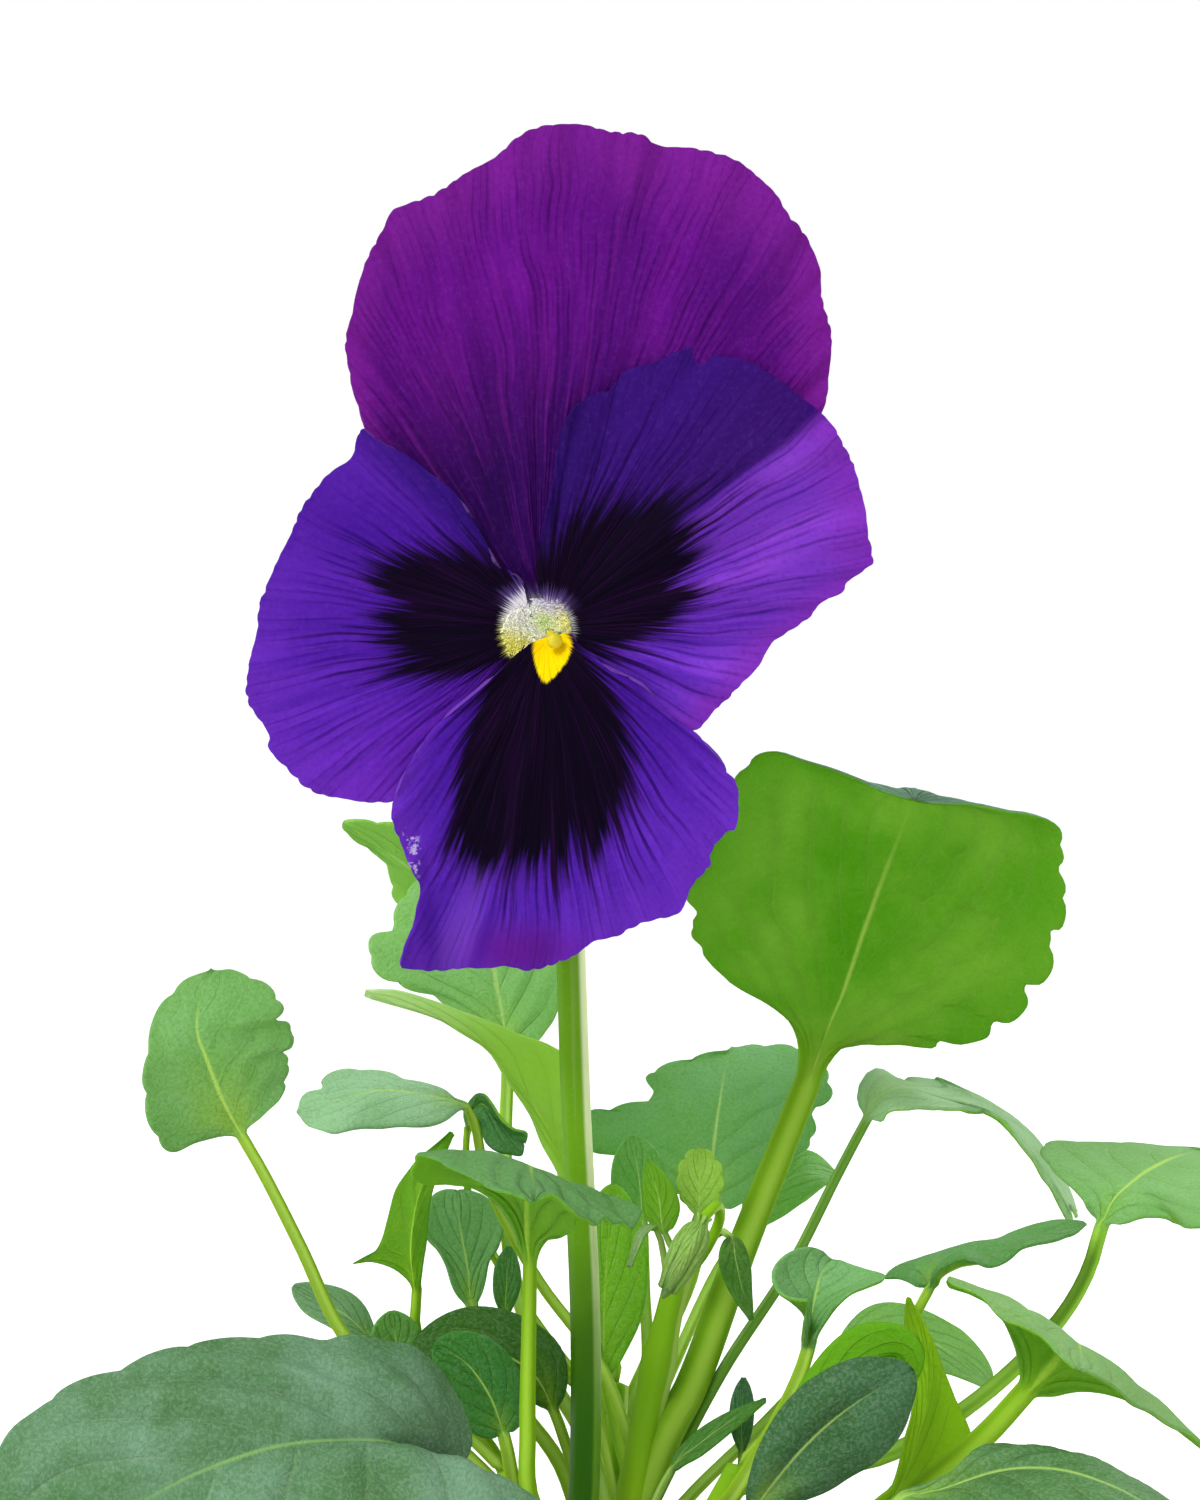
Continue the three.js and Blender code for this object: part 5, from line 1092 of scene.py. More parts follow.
# Leaves seen from below with the light coming through them: clear bright green, with a raised
# pale midrib and side veins. Two of them stand like funnels, with the rim folded to the front.
UPRIGHT_LEAVES = [
    dict(name="leaf_tall_right", on="main_stem", at=0.5, thick=1.7, puff=0.02, left=19.5,
        right=19, teeth=(9, 8, 0.9), bow=(-0.9, -0.9), stalk=[(7, 1.5, 116), (9.5, 4, 120),
        (15, 8, 134), (20, 11, 146)], rib=[(21.9, 11.8, 150.7), (23.6, 12.2, 155.6),
        (25.8, 12.8, 160.7), (27.7, 13.4, 166.2), (30, 13.8, 172.6), (31.7, 13.6, 177.1),
        (32.8, 12.6, 180.5), (33.2, 10.6, 182.5), (33.1, 8.2, 181.4)], face=[(-0.05, 0.95, 0.1),
        (0.12, -0.1, 0.95)], look=dict(under=(142, 200, 60), under_edge=(88, 164, 8),
        base=(112, 168, 26), rib=(172, 208, 84), upper=(140, 182, 158),
        # Painted shade darkens the left half of its blade.
        upper_edge=(128, 172, 140), climb=1, rib_width=0.032, lee=0.3, quilting=0.4, rib_foot=3.5,
        vein=0.35, stalk=(134, 186, 20), stalk_to=0.2), left_line=[(23.1, 11.8, 150.1),
        (23.8, 12, 152.4), (24.9, 12.2, 154.3), (26.6, 12.4, 155.6), (28.5, 12.4, 156.3),
        (30.5, 12.6, 156.1), (32.7, 12.6, 155.7), (34.6, 12.6, 154.9), (36, 12.6, 154.9),
        (36.7, 12.8, 155.5), (38.1, 12.8, 155.2), (39.6, 12.8, 155.4), (41.2, 12.8, 155.8),
        (42, 12.8, 156.6), (42.2, 13, 157.5), (43.4, 13, 157.4), (44.4, 13, 158.1),
        (45.5, 13, 159.3), (45.7, 13, 160.4), (45.5, 13, 161.4), (46.7, 13, 161.5),
        (47.6, 13.2, 162.5), (48.2, 13.2, 163.7), (48.4, 13.2, 165.3), (47.8, 13.2, 167.2),
        (48.8, 13.4, 167.4), (49.5, 13.4, 168.9), (49.8, 13.4, 170.5), (49.4, 13.4, 172.2),
        (48.5, 13.4, 173.8), (49.3, 13.4, 174.8), (49.4, 13.2, 176.3), (48.9, 12.8, 177.8),
        (47.7, 11.8, 178.9), (45.5, 10.8, 179.8), (43.1, 10, 180.1), (40.1, 9.4, 180.8),
        (36.7, 9, 181.1), (34.2, 8.6, 181.2), (33.3, 8.2, 181.4)], right_line=[(21, 11.8, 150.5),
        (21.2, 12.2, 153.5), (21, 12.2, 155.8), (20, 12.4, 158), (17.9, 12.6, 159.6),
        (15.4, 12.8, 160.9), (13, 13, 162.4), (11.4, 13, 164.3), (11.1, 13, 165.4),
        (9.8, 13.2, 166.6), (9.6, 13.2, 168.1), (10.5, 13.2, 169.1), (9.5, 13.4, 170.5),
        (9.7, 13.4, 172), (11, 13.4, 174.1), (11.9, 13.4, 176), (13, 13.4, 179),
        (14.1, 13.2, 182.2), (15, 12.8, 184.4), (16.5, 11.6, 185.8), (19, 10.4, 186.3),
        (22.4, 9.6, 185.2), (25.3, 9, 184.3), (28.4, 8.6, 183), (31.1, 8.4, 182),
        (32.9, 8.2, 181.4)]),
    dict(name="leaf_left_upright", on="shoot_left", at=0.6, thick=0.65, shape="arrow", left=3.4,
        right=6.6, cup=(60, 8), wave=0.3, stalk=[(-10.5, 0.5, 113), (-15.5, -0.6, 120),
        (-19, -1.4, 127)], rib=[(-18.9, -2, 131.5), (-19.2, -3, 136), (-18.6, -4, 141),
        (-17, -5, 145.6), (-15, -6, 148.4)], face=[(0.35, 0.9, 0), (0.3, 0.8, 0.2)],
        look=dict(under=(112, 170, 36), under_edge=(98, 158, 26)), left_edge=[(0.02, 0.14),
        (0.14, 0.28), (0.26, 0.37), (0.4, 0.37), (0.56, 0.35), (0.72, 0.33), (0.88, 0.23),
        (0.99, 0.05)], right_edge=[(0, 0.1), (0.07, 0.2), (0.13, 0.43), (0.14, 0.76),
        (0.08, 1.06), (0.12, 0.86), (0.16, 0.63), (0.25, 0.49), (0.38, 0.44), (0.52, 0.42),
        (0.62, 0.33), (0.7, 0.23), (0.84, 0.12), (1, 0.05)]),
    dict(name="leaf_centre_funnel", on="shoot_front", at=0.8, thick=0.85, left=11.8, right=11.4,
        teeth=(3, 5, 0.5), bow=(0.25, 0.9), stalk=[(-6.9, -14.6, 112.5), (-7.3, -12, 119),
        (-7.2, -9.8, 129)], rib=[(-7.1, -9.6, 135.5), (-7.1, -9.4, 138), (-7.1, -9.6, 140.5),
        (-7.1, -10.6, 143.3), (-7, -13, 145.8), (-6.9, -17, 146.5), (-6.7, -21.5, 146),
        (-6.5, -25, 145.4), (-6.4, -27, 144.8)], face=[(0.1, 0.97, 0.1), (0.24, 0.1, 0.96)],
        look=dict(upper=(118, 168, 108), upper_edge=(98, 150, 80), under=(140, 200, 70),
        under_edge=(124, 188, 40), quilting=0.6), left_line=[(-6.1, -9.6, 135.7),
        (-5.8, -9.6, 137.2), (-5.1, -10, 138.1), (-3.6, -10.4, 138.5), (-2.5, -11, 139.4),
        (-2.3, -12, 140.6), (-0.8, -13.4, 141.6), (1, -14.6, 142.3), (2.8, -15.8, 142.7),
        (4.1, -17, 142.3), (3.7, -18, 141.5), (3, -19.2, 140.8), (2.2, -20, 141.6),
        (1.2, -20.6, 141.5), (0.6, -21.2, 142.2), (-0.2, -21.8, 141.4), (-1.2, -22.8, 142.3),
        (-2.1, -23.6, 142.8), (-3.4, -24.8, 144.2), (-4.8, -26, 145.4), (-6.1, -27, 144.8)],
        right_line=[(-8, -9.6, 135.7), (-8.5, -9.4, 138), (-9.4, -9.2, 140.2), (-10.9, -9, 142),
        (-13, -9.2, 143.2), (-15.4, -9.8, 143.7), (-17.7, -10.6, 143.9), (-19, -12, 145.2),
        (-18.4, -14.5, 147.3), (-17.1, -17.5, 147.7), (-15.2, -20, 147.2), (-13.1, -22, 146.6),
        (-11, -24, 145.7), (-8.7, -25.6, 145.4), (-6.7, -27, 144.8)]),
    dict(name="leaf_sweeping", on="shoot_back", at=0.62, thick=0.9, shape="ovate", left=6.4,
        right=4, cup=(-10, 60), wave=0.3, stalk=[(-0.6, 13.5, 117), (-2, 12.8, 130)],
        rib=[(-3.6, 12.6, 140), (-6, 11.4, 146.5), (-8.6, 9.4, 151), (-11.5, 6.6, 155.2),
        (-16.5, 1.6, 159.2), (-24, -5, 162.6)], face=[(-0.3, 0.8, -0.3), (-0.1, 0.8, 0.2)],
        # Its near-white tip is painted light, where light comes through it from behind.
        look=dict(under=(176, 226, 84), under_edge=(194, 236, 124), tip=(244, 254, 228),
        glow=(196, 234, 120), glow_share=0.6), left_edge=[(0, 0.1), (0.04, 0.43), (0.14, 0.77),
        (0.23, 1), (0.3, 1.01), (0.38, 0.81), (0.45, 0.52), (0.56, 0.36), (0.68, 0.26),
        (0.79, 0.23), (0.91, 0.2), (1, 0.03)], right_edge=[(0, 0.07), (0.07, 0.18), (0.15, 0.28),
        (0.25, 0.21), (0.35, 0.19), (0.42, 0.17), (0.5, 0.09), (0.62, 0.12), (0.75, 0.05),
        (0.88, 0.01), (1, 0.01)]),
    dict(name="leaf_right_funnel", on="shoot_right", at=0.52, thick=1.35, left=16.5, right=15.5,
        teeth=(5, 6, 0.5), bow=(0.5, 0.7), stalk=[(16, -10.5, 104), (22, -12.5, 106),
        (28, -13.6, 110), (34, -14.4, 115), (39, -14.8, 119.6)], rib=[(42.6, -15, 123.7),
        (44, -15, 125.2), (45.3, -15.6, 126.9), (46.4, -17, 128.7), (47, -20.5, 129.8),
        (46.8, -25, 129.9), (46.3, -29, 129.6), (45.7, -32, 129.4)], face=[(0.1, 0.97, 0.1),
        (0.36, 0.1, 0.92)], look=dict(under=(118, 172, 46), under_edge=(124, 178, 50),
        upper=(144, 192, 112), upper_edge=(126, 176, 90), rib_width=0.035),
        left_line=[(43.6, -15, 122.6), (45.3, -14.8, 123), (48.2, -14.6, 123.5),
        (51.3, -14.6, 123.1), (54.1, -15, 122.2), (57, -15.6, 120.5), (60.3, -16.6, 118.1),
        (60.8, -18, 117.8), (59.3, -20, 119.7), (57.6, -22, 121.1), (56, -24, 122),
        (53.5, -26, 124), (51.6, -27.6, 125.1), (49.7, -29.2, 127), (47.8, -30.8, 128.4),
        (46.1, -32, 129.3)], right_line=[(41.6, -15, 124.4), (41.9, -14.8, 126.2),
        (41.5, -14.4, 128.2), (40.4, -14, 130.5), (38.8, -14.4, 132.5), (36.8, -15, 133.7),
        (34.8, -16, 134.5), (34.4, -17.6, 135.7), (34.8, -19.4, 135.3), (36.2, -21.4, 135.1),
        (37.7, -23.4, 134.5), (39, -25.4, 133.1), (40.9, -27.4, 132.7), (42.7, -29.6, 132),
        (44.2, -31, 130.5), (45.4, -32, 129.6)]),
    dict(name="leaf_right_lime", on="shoot_right", at=0.66, thick=0.9, left=5, right=5,
        cup=(8, 36), wave=0.4, stalk=[(18, -9, 106.5), (24, -9.6, 108.4)], rib=[(29, -10, 111.5),
        (31.8, -10, 117.5), (33, -9.6, 122.5), (32.6, -9, 127.5), (31.3, -8.6, 132)],
        face=[(-0.2, 0.95, 0.1), (-0.2, 0.9, 0.2)], look=dict(under=(140, 194, 20),
        under_edge=(150, 200, 24), glow=(160, 216, 10)), left_edge=[(0.38, 1.03), (0.45, 0.95),
        (0.51, 0.77), (0.57, 0.54), (0.64, 0.34), (0.71, 0.23), (0.78, 0.21), (0.85, 0.14),
        (0.93, 0.11), (0.99, 0.01)], right_edge=[(0.01, 0.01), (0.15, 0.13), (0.3, 0.23),
        (0.42, 0.25), (0.55, 0.26), (0.66, 0.19), (0.77, 0.25), (0.89, 0.24), (1, 0.06)]),
    dict(name="leaf_right_band", on="shoot_front", at=0.44, thick=0.8, left=3.4, right=3.4,
        cup=(0, 10), stalk=[(8, -14.6, 101), (13, -17.5, 109)], rib=[(18, -19.4, 117),
        (22, -20.2, 123.5), (26, -20.4, 127.8), (29.2, -20.2, 128.6), (31.2, -20, 125.8)],
        face=[(0.5, 0.8, -0.1), (0.6, 0.6, 0.5)], look=dict(under=(116, 182, 24),
        under_edge=(100, 168, 22))),
    dict(name="leaf_centre_bright", on="main_stem", at=0.58, thick=0.8, left=3.8, right=4.6,
        cup=(6, 6), stalk=[(1.5, 6.4, 116.5)], rib=[(0.6, 8, 120), (0.4, 8.6, 126.5),
        (0.8, 9.2, 134), (1.4, 10.4, 140.5)], face=[(0.1, -0.95, 0.1), (0.1, -0.95, 0.2)],
        look=dict(upper=(150, 214, 50), upper_edge=(138, 204, 40), under=(150, 214, 50),
        under_edge=(140, 204, 40), quilting=0.03)),
]
grow_leaves(UPRIGHT_LEAVES, dict(
    upper=(96, 150, 92), upper_edge=(86, 140, 80), under=(106, 168, 40), under_edge=(124, 184, 50),
    rib=(168, 208, 70), base=(138, 188, 24), glow=(130, 206, 10), glow_share=0.36))

# Leaves at the back: thin blades on long stalks, pale green in the light from behind, grown as the
# others are and broad enough to close the clump.
BACK_LEAVES = [
    dict(name="leaf_back_left_high", on="shoot_back", at=1, thick=0.8, shape="ovate", left=5.6,
        right=5.6, cup=(10, 20), wave=0.5, teeth=(6, 6, 0.6), stalk=[(-1.2, 24, 128),
        (-6, 27.6, 147), (-10.5, 27.4, 160.5)], rib=[(-13, 27, 166), (-18.5, 25, 171.5),
        (-24, 23, 175.6), (-28, 22, 178)], face=[(0.2, 0.9, 0.3), (0.2, 0.8, 0.5)],
        right_edge=[(-0.01, 0.09), (-0.01, 0.47), (0.07, 0.75), (0.17, 0.96), (0.28, 1.08),
        (0.34, 0.98), (0.42, 1.09), (0.51, 0.85), (0.59, 0.53), (0.72, 0.24), (0.86, 0.16),
        (0.99, 0.01)]),
    dict(name="leaf_back_left_broad", on="main_stem", at=0.45, thick=0.8, shape="round", left=14,
        right=7, cup=(8, 12), wave=0.6, teeth=(7, 5, 0.6), stalk=[(-1, 6, 113), (-6.5, 10, 122),
        (-9.6, 13.5, 132), (-10.2, 16.4, 143)], rib=[(-10, 17.6, 153.5), (-10.6, 18, 158),
        (-11.6, 18.4, 163.5), (-12.6, 19.6, 169), (-13.4, 22, 174)], face=[(0, -0.95, 0.25),
        (0, -0.8, 0.6)], left_edge=[(0.01, 0.06), (0.1, 0.14), (0.21, 0.25), (0.3, 0.42),
        (0.38, 0.6), (0.44, 0.75), (0.51, 0.87), (0.58, 0.93), (0.64, 0.92), (0.69, 0.87),
        (0.72, 0.72), (0.79, 0.67), (0.88, 0.58), (0.95, 0.41), (0.99, 0.23), (1, 0.04)]),
    dict(name="leaf_back_right_broad", on="shoot_back", at=0.84, thick=1, shape="broad",
        left=13.6, right=12.4, cup=(10, 8), wave=0.8, teeth=(7, 8, 0.7), stalk=[(5.5, 22, 119),
        (9.8, 23.5, 128)], rib=[(11.4, 24, 136), (12.2, 24.4, 140), (12.8, 25.5, 144.5),
        (13.6, 28.5, 149), (14.6, 33, 152.2)], face=[(0, -0.9, 0.35), (0, -0.75, 0.65)],
        look=dict(upper=(132, 186, 132), upper_edge=(124, 182, 104), rib_width=0.03, quilting=0.1,
        vein=0.5), left_edge=[(-0.01, 0.06), (0.03, 0.31), (0.1, 0.56), (0.18, 0.81),
        (0.23, 1.01), (0.32, 1.06), (0.4, 1.02), (0.45, 0.82), (0.52, 0.62), (0.6, 0.53),
        (0.67, 0.62), (0.75, 0.51), (0.83, 0.3), (0.94, 0.01)], right_edge=[(-0.01, 0.08),
        (0, 0.22), (0.06, 0.35), (0.14, 0.5), (0.24, 0.62), (0.34, 0.74), (0.39, 0.84),
        (0.48, 0.87), (0.56, 0.82), (0.61, 0.92), (0.7, 0.97), (0.82, 0.91), (0.95, 0.78),
        (1.09, 0.57), (1.09, 0.29), (1.02, 0)]),
    dict(name="leaf_back_right_small", on="shoot_back", at=0.5, shape="round", left=3.1,
        right=3.1, cup=(8, 8), stalk=[(5, 16.5, 118), (4.8, 17.6, 128)], rib=[(4.6, 17.8, 135),
        (4.2, 18, 140), (3.4, 18.6, 144.4)], face=[(0, -0.95, 0.25), (0, -0.95, 0.3)],
        look=dict(upper=(124, 188, 100), upper_edge=(114, 180, 88))),
    dict(name="leaf_back_right_low", on="shoot_back", at=0.72, left=3.6, right=3.6, cup=(-8, -8),
        stalk=[(6.5, 23.5, 115), (13, 30, 127.5)], rib=[(16, 32, 131.5), (19.5, 33, 136),
        (23, 34, 138), (27, 36, 137)], face=[(-0.3, -0.7, 0.6), (0.1, -0.6, 0.8)]),
    dict(name="leaf_right_arching", on="main_stem", at=0.44, left=7.5, right=6.5, cup=(-12, -16),
        wave=0.6, teeth=(6, 6, 0.4), stalk=[(8, 3.4, 113), (13, 4.6, 122), (20, 6, 132.5),
        (25, 7.4, 142)], rib=[(28, 8.2, 147.5), (29.6, 9.2, 150), (32.5, 11, 150.6),
        (37.5, 14, 149), (42.5, 17, 147), (47, 19, 142.5), (51.5, 21, 135)],
        face=[(-0.6, -0.3, 0.8), (0.8, -0.2, 0.5)], look=dict(upper=(180, 216, 170),
        upper_edge=(164, 206, 148), base=(150, 190, 100), stalk=(98, 150, 30),
        rib=(150, 194, 110)), left_edge=[(0.01, 0.26), (0.08, 0.6), (0.39, 1.71), (0.35, 1.13),
        (0.33, 0.9), (0.44, 0.98), (0.44, 0.9), (0.47, 0.4), (0.59, 0.5), (0.88, 1.47),
        (1.07, 1.29), (1.12, 1.1), (1.08, 0.95), (0.96, 0.01)], right_edge=[(-0.03, 0.34),
        (0.02, 0.51), (0.08, 0.82), (0.24, 0.61), (0.46, 0.01), (0.52, 0.23), (0.59, 0.44),
        (0.68, 0.5), (0.78, 0.46), (0.9, 0.04), (1.02, 0.01)]),
    dict(name="leaf_right_pale", on="shoot_back", at=0.22, left=3.6, right=3.2,
        stalk=[(7, 9.5, 104), (17, 9.6, 114.5)], rib=[(25, 9.4, 122.5), (29.5, 9.4, 125.2),
        (35, 10, 123.6), (39.5, 11, 120.8), (42, 12, 118)], face=[(-0.1, -0.7, 0.7),
        (0.4, -0.6, 0.6)], look=dict(upper=(146, 198, 112), upper_edge=(138, 192, 100))),
]
grow_leaves(BACK_LEAVES, dict(
    upper=(154, 208, 132), upper_edge=(142, 200, 108), under=(150, 206, 96),
    under_edge=(152, 208, 92),
    rib=(190, 224, 130), base=(170, 212, 60), glow=(160, 220, 60), glow_share=0.36))

# Young leaf and stipules at the top of the stem: small, soft and lime green, each a short skin that
# starts straight from the stem.
YOUNG_LEAVES = [
    dict(name="leaf_young_top", on="main_stem", at=1, thick=0.5, left=2.6, right=2.6,
        cup=(40, 40), teeth=(4, 4, 0.4), rib=[(10.2, 4.8, 138), (10.4, 5.2, 141.6),
        (10.4, 6, 145)], face=[(0.1, -0.95, 0.1), (0.1, -0.95, 0.2)],
        look=dict(upper=(188, 236, 96), upper_edge=(160, 216, 64), quilting=0.05)),
    dict(name="stipule_top", on="main_stem", at=0.97, thick=0.4, shape="lance", left=2, right=2,
        cup=(10, 10), rib=[(6.8, 3, 136.5), (6.2, 2.6, 140.4), (5, 2.2, 144.4)],
        face=[(0.2, 0.9, 0.1)]),
    dict(name="stipule_hanging", on="main_stem", at=0.93, thick=0.5, shape="lance", left=1.9,
        right=1.9, cup=(-16, -16), stalk=[(12.4, 2, 136.8)], rib=[(13.6, 0.2, 136.6),
        (14, -1.6, 134.4), (14.6, -2.8, 131.6), (15.6, -3.6, 128.6)], face=[(0.2, -0.6, 0.7),
        (0.6, -0.7, 0.2)], look=dict(upper=(92, 152, 50), upper_edge=(80, 142, 40),
        under=(92, 152, 50), under_edge=(80, 142, 40))),
    dict(name="stipule_right", on="main_stem", at=0.35, thick=0.5, shape="lance", left=1.8,
        right=1.8, cup=(10, 10), rib=[(7.4, -3, 113), (10.4, -4.4, 116), (13.4, -5.2, 118.4),
        (17, -6.4, 121)], face=[(-0.4, -0.5, 0.7)], look=dict(upper=(84, 146, 56),
        upper_edge=(72, 134, 46))),
    dict(name="stipule_thin", on="main_stem", at=0.9, thick=0.4, shape="lance", left=0.8,
        right=0.8, rib=[(5.8, 0.6, 137.5), (4.4, -1.6, 137.4), (3, -3, 134)],
        face=[(0.4, 0.6, 0.7), (-0.4, -0.4, 0.5)], look=dict(upper=(150, 186, 120),
        upper_edge=(140, 178, 108))),
]
grow_leaves(YOUNG_LEAVES, dict(
    upper=(124, 190, 40), upper_edge=(112, 180, 32), under=(126, 192, 40),
    under_edge=(118, 184, 34),
    rib=(190, 216, 130), base=(150, 196, 80), glow=(150, 206, 40), glow_share=0.3))

# Flower stalk: one bare, angular, juicy stalk that hooks over at its top and carries the bloom. It
# has five blunt ridges and a pale highlight painted up its right side, and ends in the round
# receptacle.
STALK_RADIUS = 1.5
STALK_LINE = Line([(0, 0, 90), (-2.4, -4.6, 100), (-1.6, -4.6, 112), (-1.5, -2, 128),
                   (-2.5, 1, 150.5), (-3, 3, 165), (-3.5, 5, 180), (-4.5, 6.5, 192), (-5, 7, 199),
                   (-5.2, 5, 204), (-5.4, 0.5, 205), (-5.5, -3, 202.4), (-5.5, -5.4, 200.3)])
# The middle of the bloom's face, which its petals, sepals, spur and throat are measured from.
THROAT = (-5.5, -12, 200)
RECEPTACLE_DEPTH = -6.4
RECEPTACLE_RADIUS = 1.9


def in_throat(across, up, depth):
    return np.array([THROAT[0] + across, THROAT[1] - depth, THROAT[2] + up])


def stalk_ridge(turn):
    five = np.cos(2.5 * (turn + 0.35)) ** 2
    return 0.93 + 0.11 * five ** 2


def stalk_radius(share):
    bract = 0.22 * math.exp(-((share - 0.68) / 0.008) ** 2)
    return STALK_RADIUS * (1.08 - 0.1 * share) + bract


# Its near-white pale colour is the highlight painted up the stalk's right side.
stalk_green = stem_material("stalk_green", rgb(46, 98, 6), rgb(112, 168, 20), rgb(112, 164, 36),
                            rgb(242, 255, 196), 0.16, 116, 152)
stalk_places = tube_points(STALK_LINE, stalk_radius, 150, 40, stalk_ridge)
flower_stalk = skin("flower_stalk_grown", *stalk_places, [stalk_green])
knob_line = Line([in_throat(0, 0.4, -8.4), in_throat(0, 0.2, -6.4), in_throat(0, 0, -4.6)])


def knob_radius(share):
    return RECEPTACLE_RADIUS * math.sqrt(max(1 - (2 * share - 1) ** 2, 0.0)) * 0.98 + 0.02


knob = skin("receptacle_grown", *tube_points(knob_line, knob_radius, 16, 24), [stalk_green])
join_to(flower_stalk, [knob])
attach(flower_stalk, "root")
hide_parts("flower_stalk")

# Petals: five thin velvety sheets, each a fan from the throat to a wavy rim with fine scallops.
# The upper pair are magenta-purple, the side pair and the lower one violet with a black-purple
# blotch that runs out into dark veins. The lower petal carries the spur behind the bloom.
PETAL_THICKNESS = 0.3
FUNNEL_DEPTH = 3.5
FUNNEL_WIDTH = 3.2
RIM_TEETH = 1.55
PETAL_RAYS = 240
PETAL_RINGS = 34


def bloom_depth(x, z):
    """How far the bloom's face stands in front of the throat, in mm, at a place across and up."""
    funnel = -FUNNEL_DEPTH * np.exp(-(x ** 2 + z ** 2) / FUNNEL_WIDTH ** 2)
    top = np.where(z > 0, -5 * (z / 50) ** 2, 0)
    bottom = np.where(z < 0, -2 * (z / 34) ** 2, 0)
    return funnel + top + bottom


def petal_points(petal):
    """The places of a petal's sheet in mm, ray by ray from its base to its rim, and its map."""
    turn = np.linspace(0, 1, PETAL_RAYS + 1)
    share = (0.012 + 0.988 * np.linspace(0, 1, PETAL_RINGS + 1) ** 1.15)[:, None]
    base = np.array(petal["base"], float)
    rim = rim_through(petal["rim"], turn)
    far = run_along(rim)
    tooth = np.abs(np.sin(np.pi * far / RIM_TEETH + 0.7 * np.sin(far * 0.37))) ** 0.7 - 0.6
    tooth = tooth * (0.17 + 0.13 * np.sin(far * 0.61 + 1))
    swing = 0.12 * np.sin(far * 0.9 + petal["seed"]) * np.sin(far * 0.31)
    push = unit(rim - base) * (tooth + swing)[:, None]
    x, z = [base[k] + (rim[:, k] - base[k]) * share + push[:, k] * share ** 9 for k in (0, 1)]
    reach = np.hypot(x, z)
    angle = np.degrees(np.arctan2(z, x)) % 360
    depth = bloom_depth(x, z) + petal["layer"]
    depth = depth + petal["wave"] * share ** 3 * np.sin(2 * np.pi * petal["waves"] * turn)
    frill = 0.55 * np.sin(far * 0.62 + petal["seed"]) + 0.3 * np.sin(far * 1.37 + 2)
    depth = depth + petal["frill"] * frill * share ** 7
    depth = depth + 0.04 * np.sin(far * 5.1) * np.sin(np.pi * share) ** 0.5
    sweep = np.radians(angle) + 0.004 * (reach - 20)
    pleat = np.sin(23 * sweep + petal["seed"]) + 0.7 * np.sin(37 * sweep + 2)
    pleat = pleat + 0.5 * np.sin(61 * sweep)
    depth = depth + 0.13 * pleat * soft_step(reach, 4, 16) * (1 - 0.5 * share ** 6)
    for at, width, lift in petal.get("creases", []):
        away = (angle - at + 180) % 360 - 180
        depth = depth + lift * np.exp(-(away / width) ** 2) * soft_step(reach, 3, 16)
    for low, high, drop in petal.get("bends", []):
        away = (angle - low + 180) % 360 - 180
        past = soft_step(away * np.sign(high - low), 0, abs(high - low))
        depth = depth - drop * past * reach / 25
    for px, pz, width, lift in petal.get("bumps", []):
        depth = depth + lift * np.exp(-((x - px) ** 2 + (z - pz) ** 2) / width ** 2)
    places = np.stack([THROAT[0] + x, THROAT[1] - depth, THROAT[2] + z], axis=-1)
    layout = np.stack(np.broadcast_arrays(turn[None, :], share), axis=-1).copy()
    return places, layout


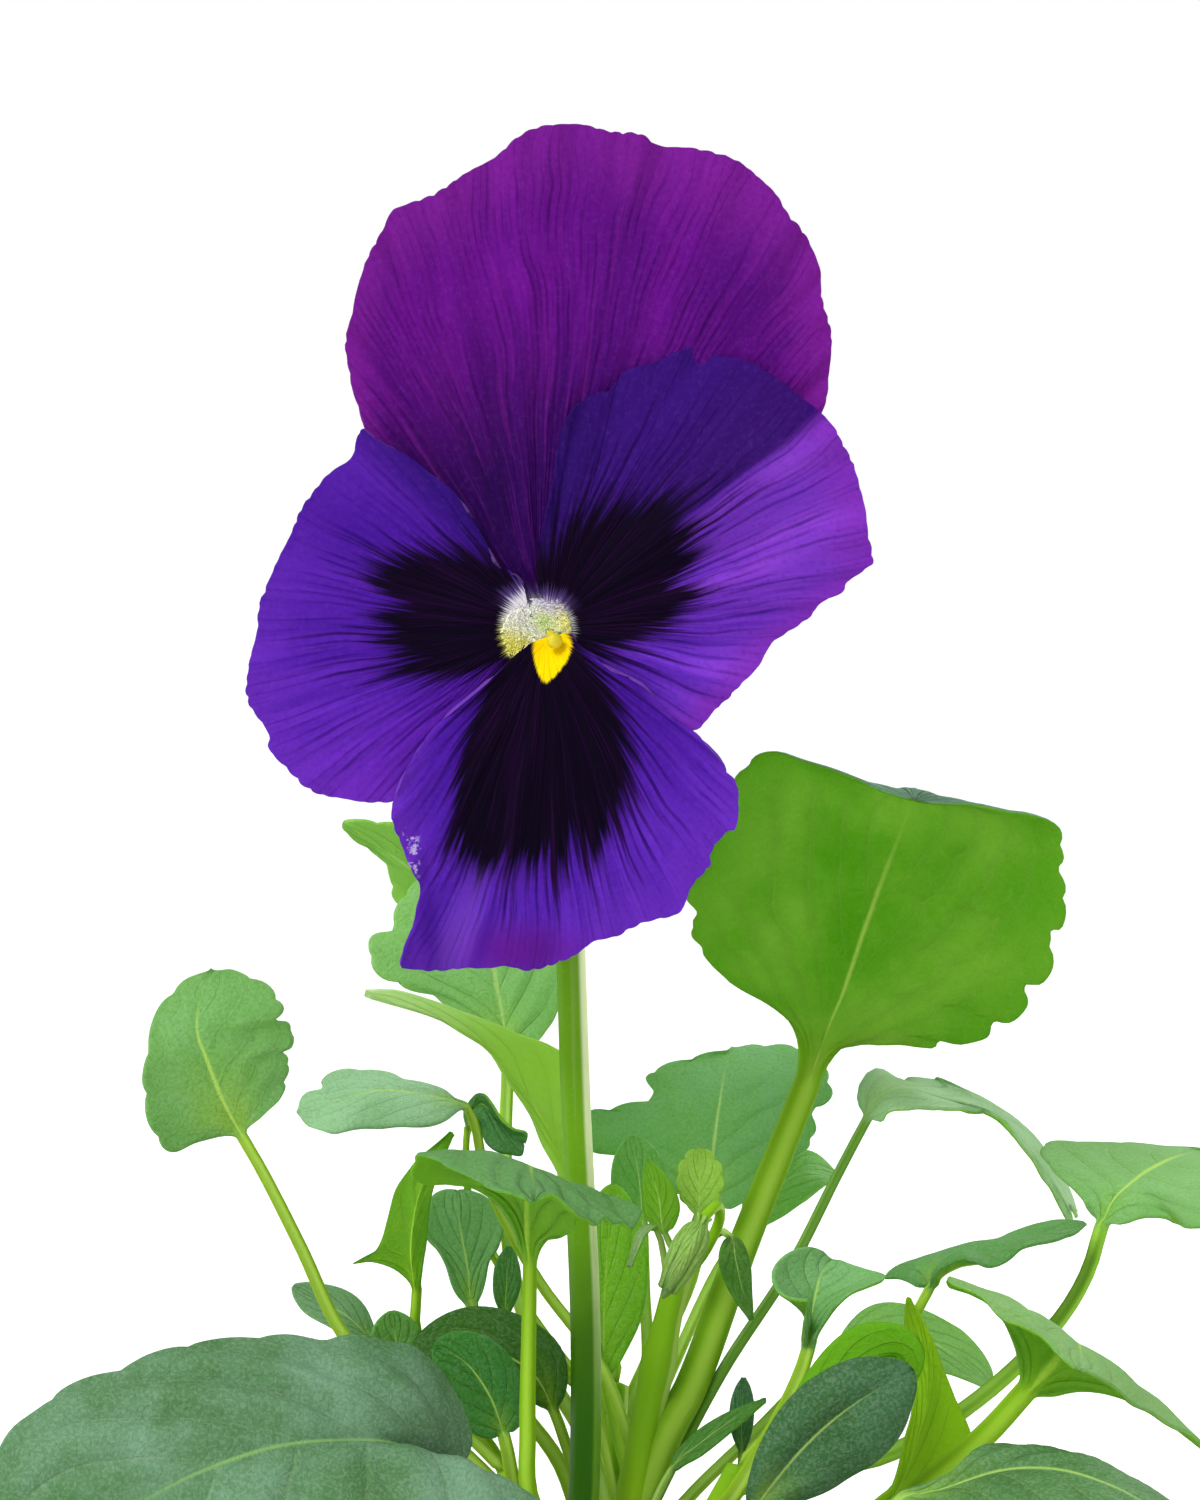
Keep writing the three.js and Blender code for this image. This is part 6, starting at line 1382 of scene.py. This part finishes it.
def petal_material(name, back, tones, axis, reaches, blotch=None, tint_and_shade_bands=(), patches=(),
                   scuff=None):
    """One side of a petal. The back is duller and has none of the marks of the face. axis: degrees
    that the petal points to. reaches: mm from the throat where the inner colour ends and the outer
    one is reached. blotch: (degrees from the axis, mm from the throat) to where it runs.
    tint_and_shade_bands: degrees between which a tone comes in, and how strongly; on the side
    petals some of them are painted shade where the petal bends back. patches: place, direction,
    length, width, taper, softness, strength and tone; on the lower petal some are painted light
    and shade along folds. scuff: place and size of a worn spot."""
    material, paint = open_material(name)
    point = paint.place()
    x = point.part(0) - THROAT[0]
    z = point.part(2) - THROAT[2]
    c, s = math.cos(math.radians(axis)), math.sin(math.radians(axis))
    ahead = x * c + z * s
    beside = z * c - x * s
    turn = paint.maths("ARCTAN2", beside, ahead)
    reach = (ahead * ahead + beside * beside) ** 0.5
    share = paint.strip()[1]
    ray = turn + (paint.noise(point, 0.07, 1.0) - 0.5) * 0.11
    ray = ray + (paint.noise(point, 0.2, 1.0) - 0.5) * 0.02

    def fan(scale, run, seed, detail):
        return paint.noise(paint.spread(ray * scale, reach * run, seed), 1.0, detail, 0.6)

    def vein(count, first, width):
        off = abs(paint.maths("FRACT", ray * (count / (2 * math.pi)) + 20.5) - 0.5)
        off = off * reach * (2 * math.pi / count)
        return off.rise(width, width * 0.2) * reach.rise(first, first + 5)

    streak = fan(13.0, 0.035, 3.0, 4.0)
    fine = fan(42.0, 0.06, 7.0, 3.0)
    broad = fan(4.0, 0.02, 5.0, 3.0)
    lines = paint.maths("MAXIMUM", vein(41, 0, 0.26) * 0.9, vein(82, 8, 0.21) * 0.8)
    lines = paint.maths("MAXIMUM", lines, vein(164, 17, 0.19) * 0.7)
    lines = paint.maths("MAXIMUM", lines, vein(328, 26, 0.16) * 0.5)
    lines = lines * fan(19.0, 0.1, 9.0, 2.0).rise(0.36, 0.64)
    rise_at = reach + (streak - 0.5) * 12
    colour = rise_at.rise(*reaches).between(tones["inner"], tones["outer"])
    colour = (broad.rise(0.6, 0.38) * 0.5).between(colour, tones["deep"])
    colour = (streak.rise(0.52, 0.34) * 0.35).between(colour, tones["deep"])
    colour = (fine.rise(0.5, 0.72) * 0.3).between(colour, tones["rim"])
    colour = (fine.rise(0.46, 0.3) * 0.3).between(colour, tones["deep"])
    colour = ((share + (streak - 0.5) * 0.16).rise(0.8, 1.0) * tones["rim_share"]).between(
        colour, tones["rim"])
    # Some of these bands are painted shade where a petal bends back past its crease.
    for low, high_angle, tone, strength in tint_and_shade_bands:
        band = (turn + (streak - 0.5) * 0.12).rise(math.radians(low), math.radians(high_angle))
        colour = (band * strength).between(colour, tone)
    colour = (lines * (share.rise(1.0, 0.8) * 0.5 + 0.2)).between(colour, tones["vein"])
    velvet = paint.noise(point, 1.9, 3.0, 0.8)
    colour = (velvet.rise(0.5, 0.72) * 0.08).between(colour, rgb(150, 90, 214))
    colour = (velvet.rise(0.5, 0.3) * 0.26).between(colour, tones["vein"])
    dark = None
    if blotch:
        stops = [((a + 90) / 180, r / 40) for a, r in blotch]
        edge = paint.node("ValToRGB", {"stops": stops, "ease": "B_SPLINE"},
                          {"Fac": turn * (1 / math.pi) + 0.5})
        edge = edge * 40.0 + (streak - 0.5) * 13 + (fine - 0.5) * 11
        dark = (edge - reach).rise(-2.6, 2.4) * (0.8 if back else 1)
        trail = paint.maths("MAXIMUM", lines, fine.rise(0.5, 0.68) * 0.8)
        trail = (edge + 8 - reach).rise(0, 7) * trail
        inky = fine.rise(0.5, 0.7) * 0.6 + broad.rise(0.5, 0.7) * 0.3
        inky = inky.between(rgb(9, 3, 20), rgb(36, 5, 50))
        colour = (trail * 0.85).between(colour, rgb(20, 4, 44))
        colour = dark.between(colour, inky)
    if "heart" in tones and not back:
        haze = (reach + (fine - 0.5) * 4).rise(tones["heart"] + 1.6, tones["heart"] - 0.6)
        haze = haze * (z - abs(x) * 0.3).rise(0.2, 3)
        colour = (haze * 0.5).between(colour, rgb(136, 104, 200))
        heart = (reach + (fine - 0.5) * 3).rise(tones["heart"] + 0.4, tones["heart"] - 0.9)
        downy = (z + x * 0.25).rise(-2.4, 1.0).between(rgb(236, 232, 120), rgb(232, 228, 240))
        colour = heart.between(colour, downy)
    # Some patches are painted light and shade along folds of the lower petal.
    for px, pz, ux, uz, long, wide, taper, soft, strength, tone in () if back else patches:
        along = ((x - px) * ux + (z - pz) * uz) * (1 / long)
        aside = ((x - px) * uz - (z - pz) * ux) / (wide + along * taper)
        oval = (along * along + aside * aside) ** 0.5 + (fine - 0.5) * 0.5
        colour = (oval.rise(1 + soft, 1 - soft) * strength).between(colour, tone)
    if scuff and not back:
        sx, sz, wide, tall = scuff
        torn = abs(x - sx + (z - sz) * 0.12).rise(wide, wide * 0.3)
        torn = torn * abs(z - sz).rise(tall, tall * 0.6)
        torn = torn * paint.noise(point, 0.9, 4.0, 0.7).rise(0.52, 0.6)
        colour = (torn * 0.75).between(colour, rgb(206, 190, 224))
    down = paint.noise(point, 5.0, 3.0, 0.6)
    if back:
        colour = (down * 0.3 + 0.2).between(colour, rgb(140, 96, 176))
    relief = lines * (0.6 if back else -0.6) + down * 0.3 + velvet * 0.3 + broad * 0.8
    relief = relief + streak * 0.5
    through = 0.28 if dark is None else 0.28 * (1 - dark)
    close_material(paint, colour, 0.7 + down * 0.12, relief, 0.12, through=tones["through"],
                   share=through, fixed={"Specular IOR Level": 0.03, "Sheen Weight": 0.02,
                                         "Sheen Roughness": 0.4})
    return material


PETALS = [
    dict(name="petal_upper_rear", base=(0.8, 0.9), layer=-2, wave=0.5, waves=3, seed=2, frill=0.6,
         rim=[(-15, 17), (-17, 22), (-18, 30), (-15, 37), (-10, 42), (-3, 46), (4, 48), (12, 46.5),
              (19, 43), (24, 37), (26, 30), (25.5, 23), (22, 17)]),
    dict(name="petal_upper_front", base=(-0.6, 1), layer=-0.8, wave=0.5, waves=3, seed=0.4,
         frill=0.8, rim=[(-16.5, 16.5), (-18.1, 20.2), (-19.4, 25), (-19.8, 29.1), (-18.3, 35.5),
              (-16.8, 38.7), (-15.6, 41.6), (-14.2, 42.3), (-10.5, 43.7), (-7.6, 45.9),
              (-4.8, 47.3), (-2.3, 49.4), (1.1, 50.5), (3.4, 50.6), (6.2, 49.8), (9.5, 49.4),
              (11.1, 48.6), (14, 48.2), (17.3, 47.5), (20.9, 45.7), (23, 43.6), (24.4, 41.2),
              (25.8, 39.4), (27.5, 36.3), (27.7, 33), (28.6, 28.9), (28.3, 24), (27.4, 20.6),
              (25, 16)]),
    dict(name="petal_side_left", base=(-1.6, 0.6), layer=0.6, wave=0.3, waves=2.5, seed=1.1,
         frill=0.5, creases=[(131, 7, 1.0)], bends=[(131, 116, 0.9)],
         rim=[(-2.2, 4.6), (-3.4, 5.6), (-5, 6.6), (-8.3, 12.6), (-13, 16.6), (-16.4, 18.6),
              (-18.1, 19.7), (-18.8, 18.4), (-19.5, 16.8), (-22, 14.8), (-24.4, 11.4), (-26, 8),
              (-28.2, 2.7), (-28.8, -0.4), (-29.5, -4.2), (-29.6, -7), (-27.7, -10.6), (-27.6, -12),
              (-25.9, -13.9), (-24.4, -15.4), (-22.3, -16.7), (-19.8, -17.2), (-16.2, -17.4),
              (-14.4, -16.6), (-10, -12), (-6, -7), (-3.4, -3.4), (-1.6, -1.4)]),
    dict(name="petal_side_right", base=(1.6, 0.9), layer=0.6, wave=0.4, waves=2.5, seed=2.6,
         frill=0.6, creases=[(37, 9, 1.2)], bends=[(37, 62, 0.5)],
         rim=[(-0.6, 3.6), (-0.9, 5.5), (-0.4, 9), (0.6, 13.5), (1.6, 19.1), (2.9, 21.9),
              (4.9, 23.3), (6.5, 23.8), (8, 25.5), (10.8, 26.4), (14.4, 27.9), (17.4, 27.1),
              (20.5, 26.4), (22.5, 25.2), (25.9, 22.7), (28.7, 19.9), (29.4, 18.6), (31, 15.5),
              (31.7, 12.5), (32.1, 9.7), (32.6, 6.9), (32.2, 6.1), (30.2, 4.6), (29.7, 3.7),
              (27.4, 2.5), (26.5, 1.2), (24.3, -0.3), (22.5, -1.8), (21, -4.1), (19.2, -5.9),
              (17.4, -7.7), (14.9, -10.2), (11, -8.4), (7, -5.6), (4, -3), (2.4, -1.2)]),
    dict(name="petal_lower", base=(0.7, -0.9), layer=2.2, wave=0.3, waves=2.5, seed=3.3, frill=0.55,
         bumps=[(-13.5, -31.5, 3.2, 1.3), (-13.5, -21.5, 3.0, -0.9), (-2.5, -33, 3, 0.7)],
         rim=[(2.7, -0.5), (3.6, -1.9), (6.8, -4.2), (8.7, -5), (10.2, -6), (11.9, -8.2),
              (13.5, -9.6), (15, -10.5), (16.2, -11.6), (17.7, -13.3), (18.2, -14.5),
              (19.1, -15.4), (19.3, -16.6), (19, -19.8), (18.2, -20.3), (16.6, -22.2),
              (16.5, -23.7), (15.5, -24.9), (14.5, -25.9), (13.6, -28.2), (12.3, -28.9),
              (10.4, -29.2), (8.7, -30), (7.3, -30.8), (5.1, -31.1), (4.1, -31.8), (2.9, -32.8),
              (1.4, -33.4), (-0.6, -34.1), (-2, -34.3), (-3.9, -33.7), (-5.8, -34), (-8.5, -34.1),
              (-11.4, -34.4), (-13.2, -34.1), (-14.4, -33.7), (-14.1, -32.2), (-13.3, -30.2),
              (-12.9, -28.3), (-12.5, -26.1), (-13.6, -23.4), (-14.3, -21.7), (-15, -19.8),
              (-15.2, -17.6), (-14.1, -14.7), (-12.4, -11.8), (-10, -8.9), (-6.8, -6.2),
              (-3.8, -3.6), (-1.6, -1.6)]),
]
MAGENTA = dict(heart=3.4, inner=rgb(36, 9, 74), outer=rgb(110, 18, 144), deep=rgb(64, 8, 104),
               rim=rgb(132, 34, 152), rim_share=0.7, vein=rgb(50, 2, 82), through=rgb(120, 14, 150))
VIOLET = dict(inner=rgb(76, 26, 160), outer=rgb(104, 44, 186), deep=rgb(66, 22, 146),
              rim=rgb(112, 50, 186), rim_share=0.45, vein=rgb(46, 12, 116),
              through=rgb(116, 34, 200))
PETAL_PAINT = {
    "petal_upper_rear": dict(tones=MAGENTA, axis=80, reaches=(14, 36)),
    "petal_upper_front": dict(tones=MAGENTA, axis=80, reaches=(14, 36)),
    "petal_side_left": dict(
        tones={**VIOLET, "heart": 4.5}, axis=180, reaches=(10, 24),
        blotch=[(-90, 4), (-62, 6), (-48, 11), (-32, 15), (-24, 18.5), (-9, 17), (8, 16.6),
                (20, 14.5), (32, 9), (50, 6), (90, 5)],
        # The band from -40 to -54 degrees is painted shade on the strip that bends back.
        tint_and_shade_bands=[(2, -28, rgb(70, 22, 142), 0.6), (-40, -54, rgb(48, 18, 112), 0.85),
                    (20, 50, rgb(120, 40, 176), 0.4)]),
    "petal_side_right": dict(
        tones={**VIOLET, "outer": rgb(150, 72, 216), "inner": rgb(114, 54, 204),
               "rim": rgb(130, 46, 176), "rim_share": 0.75, "heart": 2.9, "vein": rgb(36, 8, 94)},
        axis=30, reaches=(10, 24), blotch=[(-90, 5), (-65, 6), (-48, 8), (-31, 11.5), (-16, 15.5),
                (0, 18), (10, 19), (15, 17.5), (35, 14), (54, 9.8), (70, 8), (90, 8)],
        # All three bands are painted shade where the petal bends back past its crease.
        tint_and_shade_bands=[(5, 9, rgb(42, 12, 92), 0.94), (12, 30, rgb(58, 20, 124), 0.7),
                    (36, 58, rgb(38, 12, 84), 0.8)]),
    "petal_lower": dict(
        tones={**VIOLET, "outer": rgb(104, 46, 192)}, axis=-90, reaches=(12, 26),
        blotch=[(-90, 3), (-55, 5), (-42, 10.5), (-33, 16), (-27, 22), (-22, 25.5), (-11, 26.5),
                (0, 24.5), (6, 24), (14, 22.5), (22, 21), (29, 18), (38, 13.5), (48, 9.5), (60, 6),
        (90, 4)], patches=[(0.55, -2.7, 0.2, 0.98, 2.7, 1.75, 0.75, 0.1, 1, rgb(240, 206, 2)),
                 (-2.8, -32.2, 0, 1, 2.2, 5.5, 0, 0.8, 0.6, rgb(96, 12, 110)),
                 # These last three are painted light and shade: a light and two dark streaks along
                 # folds.
                 (-8.5, -30.5, 0.3, 0.95, 4.5, 1.5, 0, 0.8, 0.5, rgb(130, 76, 206)),
                 (-11.8, -28.5, -0.1, 1, 5, 0.9, 0, 0.8, 0.55, rgb(58, 18, 126)),
                 (-6, -31, 0.35, 0.94, 4, 0.7, 0, 0.8, 0.5, rgb(60, 18, 130))],
        scuff=(-13.2, -22.4, 1.1, 2.8)),
}


for petal in PETALS:
    places, layout = petal_points(petal)
    name = petal["name"]
    piece = skin(name + "_grown", places, layout)
    sides = [petal_material(f"{name}_{'back' if back else 'face'}", back, **PETAL_PAINT[name])
             for back in (False, True)]
    faces_viewer = sum(face.normal.y for face in piece.data.polygons) < 0
    for side in sides if faces_viewer else sides[::-1]:
        piece.data.materials.append(side)
    wall = piece.modifiers.new("thickness", "SOLIDIFY")
    wall.material_offset = 1
    wall.thickness = PETAL_THICKNESS / 1000
    wall.offset = 0
    bpy.ops.object.modifier_apply(modifier="thickness")
    bpy.ops.object.shade_smooth_by_angle(angle=math.radians(60))
    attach(piece, "root")
    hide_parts(name)
    "petal_" + name.split("_")[1]

# Spur: the nectar tube that the lower petal sends back between the sepals. It is thin petal tissue,
# pale violet turning greenish, and a grid wrapped round its line, closed at the end.
spur_paint, paint = open_material("spur_skin")
point = paint.place()
cloud = paint.noise(point, 0.5, 3.0)
tone = point.part(1).rise(-10, -3).between(rgb(96, 60, 160), rgb(150, 130, 176))
close_material(paint, (cloud.rise(0.5, 0.7) * 0.5).between(tone, rgb(120, 140, 96)), 0.5, cloud,
    0.1)
spur_line = Line([in_throat(*spot) for spot in ((0.8, -4.2, 0.6), (0.4, -4.3, -3), (0, -4.3, -7),
                                                (0, -3.8, -10.4))])


def spur_radius(share):
    return 1.25 * (1 - 0.25 * share) * math.sqrt(max(1 - max(share - 0.86, 0) ** 2 * 40, 0.1))


spur = skin("spur_grown", *tube_points(spur_line, spur_radius, 30, 20), [spur_paint])
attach(spur, "root")

# Throat: the round green stigma on its style, the cone of pale anthers under it, and beards of
# fine club-headed hairs at the foot of both side petals, pale lilac above and yellow below.
STIGMA = (1.0, -1.3, 1.2)
STIGMA_RADIUS = 0.78
STYLE_RADIUS = 0.42
ANTHER_CONE = 2
# Name, outline across and up from the throat, number of hairs, and which way they lean.
BEARDS = [
    ("beard_left", [(-4.4, 0), (-3.9, -2.2), (-3.3, -3.2), (-1.7, -2.6), (0.1, -1.5), (0.2, 0.6),
                    (-0.6, 2.2), (-2.4, 2.4), (-3.8, 1.3)], 800, (0.3, -0.2)),
    ("beard_right", [(-0.9, 2.9), (1.8, 2.5), (2.7, 0.7), (2.8, -0.5), (1.6, -0.4), (0.2, -0.6),
                     (-0.5, 1)], 560, (-0.3, -0.2)),
]


style_foot = in_throat(0, 0, RECEPTACLE_DEPTH + RECEPTACLE_RADIUS + 0.3)
style_head = in_throat(*STIGMA)


def style_radius(share):
    knob = STIGMA_RADIUS * math.sqrt(max(1 - ((share - 0.92) / 0.125) ** 2, 0))
    return max(STYLE_RADIUS, knob) if share < 0.995 else 0.5


stigma_paint, paint = open_material("stigma_skin")
cloud = paint.noise(paint.place(), 0.9, 3.0)
tone = cloud.rise(0.35, 0.65).between(rgb(206, 188, 8), rgb(226, 204, 14))
close_material(paint, tone, 0.4, cloud, 0.08, through=rgb(180, 200, 70), share=0.15)
style_axis = style_head - style_foot
style_line = Line([style_foot, style_foot + style_axis * 0.5, style_head + style_axis * 0.08])
pistil = skin("pistil_grown", *tube_points(style_line, style_radius, 60, 24), [stigma_paint])
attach(pistil, "root")
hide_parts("pistil")

anther_paint, paint = open_material("anther_skin")
dust = paint.noise(paint.place(), 3.0, 3.0)
tone = dust.rise(0.35, 0.65).between(rgb(150, 172, 60), rgb(208, 206, 120))
close_material(paint, tone, 0.85, dust, 0.1)
anther_line = Line([style_foot + unit(style_axis) * ANTHER_CONE * k for k in (0, 0.5, 1)])
anther_places = tube_points(anther_line, lambda share: 1.45 - 0.4 * share, 20, 40,
                            lambda turn: 0.9 + 0.12 * np.abs(np.cos(2.5 * turn)))
anthers = skin("anthers_grown", *anther_places, [anther_paint])
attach(anthers, "root")
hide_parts("anther_cone")

beard_paint, paint = open_material("beard_hairs")
point = paint.place()
across = point.part(0) - THROAT[0]
height = point.part(2) - THROAT[2] + across * 0.25
tint = (paint.noise(point, 1.4, 1.0) - 0.5) * 1.6
yellow = (across + THROAT[0] + tint * 0.5).rise(-5.2, -3.2) * 0.8
yellow = paint.maths("MAXIMUM", (height + tint).rise(-0.6, -2.6), yellow)
tone = yellow.between(rgb(252, 253, 250), rgb(246, 242, 120))
middle = (across * across + (height - 0.4) * (height - 0.4)) ** 0.5
tone = (middle.rise(1.7, 0.3) * 0.6).between(tone, rgb(220, 238, 140))
tone = ((height + tint).rise(1.0, 3.2) * 0.85).between(tone, rgb(206, 194, 236))
# Painted light: the hairs glow faintly in their own colour, lifting the shade they cast on each
# other.
close_material(paint, tone, 0.7, tint, 0.05, through=rgb(253, 253, 242), share=0.5,
               fixed={"Emission Color": tone, "Emission Strength": 0.12})


def inside(outline, across, up):
    """Whether a place lies within an outline."""
    hit = False
    for (ax, az), (bx, bz) in zip(outline, outline[1:] + outline[:1]):
        if (az > up) != (bz > up) and across < (bx - ax) * (up - az) / (bz - az) + ax:
            hit = not hit
    return hit


def club(share):
    return 0.07 + 0.025 * soft_step(np.array(share), 0.5, 0.85) if share < 0.97 else 0.06


beard_rng = np.random.default_rng(5)
for name, outline, count, lean in BEARDS:
    roots = []
    while len(roots) < count:
        across, up = beard_rng.uniform(-4.6, 3, 1)[0], beard_rng.uniform(-3.6, 3.2, 1)[0]
        if inside(outline, across, up):
            roots.append((across, up))
    places, frames, sizes = [], [], []
    for across, up in roots:
        depth = float(bloom_depth(np.array(across), np.array(up))) + 0.5
        sway = beard_rng.normal(0, 0.3, 2)
        inner = math.exp(-(across ** 2 + up ** 2) / 5)
        grow = unit(np.array([lean[0] * (1 + 0.8 * inner) + sway[0], -0.95, lean[1] + sway[1]]))
        level = unit(np.cross(grow, [0.2, 0.1, 1]))
        places.append(in_throat(across, up, depth))
        frames.append(np.stack([level, np.cross(grow, level), grow * (1 + 1.8 * inner)], axis=1))
        sizes.append(beard_rng.uniform(0.5, 0.85))
    hair_line = Line([(0, 0, 0), (0.06, 0, 0.5), (0.22, 0, 0.96)], steps=6)
    hair = skin("hair", tube_points(hair_line, club, 4, 4)[0])
    beard = lay_out(name, hair, places, frames, sizes, beard_paint)
    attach(beard, "root")

# Sepals: five narrow, pointed green leaves behind the bloom, with a blunt lobe that stands back
# past the receptacle. They are thin and firm, and each is a small leaf that starts at that lobe.
SEPAL_LENGTH = 13
SEPALS = []
for number, angle in enumerate((90, 36, 144, -24, 204)):
    c, s = math.cos(math.radians(angle)), math.sin(math.radians(angle))

    def spot(reach, depth):
        return tuple(in_throat(reach * c, reach * s, depth))

    first = RECEPTACLE_RADIUS + 0.8
    back = 0.4 if number == 0 else 1.8
    SEPALS.append(dict(
        name=f"sepal_{number + 1}", thick=0.5, shape="lance", left=1.9, right=1.9, cup=(12, 12),
        wave=0.1, start=spot(first + 0.3, RECEPTACLE_DEPTH - back),
        rib=[spot(first, RECEPTACLE_DEPTH), spot(first + 1.6, RECEPTACLE_DEPTH + 1.6),
             spot(SEPAL_LENGTH * 0.6, RECEPTACLE_DEPTH + 2.1),
             spot(SEPAL_LENGTH, RECEPTACLE_DEPTH + 1.6)],
        face=[(0.01, -1, 0.01)]))
grow_leaves(SEPALS, dict(
    upper=(120, 168, 70), upper_edge=(104, 154, 58), under=(96, 150, 52), under_edge=(84, 138, 44),
    rib=(180, 206, 120), base=(150, 186, 90), glow=(130, 180, 40), glow_share=0.2))

# Bud: it nods from a thin hooked stalk. Five soft green sepals still wrap the furled petals, whose
# green tip just shows; they are small leaves laid on the bud's body and joined to it.
BUD_STALK_LINE = Line([(8.2, 3.6, 131.5), (10.5, 0.4, 134.5), (12.3, -1.8, 138.6),
                       (12, -4.2, 140.6), (10.6, -5.6, 139.6)])
BUD_TOP = np.array([10.4, -5.9, 139.2])
BUD_TIP = np.array([6.4, -7.4, 131.6])
BUD_PROFILE = [(0, 0.25), (0.05, 0.85), (0.17, 1.45), (0.36, 1.68), (0.6, 1.42), (0.8, 0.92),
               (0.93, 0.5), (1, 0.12)]
BUD_WRAPS = 5
bud_stalk_places = tube_points(BUD_STALK_LINE, lambda share: 0.62 - 0.08 * share, 40, 16)
bud_stalk = skin("bud_stalk_grown", *bud_stalk_places, [stem_green])
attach(bud_stalk, "root")
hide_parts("bud_stalk")


def bud_radius(share):
    return float(np.interp(share, *zip(*BUD_PROFILE)))


furled_paint, paint = open_material("furled_petals")
turn, run = paint.strip()
wind = paint.noise(paint.spread(turn * 16 + run * 0.4, run * 0.3), 1.0, 3.0)
tone = run.rise(5.5, 7.6).between(rgb(126, 170, 80), rgb(96, 140, 60))
tone = (wind.rise(0.5, 0.7) * 0.4).between(tone, rgb(168, 190, 140))
close_material(paint, tone, 0.55, wind, 0.2, fixed={"Specular IOR Level": 0.25})
bud_line = Line([BUD_TOP, (BUD_TOP + BUD_TIP) / 2, BUD_TIP])
bud_places = tube_points(bud_line, lambda share: 0.9 * bud_radius(share), 50, 30,
                         lambda turn: 1 + 0.05 * np.cos(5 * turn))
bud = skin("bud_grown", *bud_places, [furled_paint])
bud_axis = unit(BUD_TIP - BUD_TOP)
bud_side = unit(np.cross(bud_axis, [0, 1, 0]))
bud_front = np.cross(bud_axis, bud_side)
wraps = []
for k in range(BUD_WRAPS):
    turn = (k + 0.3) / BUD_WRAPS * 2 * math.pi
    out = bud_side * math.cos(turn) + bud_front * math.sin(turn)
    spots = [BUD_TOP + (BUD_TIP - BUD_TOP) * s + out * (bud_radius(s) * 0.92 + 0.16)
             for s in (0.0, 0.1, 0.3, 0.55, 0.8)]
    spots.append(BUD_TOP + (BUD_TIP - BUD_TOP) * 0.9 + out * (0.9 + 0.25 * (k % 2)))
    wraps.append(dict(name=f"bud_wrap_{k}", thick=0.25, shape="lance", left=1.05, right=1.05,
                      cup=(-55, -55), start=tuple(BUD_TOP - bud_axis * 0.8 + out * 0.9),
                      rib=[tuple(s) for s in spots], face=[tuple(out)],
                      stands_for=None))
join_to(bud, grow_leaves(wraps, dict(
    upper=(130, 180, 66), upper_edge=(160, 204, 100), under=(130, 180, 66),
        under_edge=(160, 204, 100),
    rib=(186, 216, 130), base=(130, 184, 60), glow=(140, 190, 50), glow_share=0.2)))
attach(bud, "root")
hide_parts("bud")
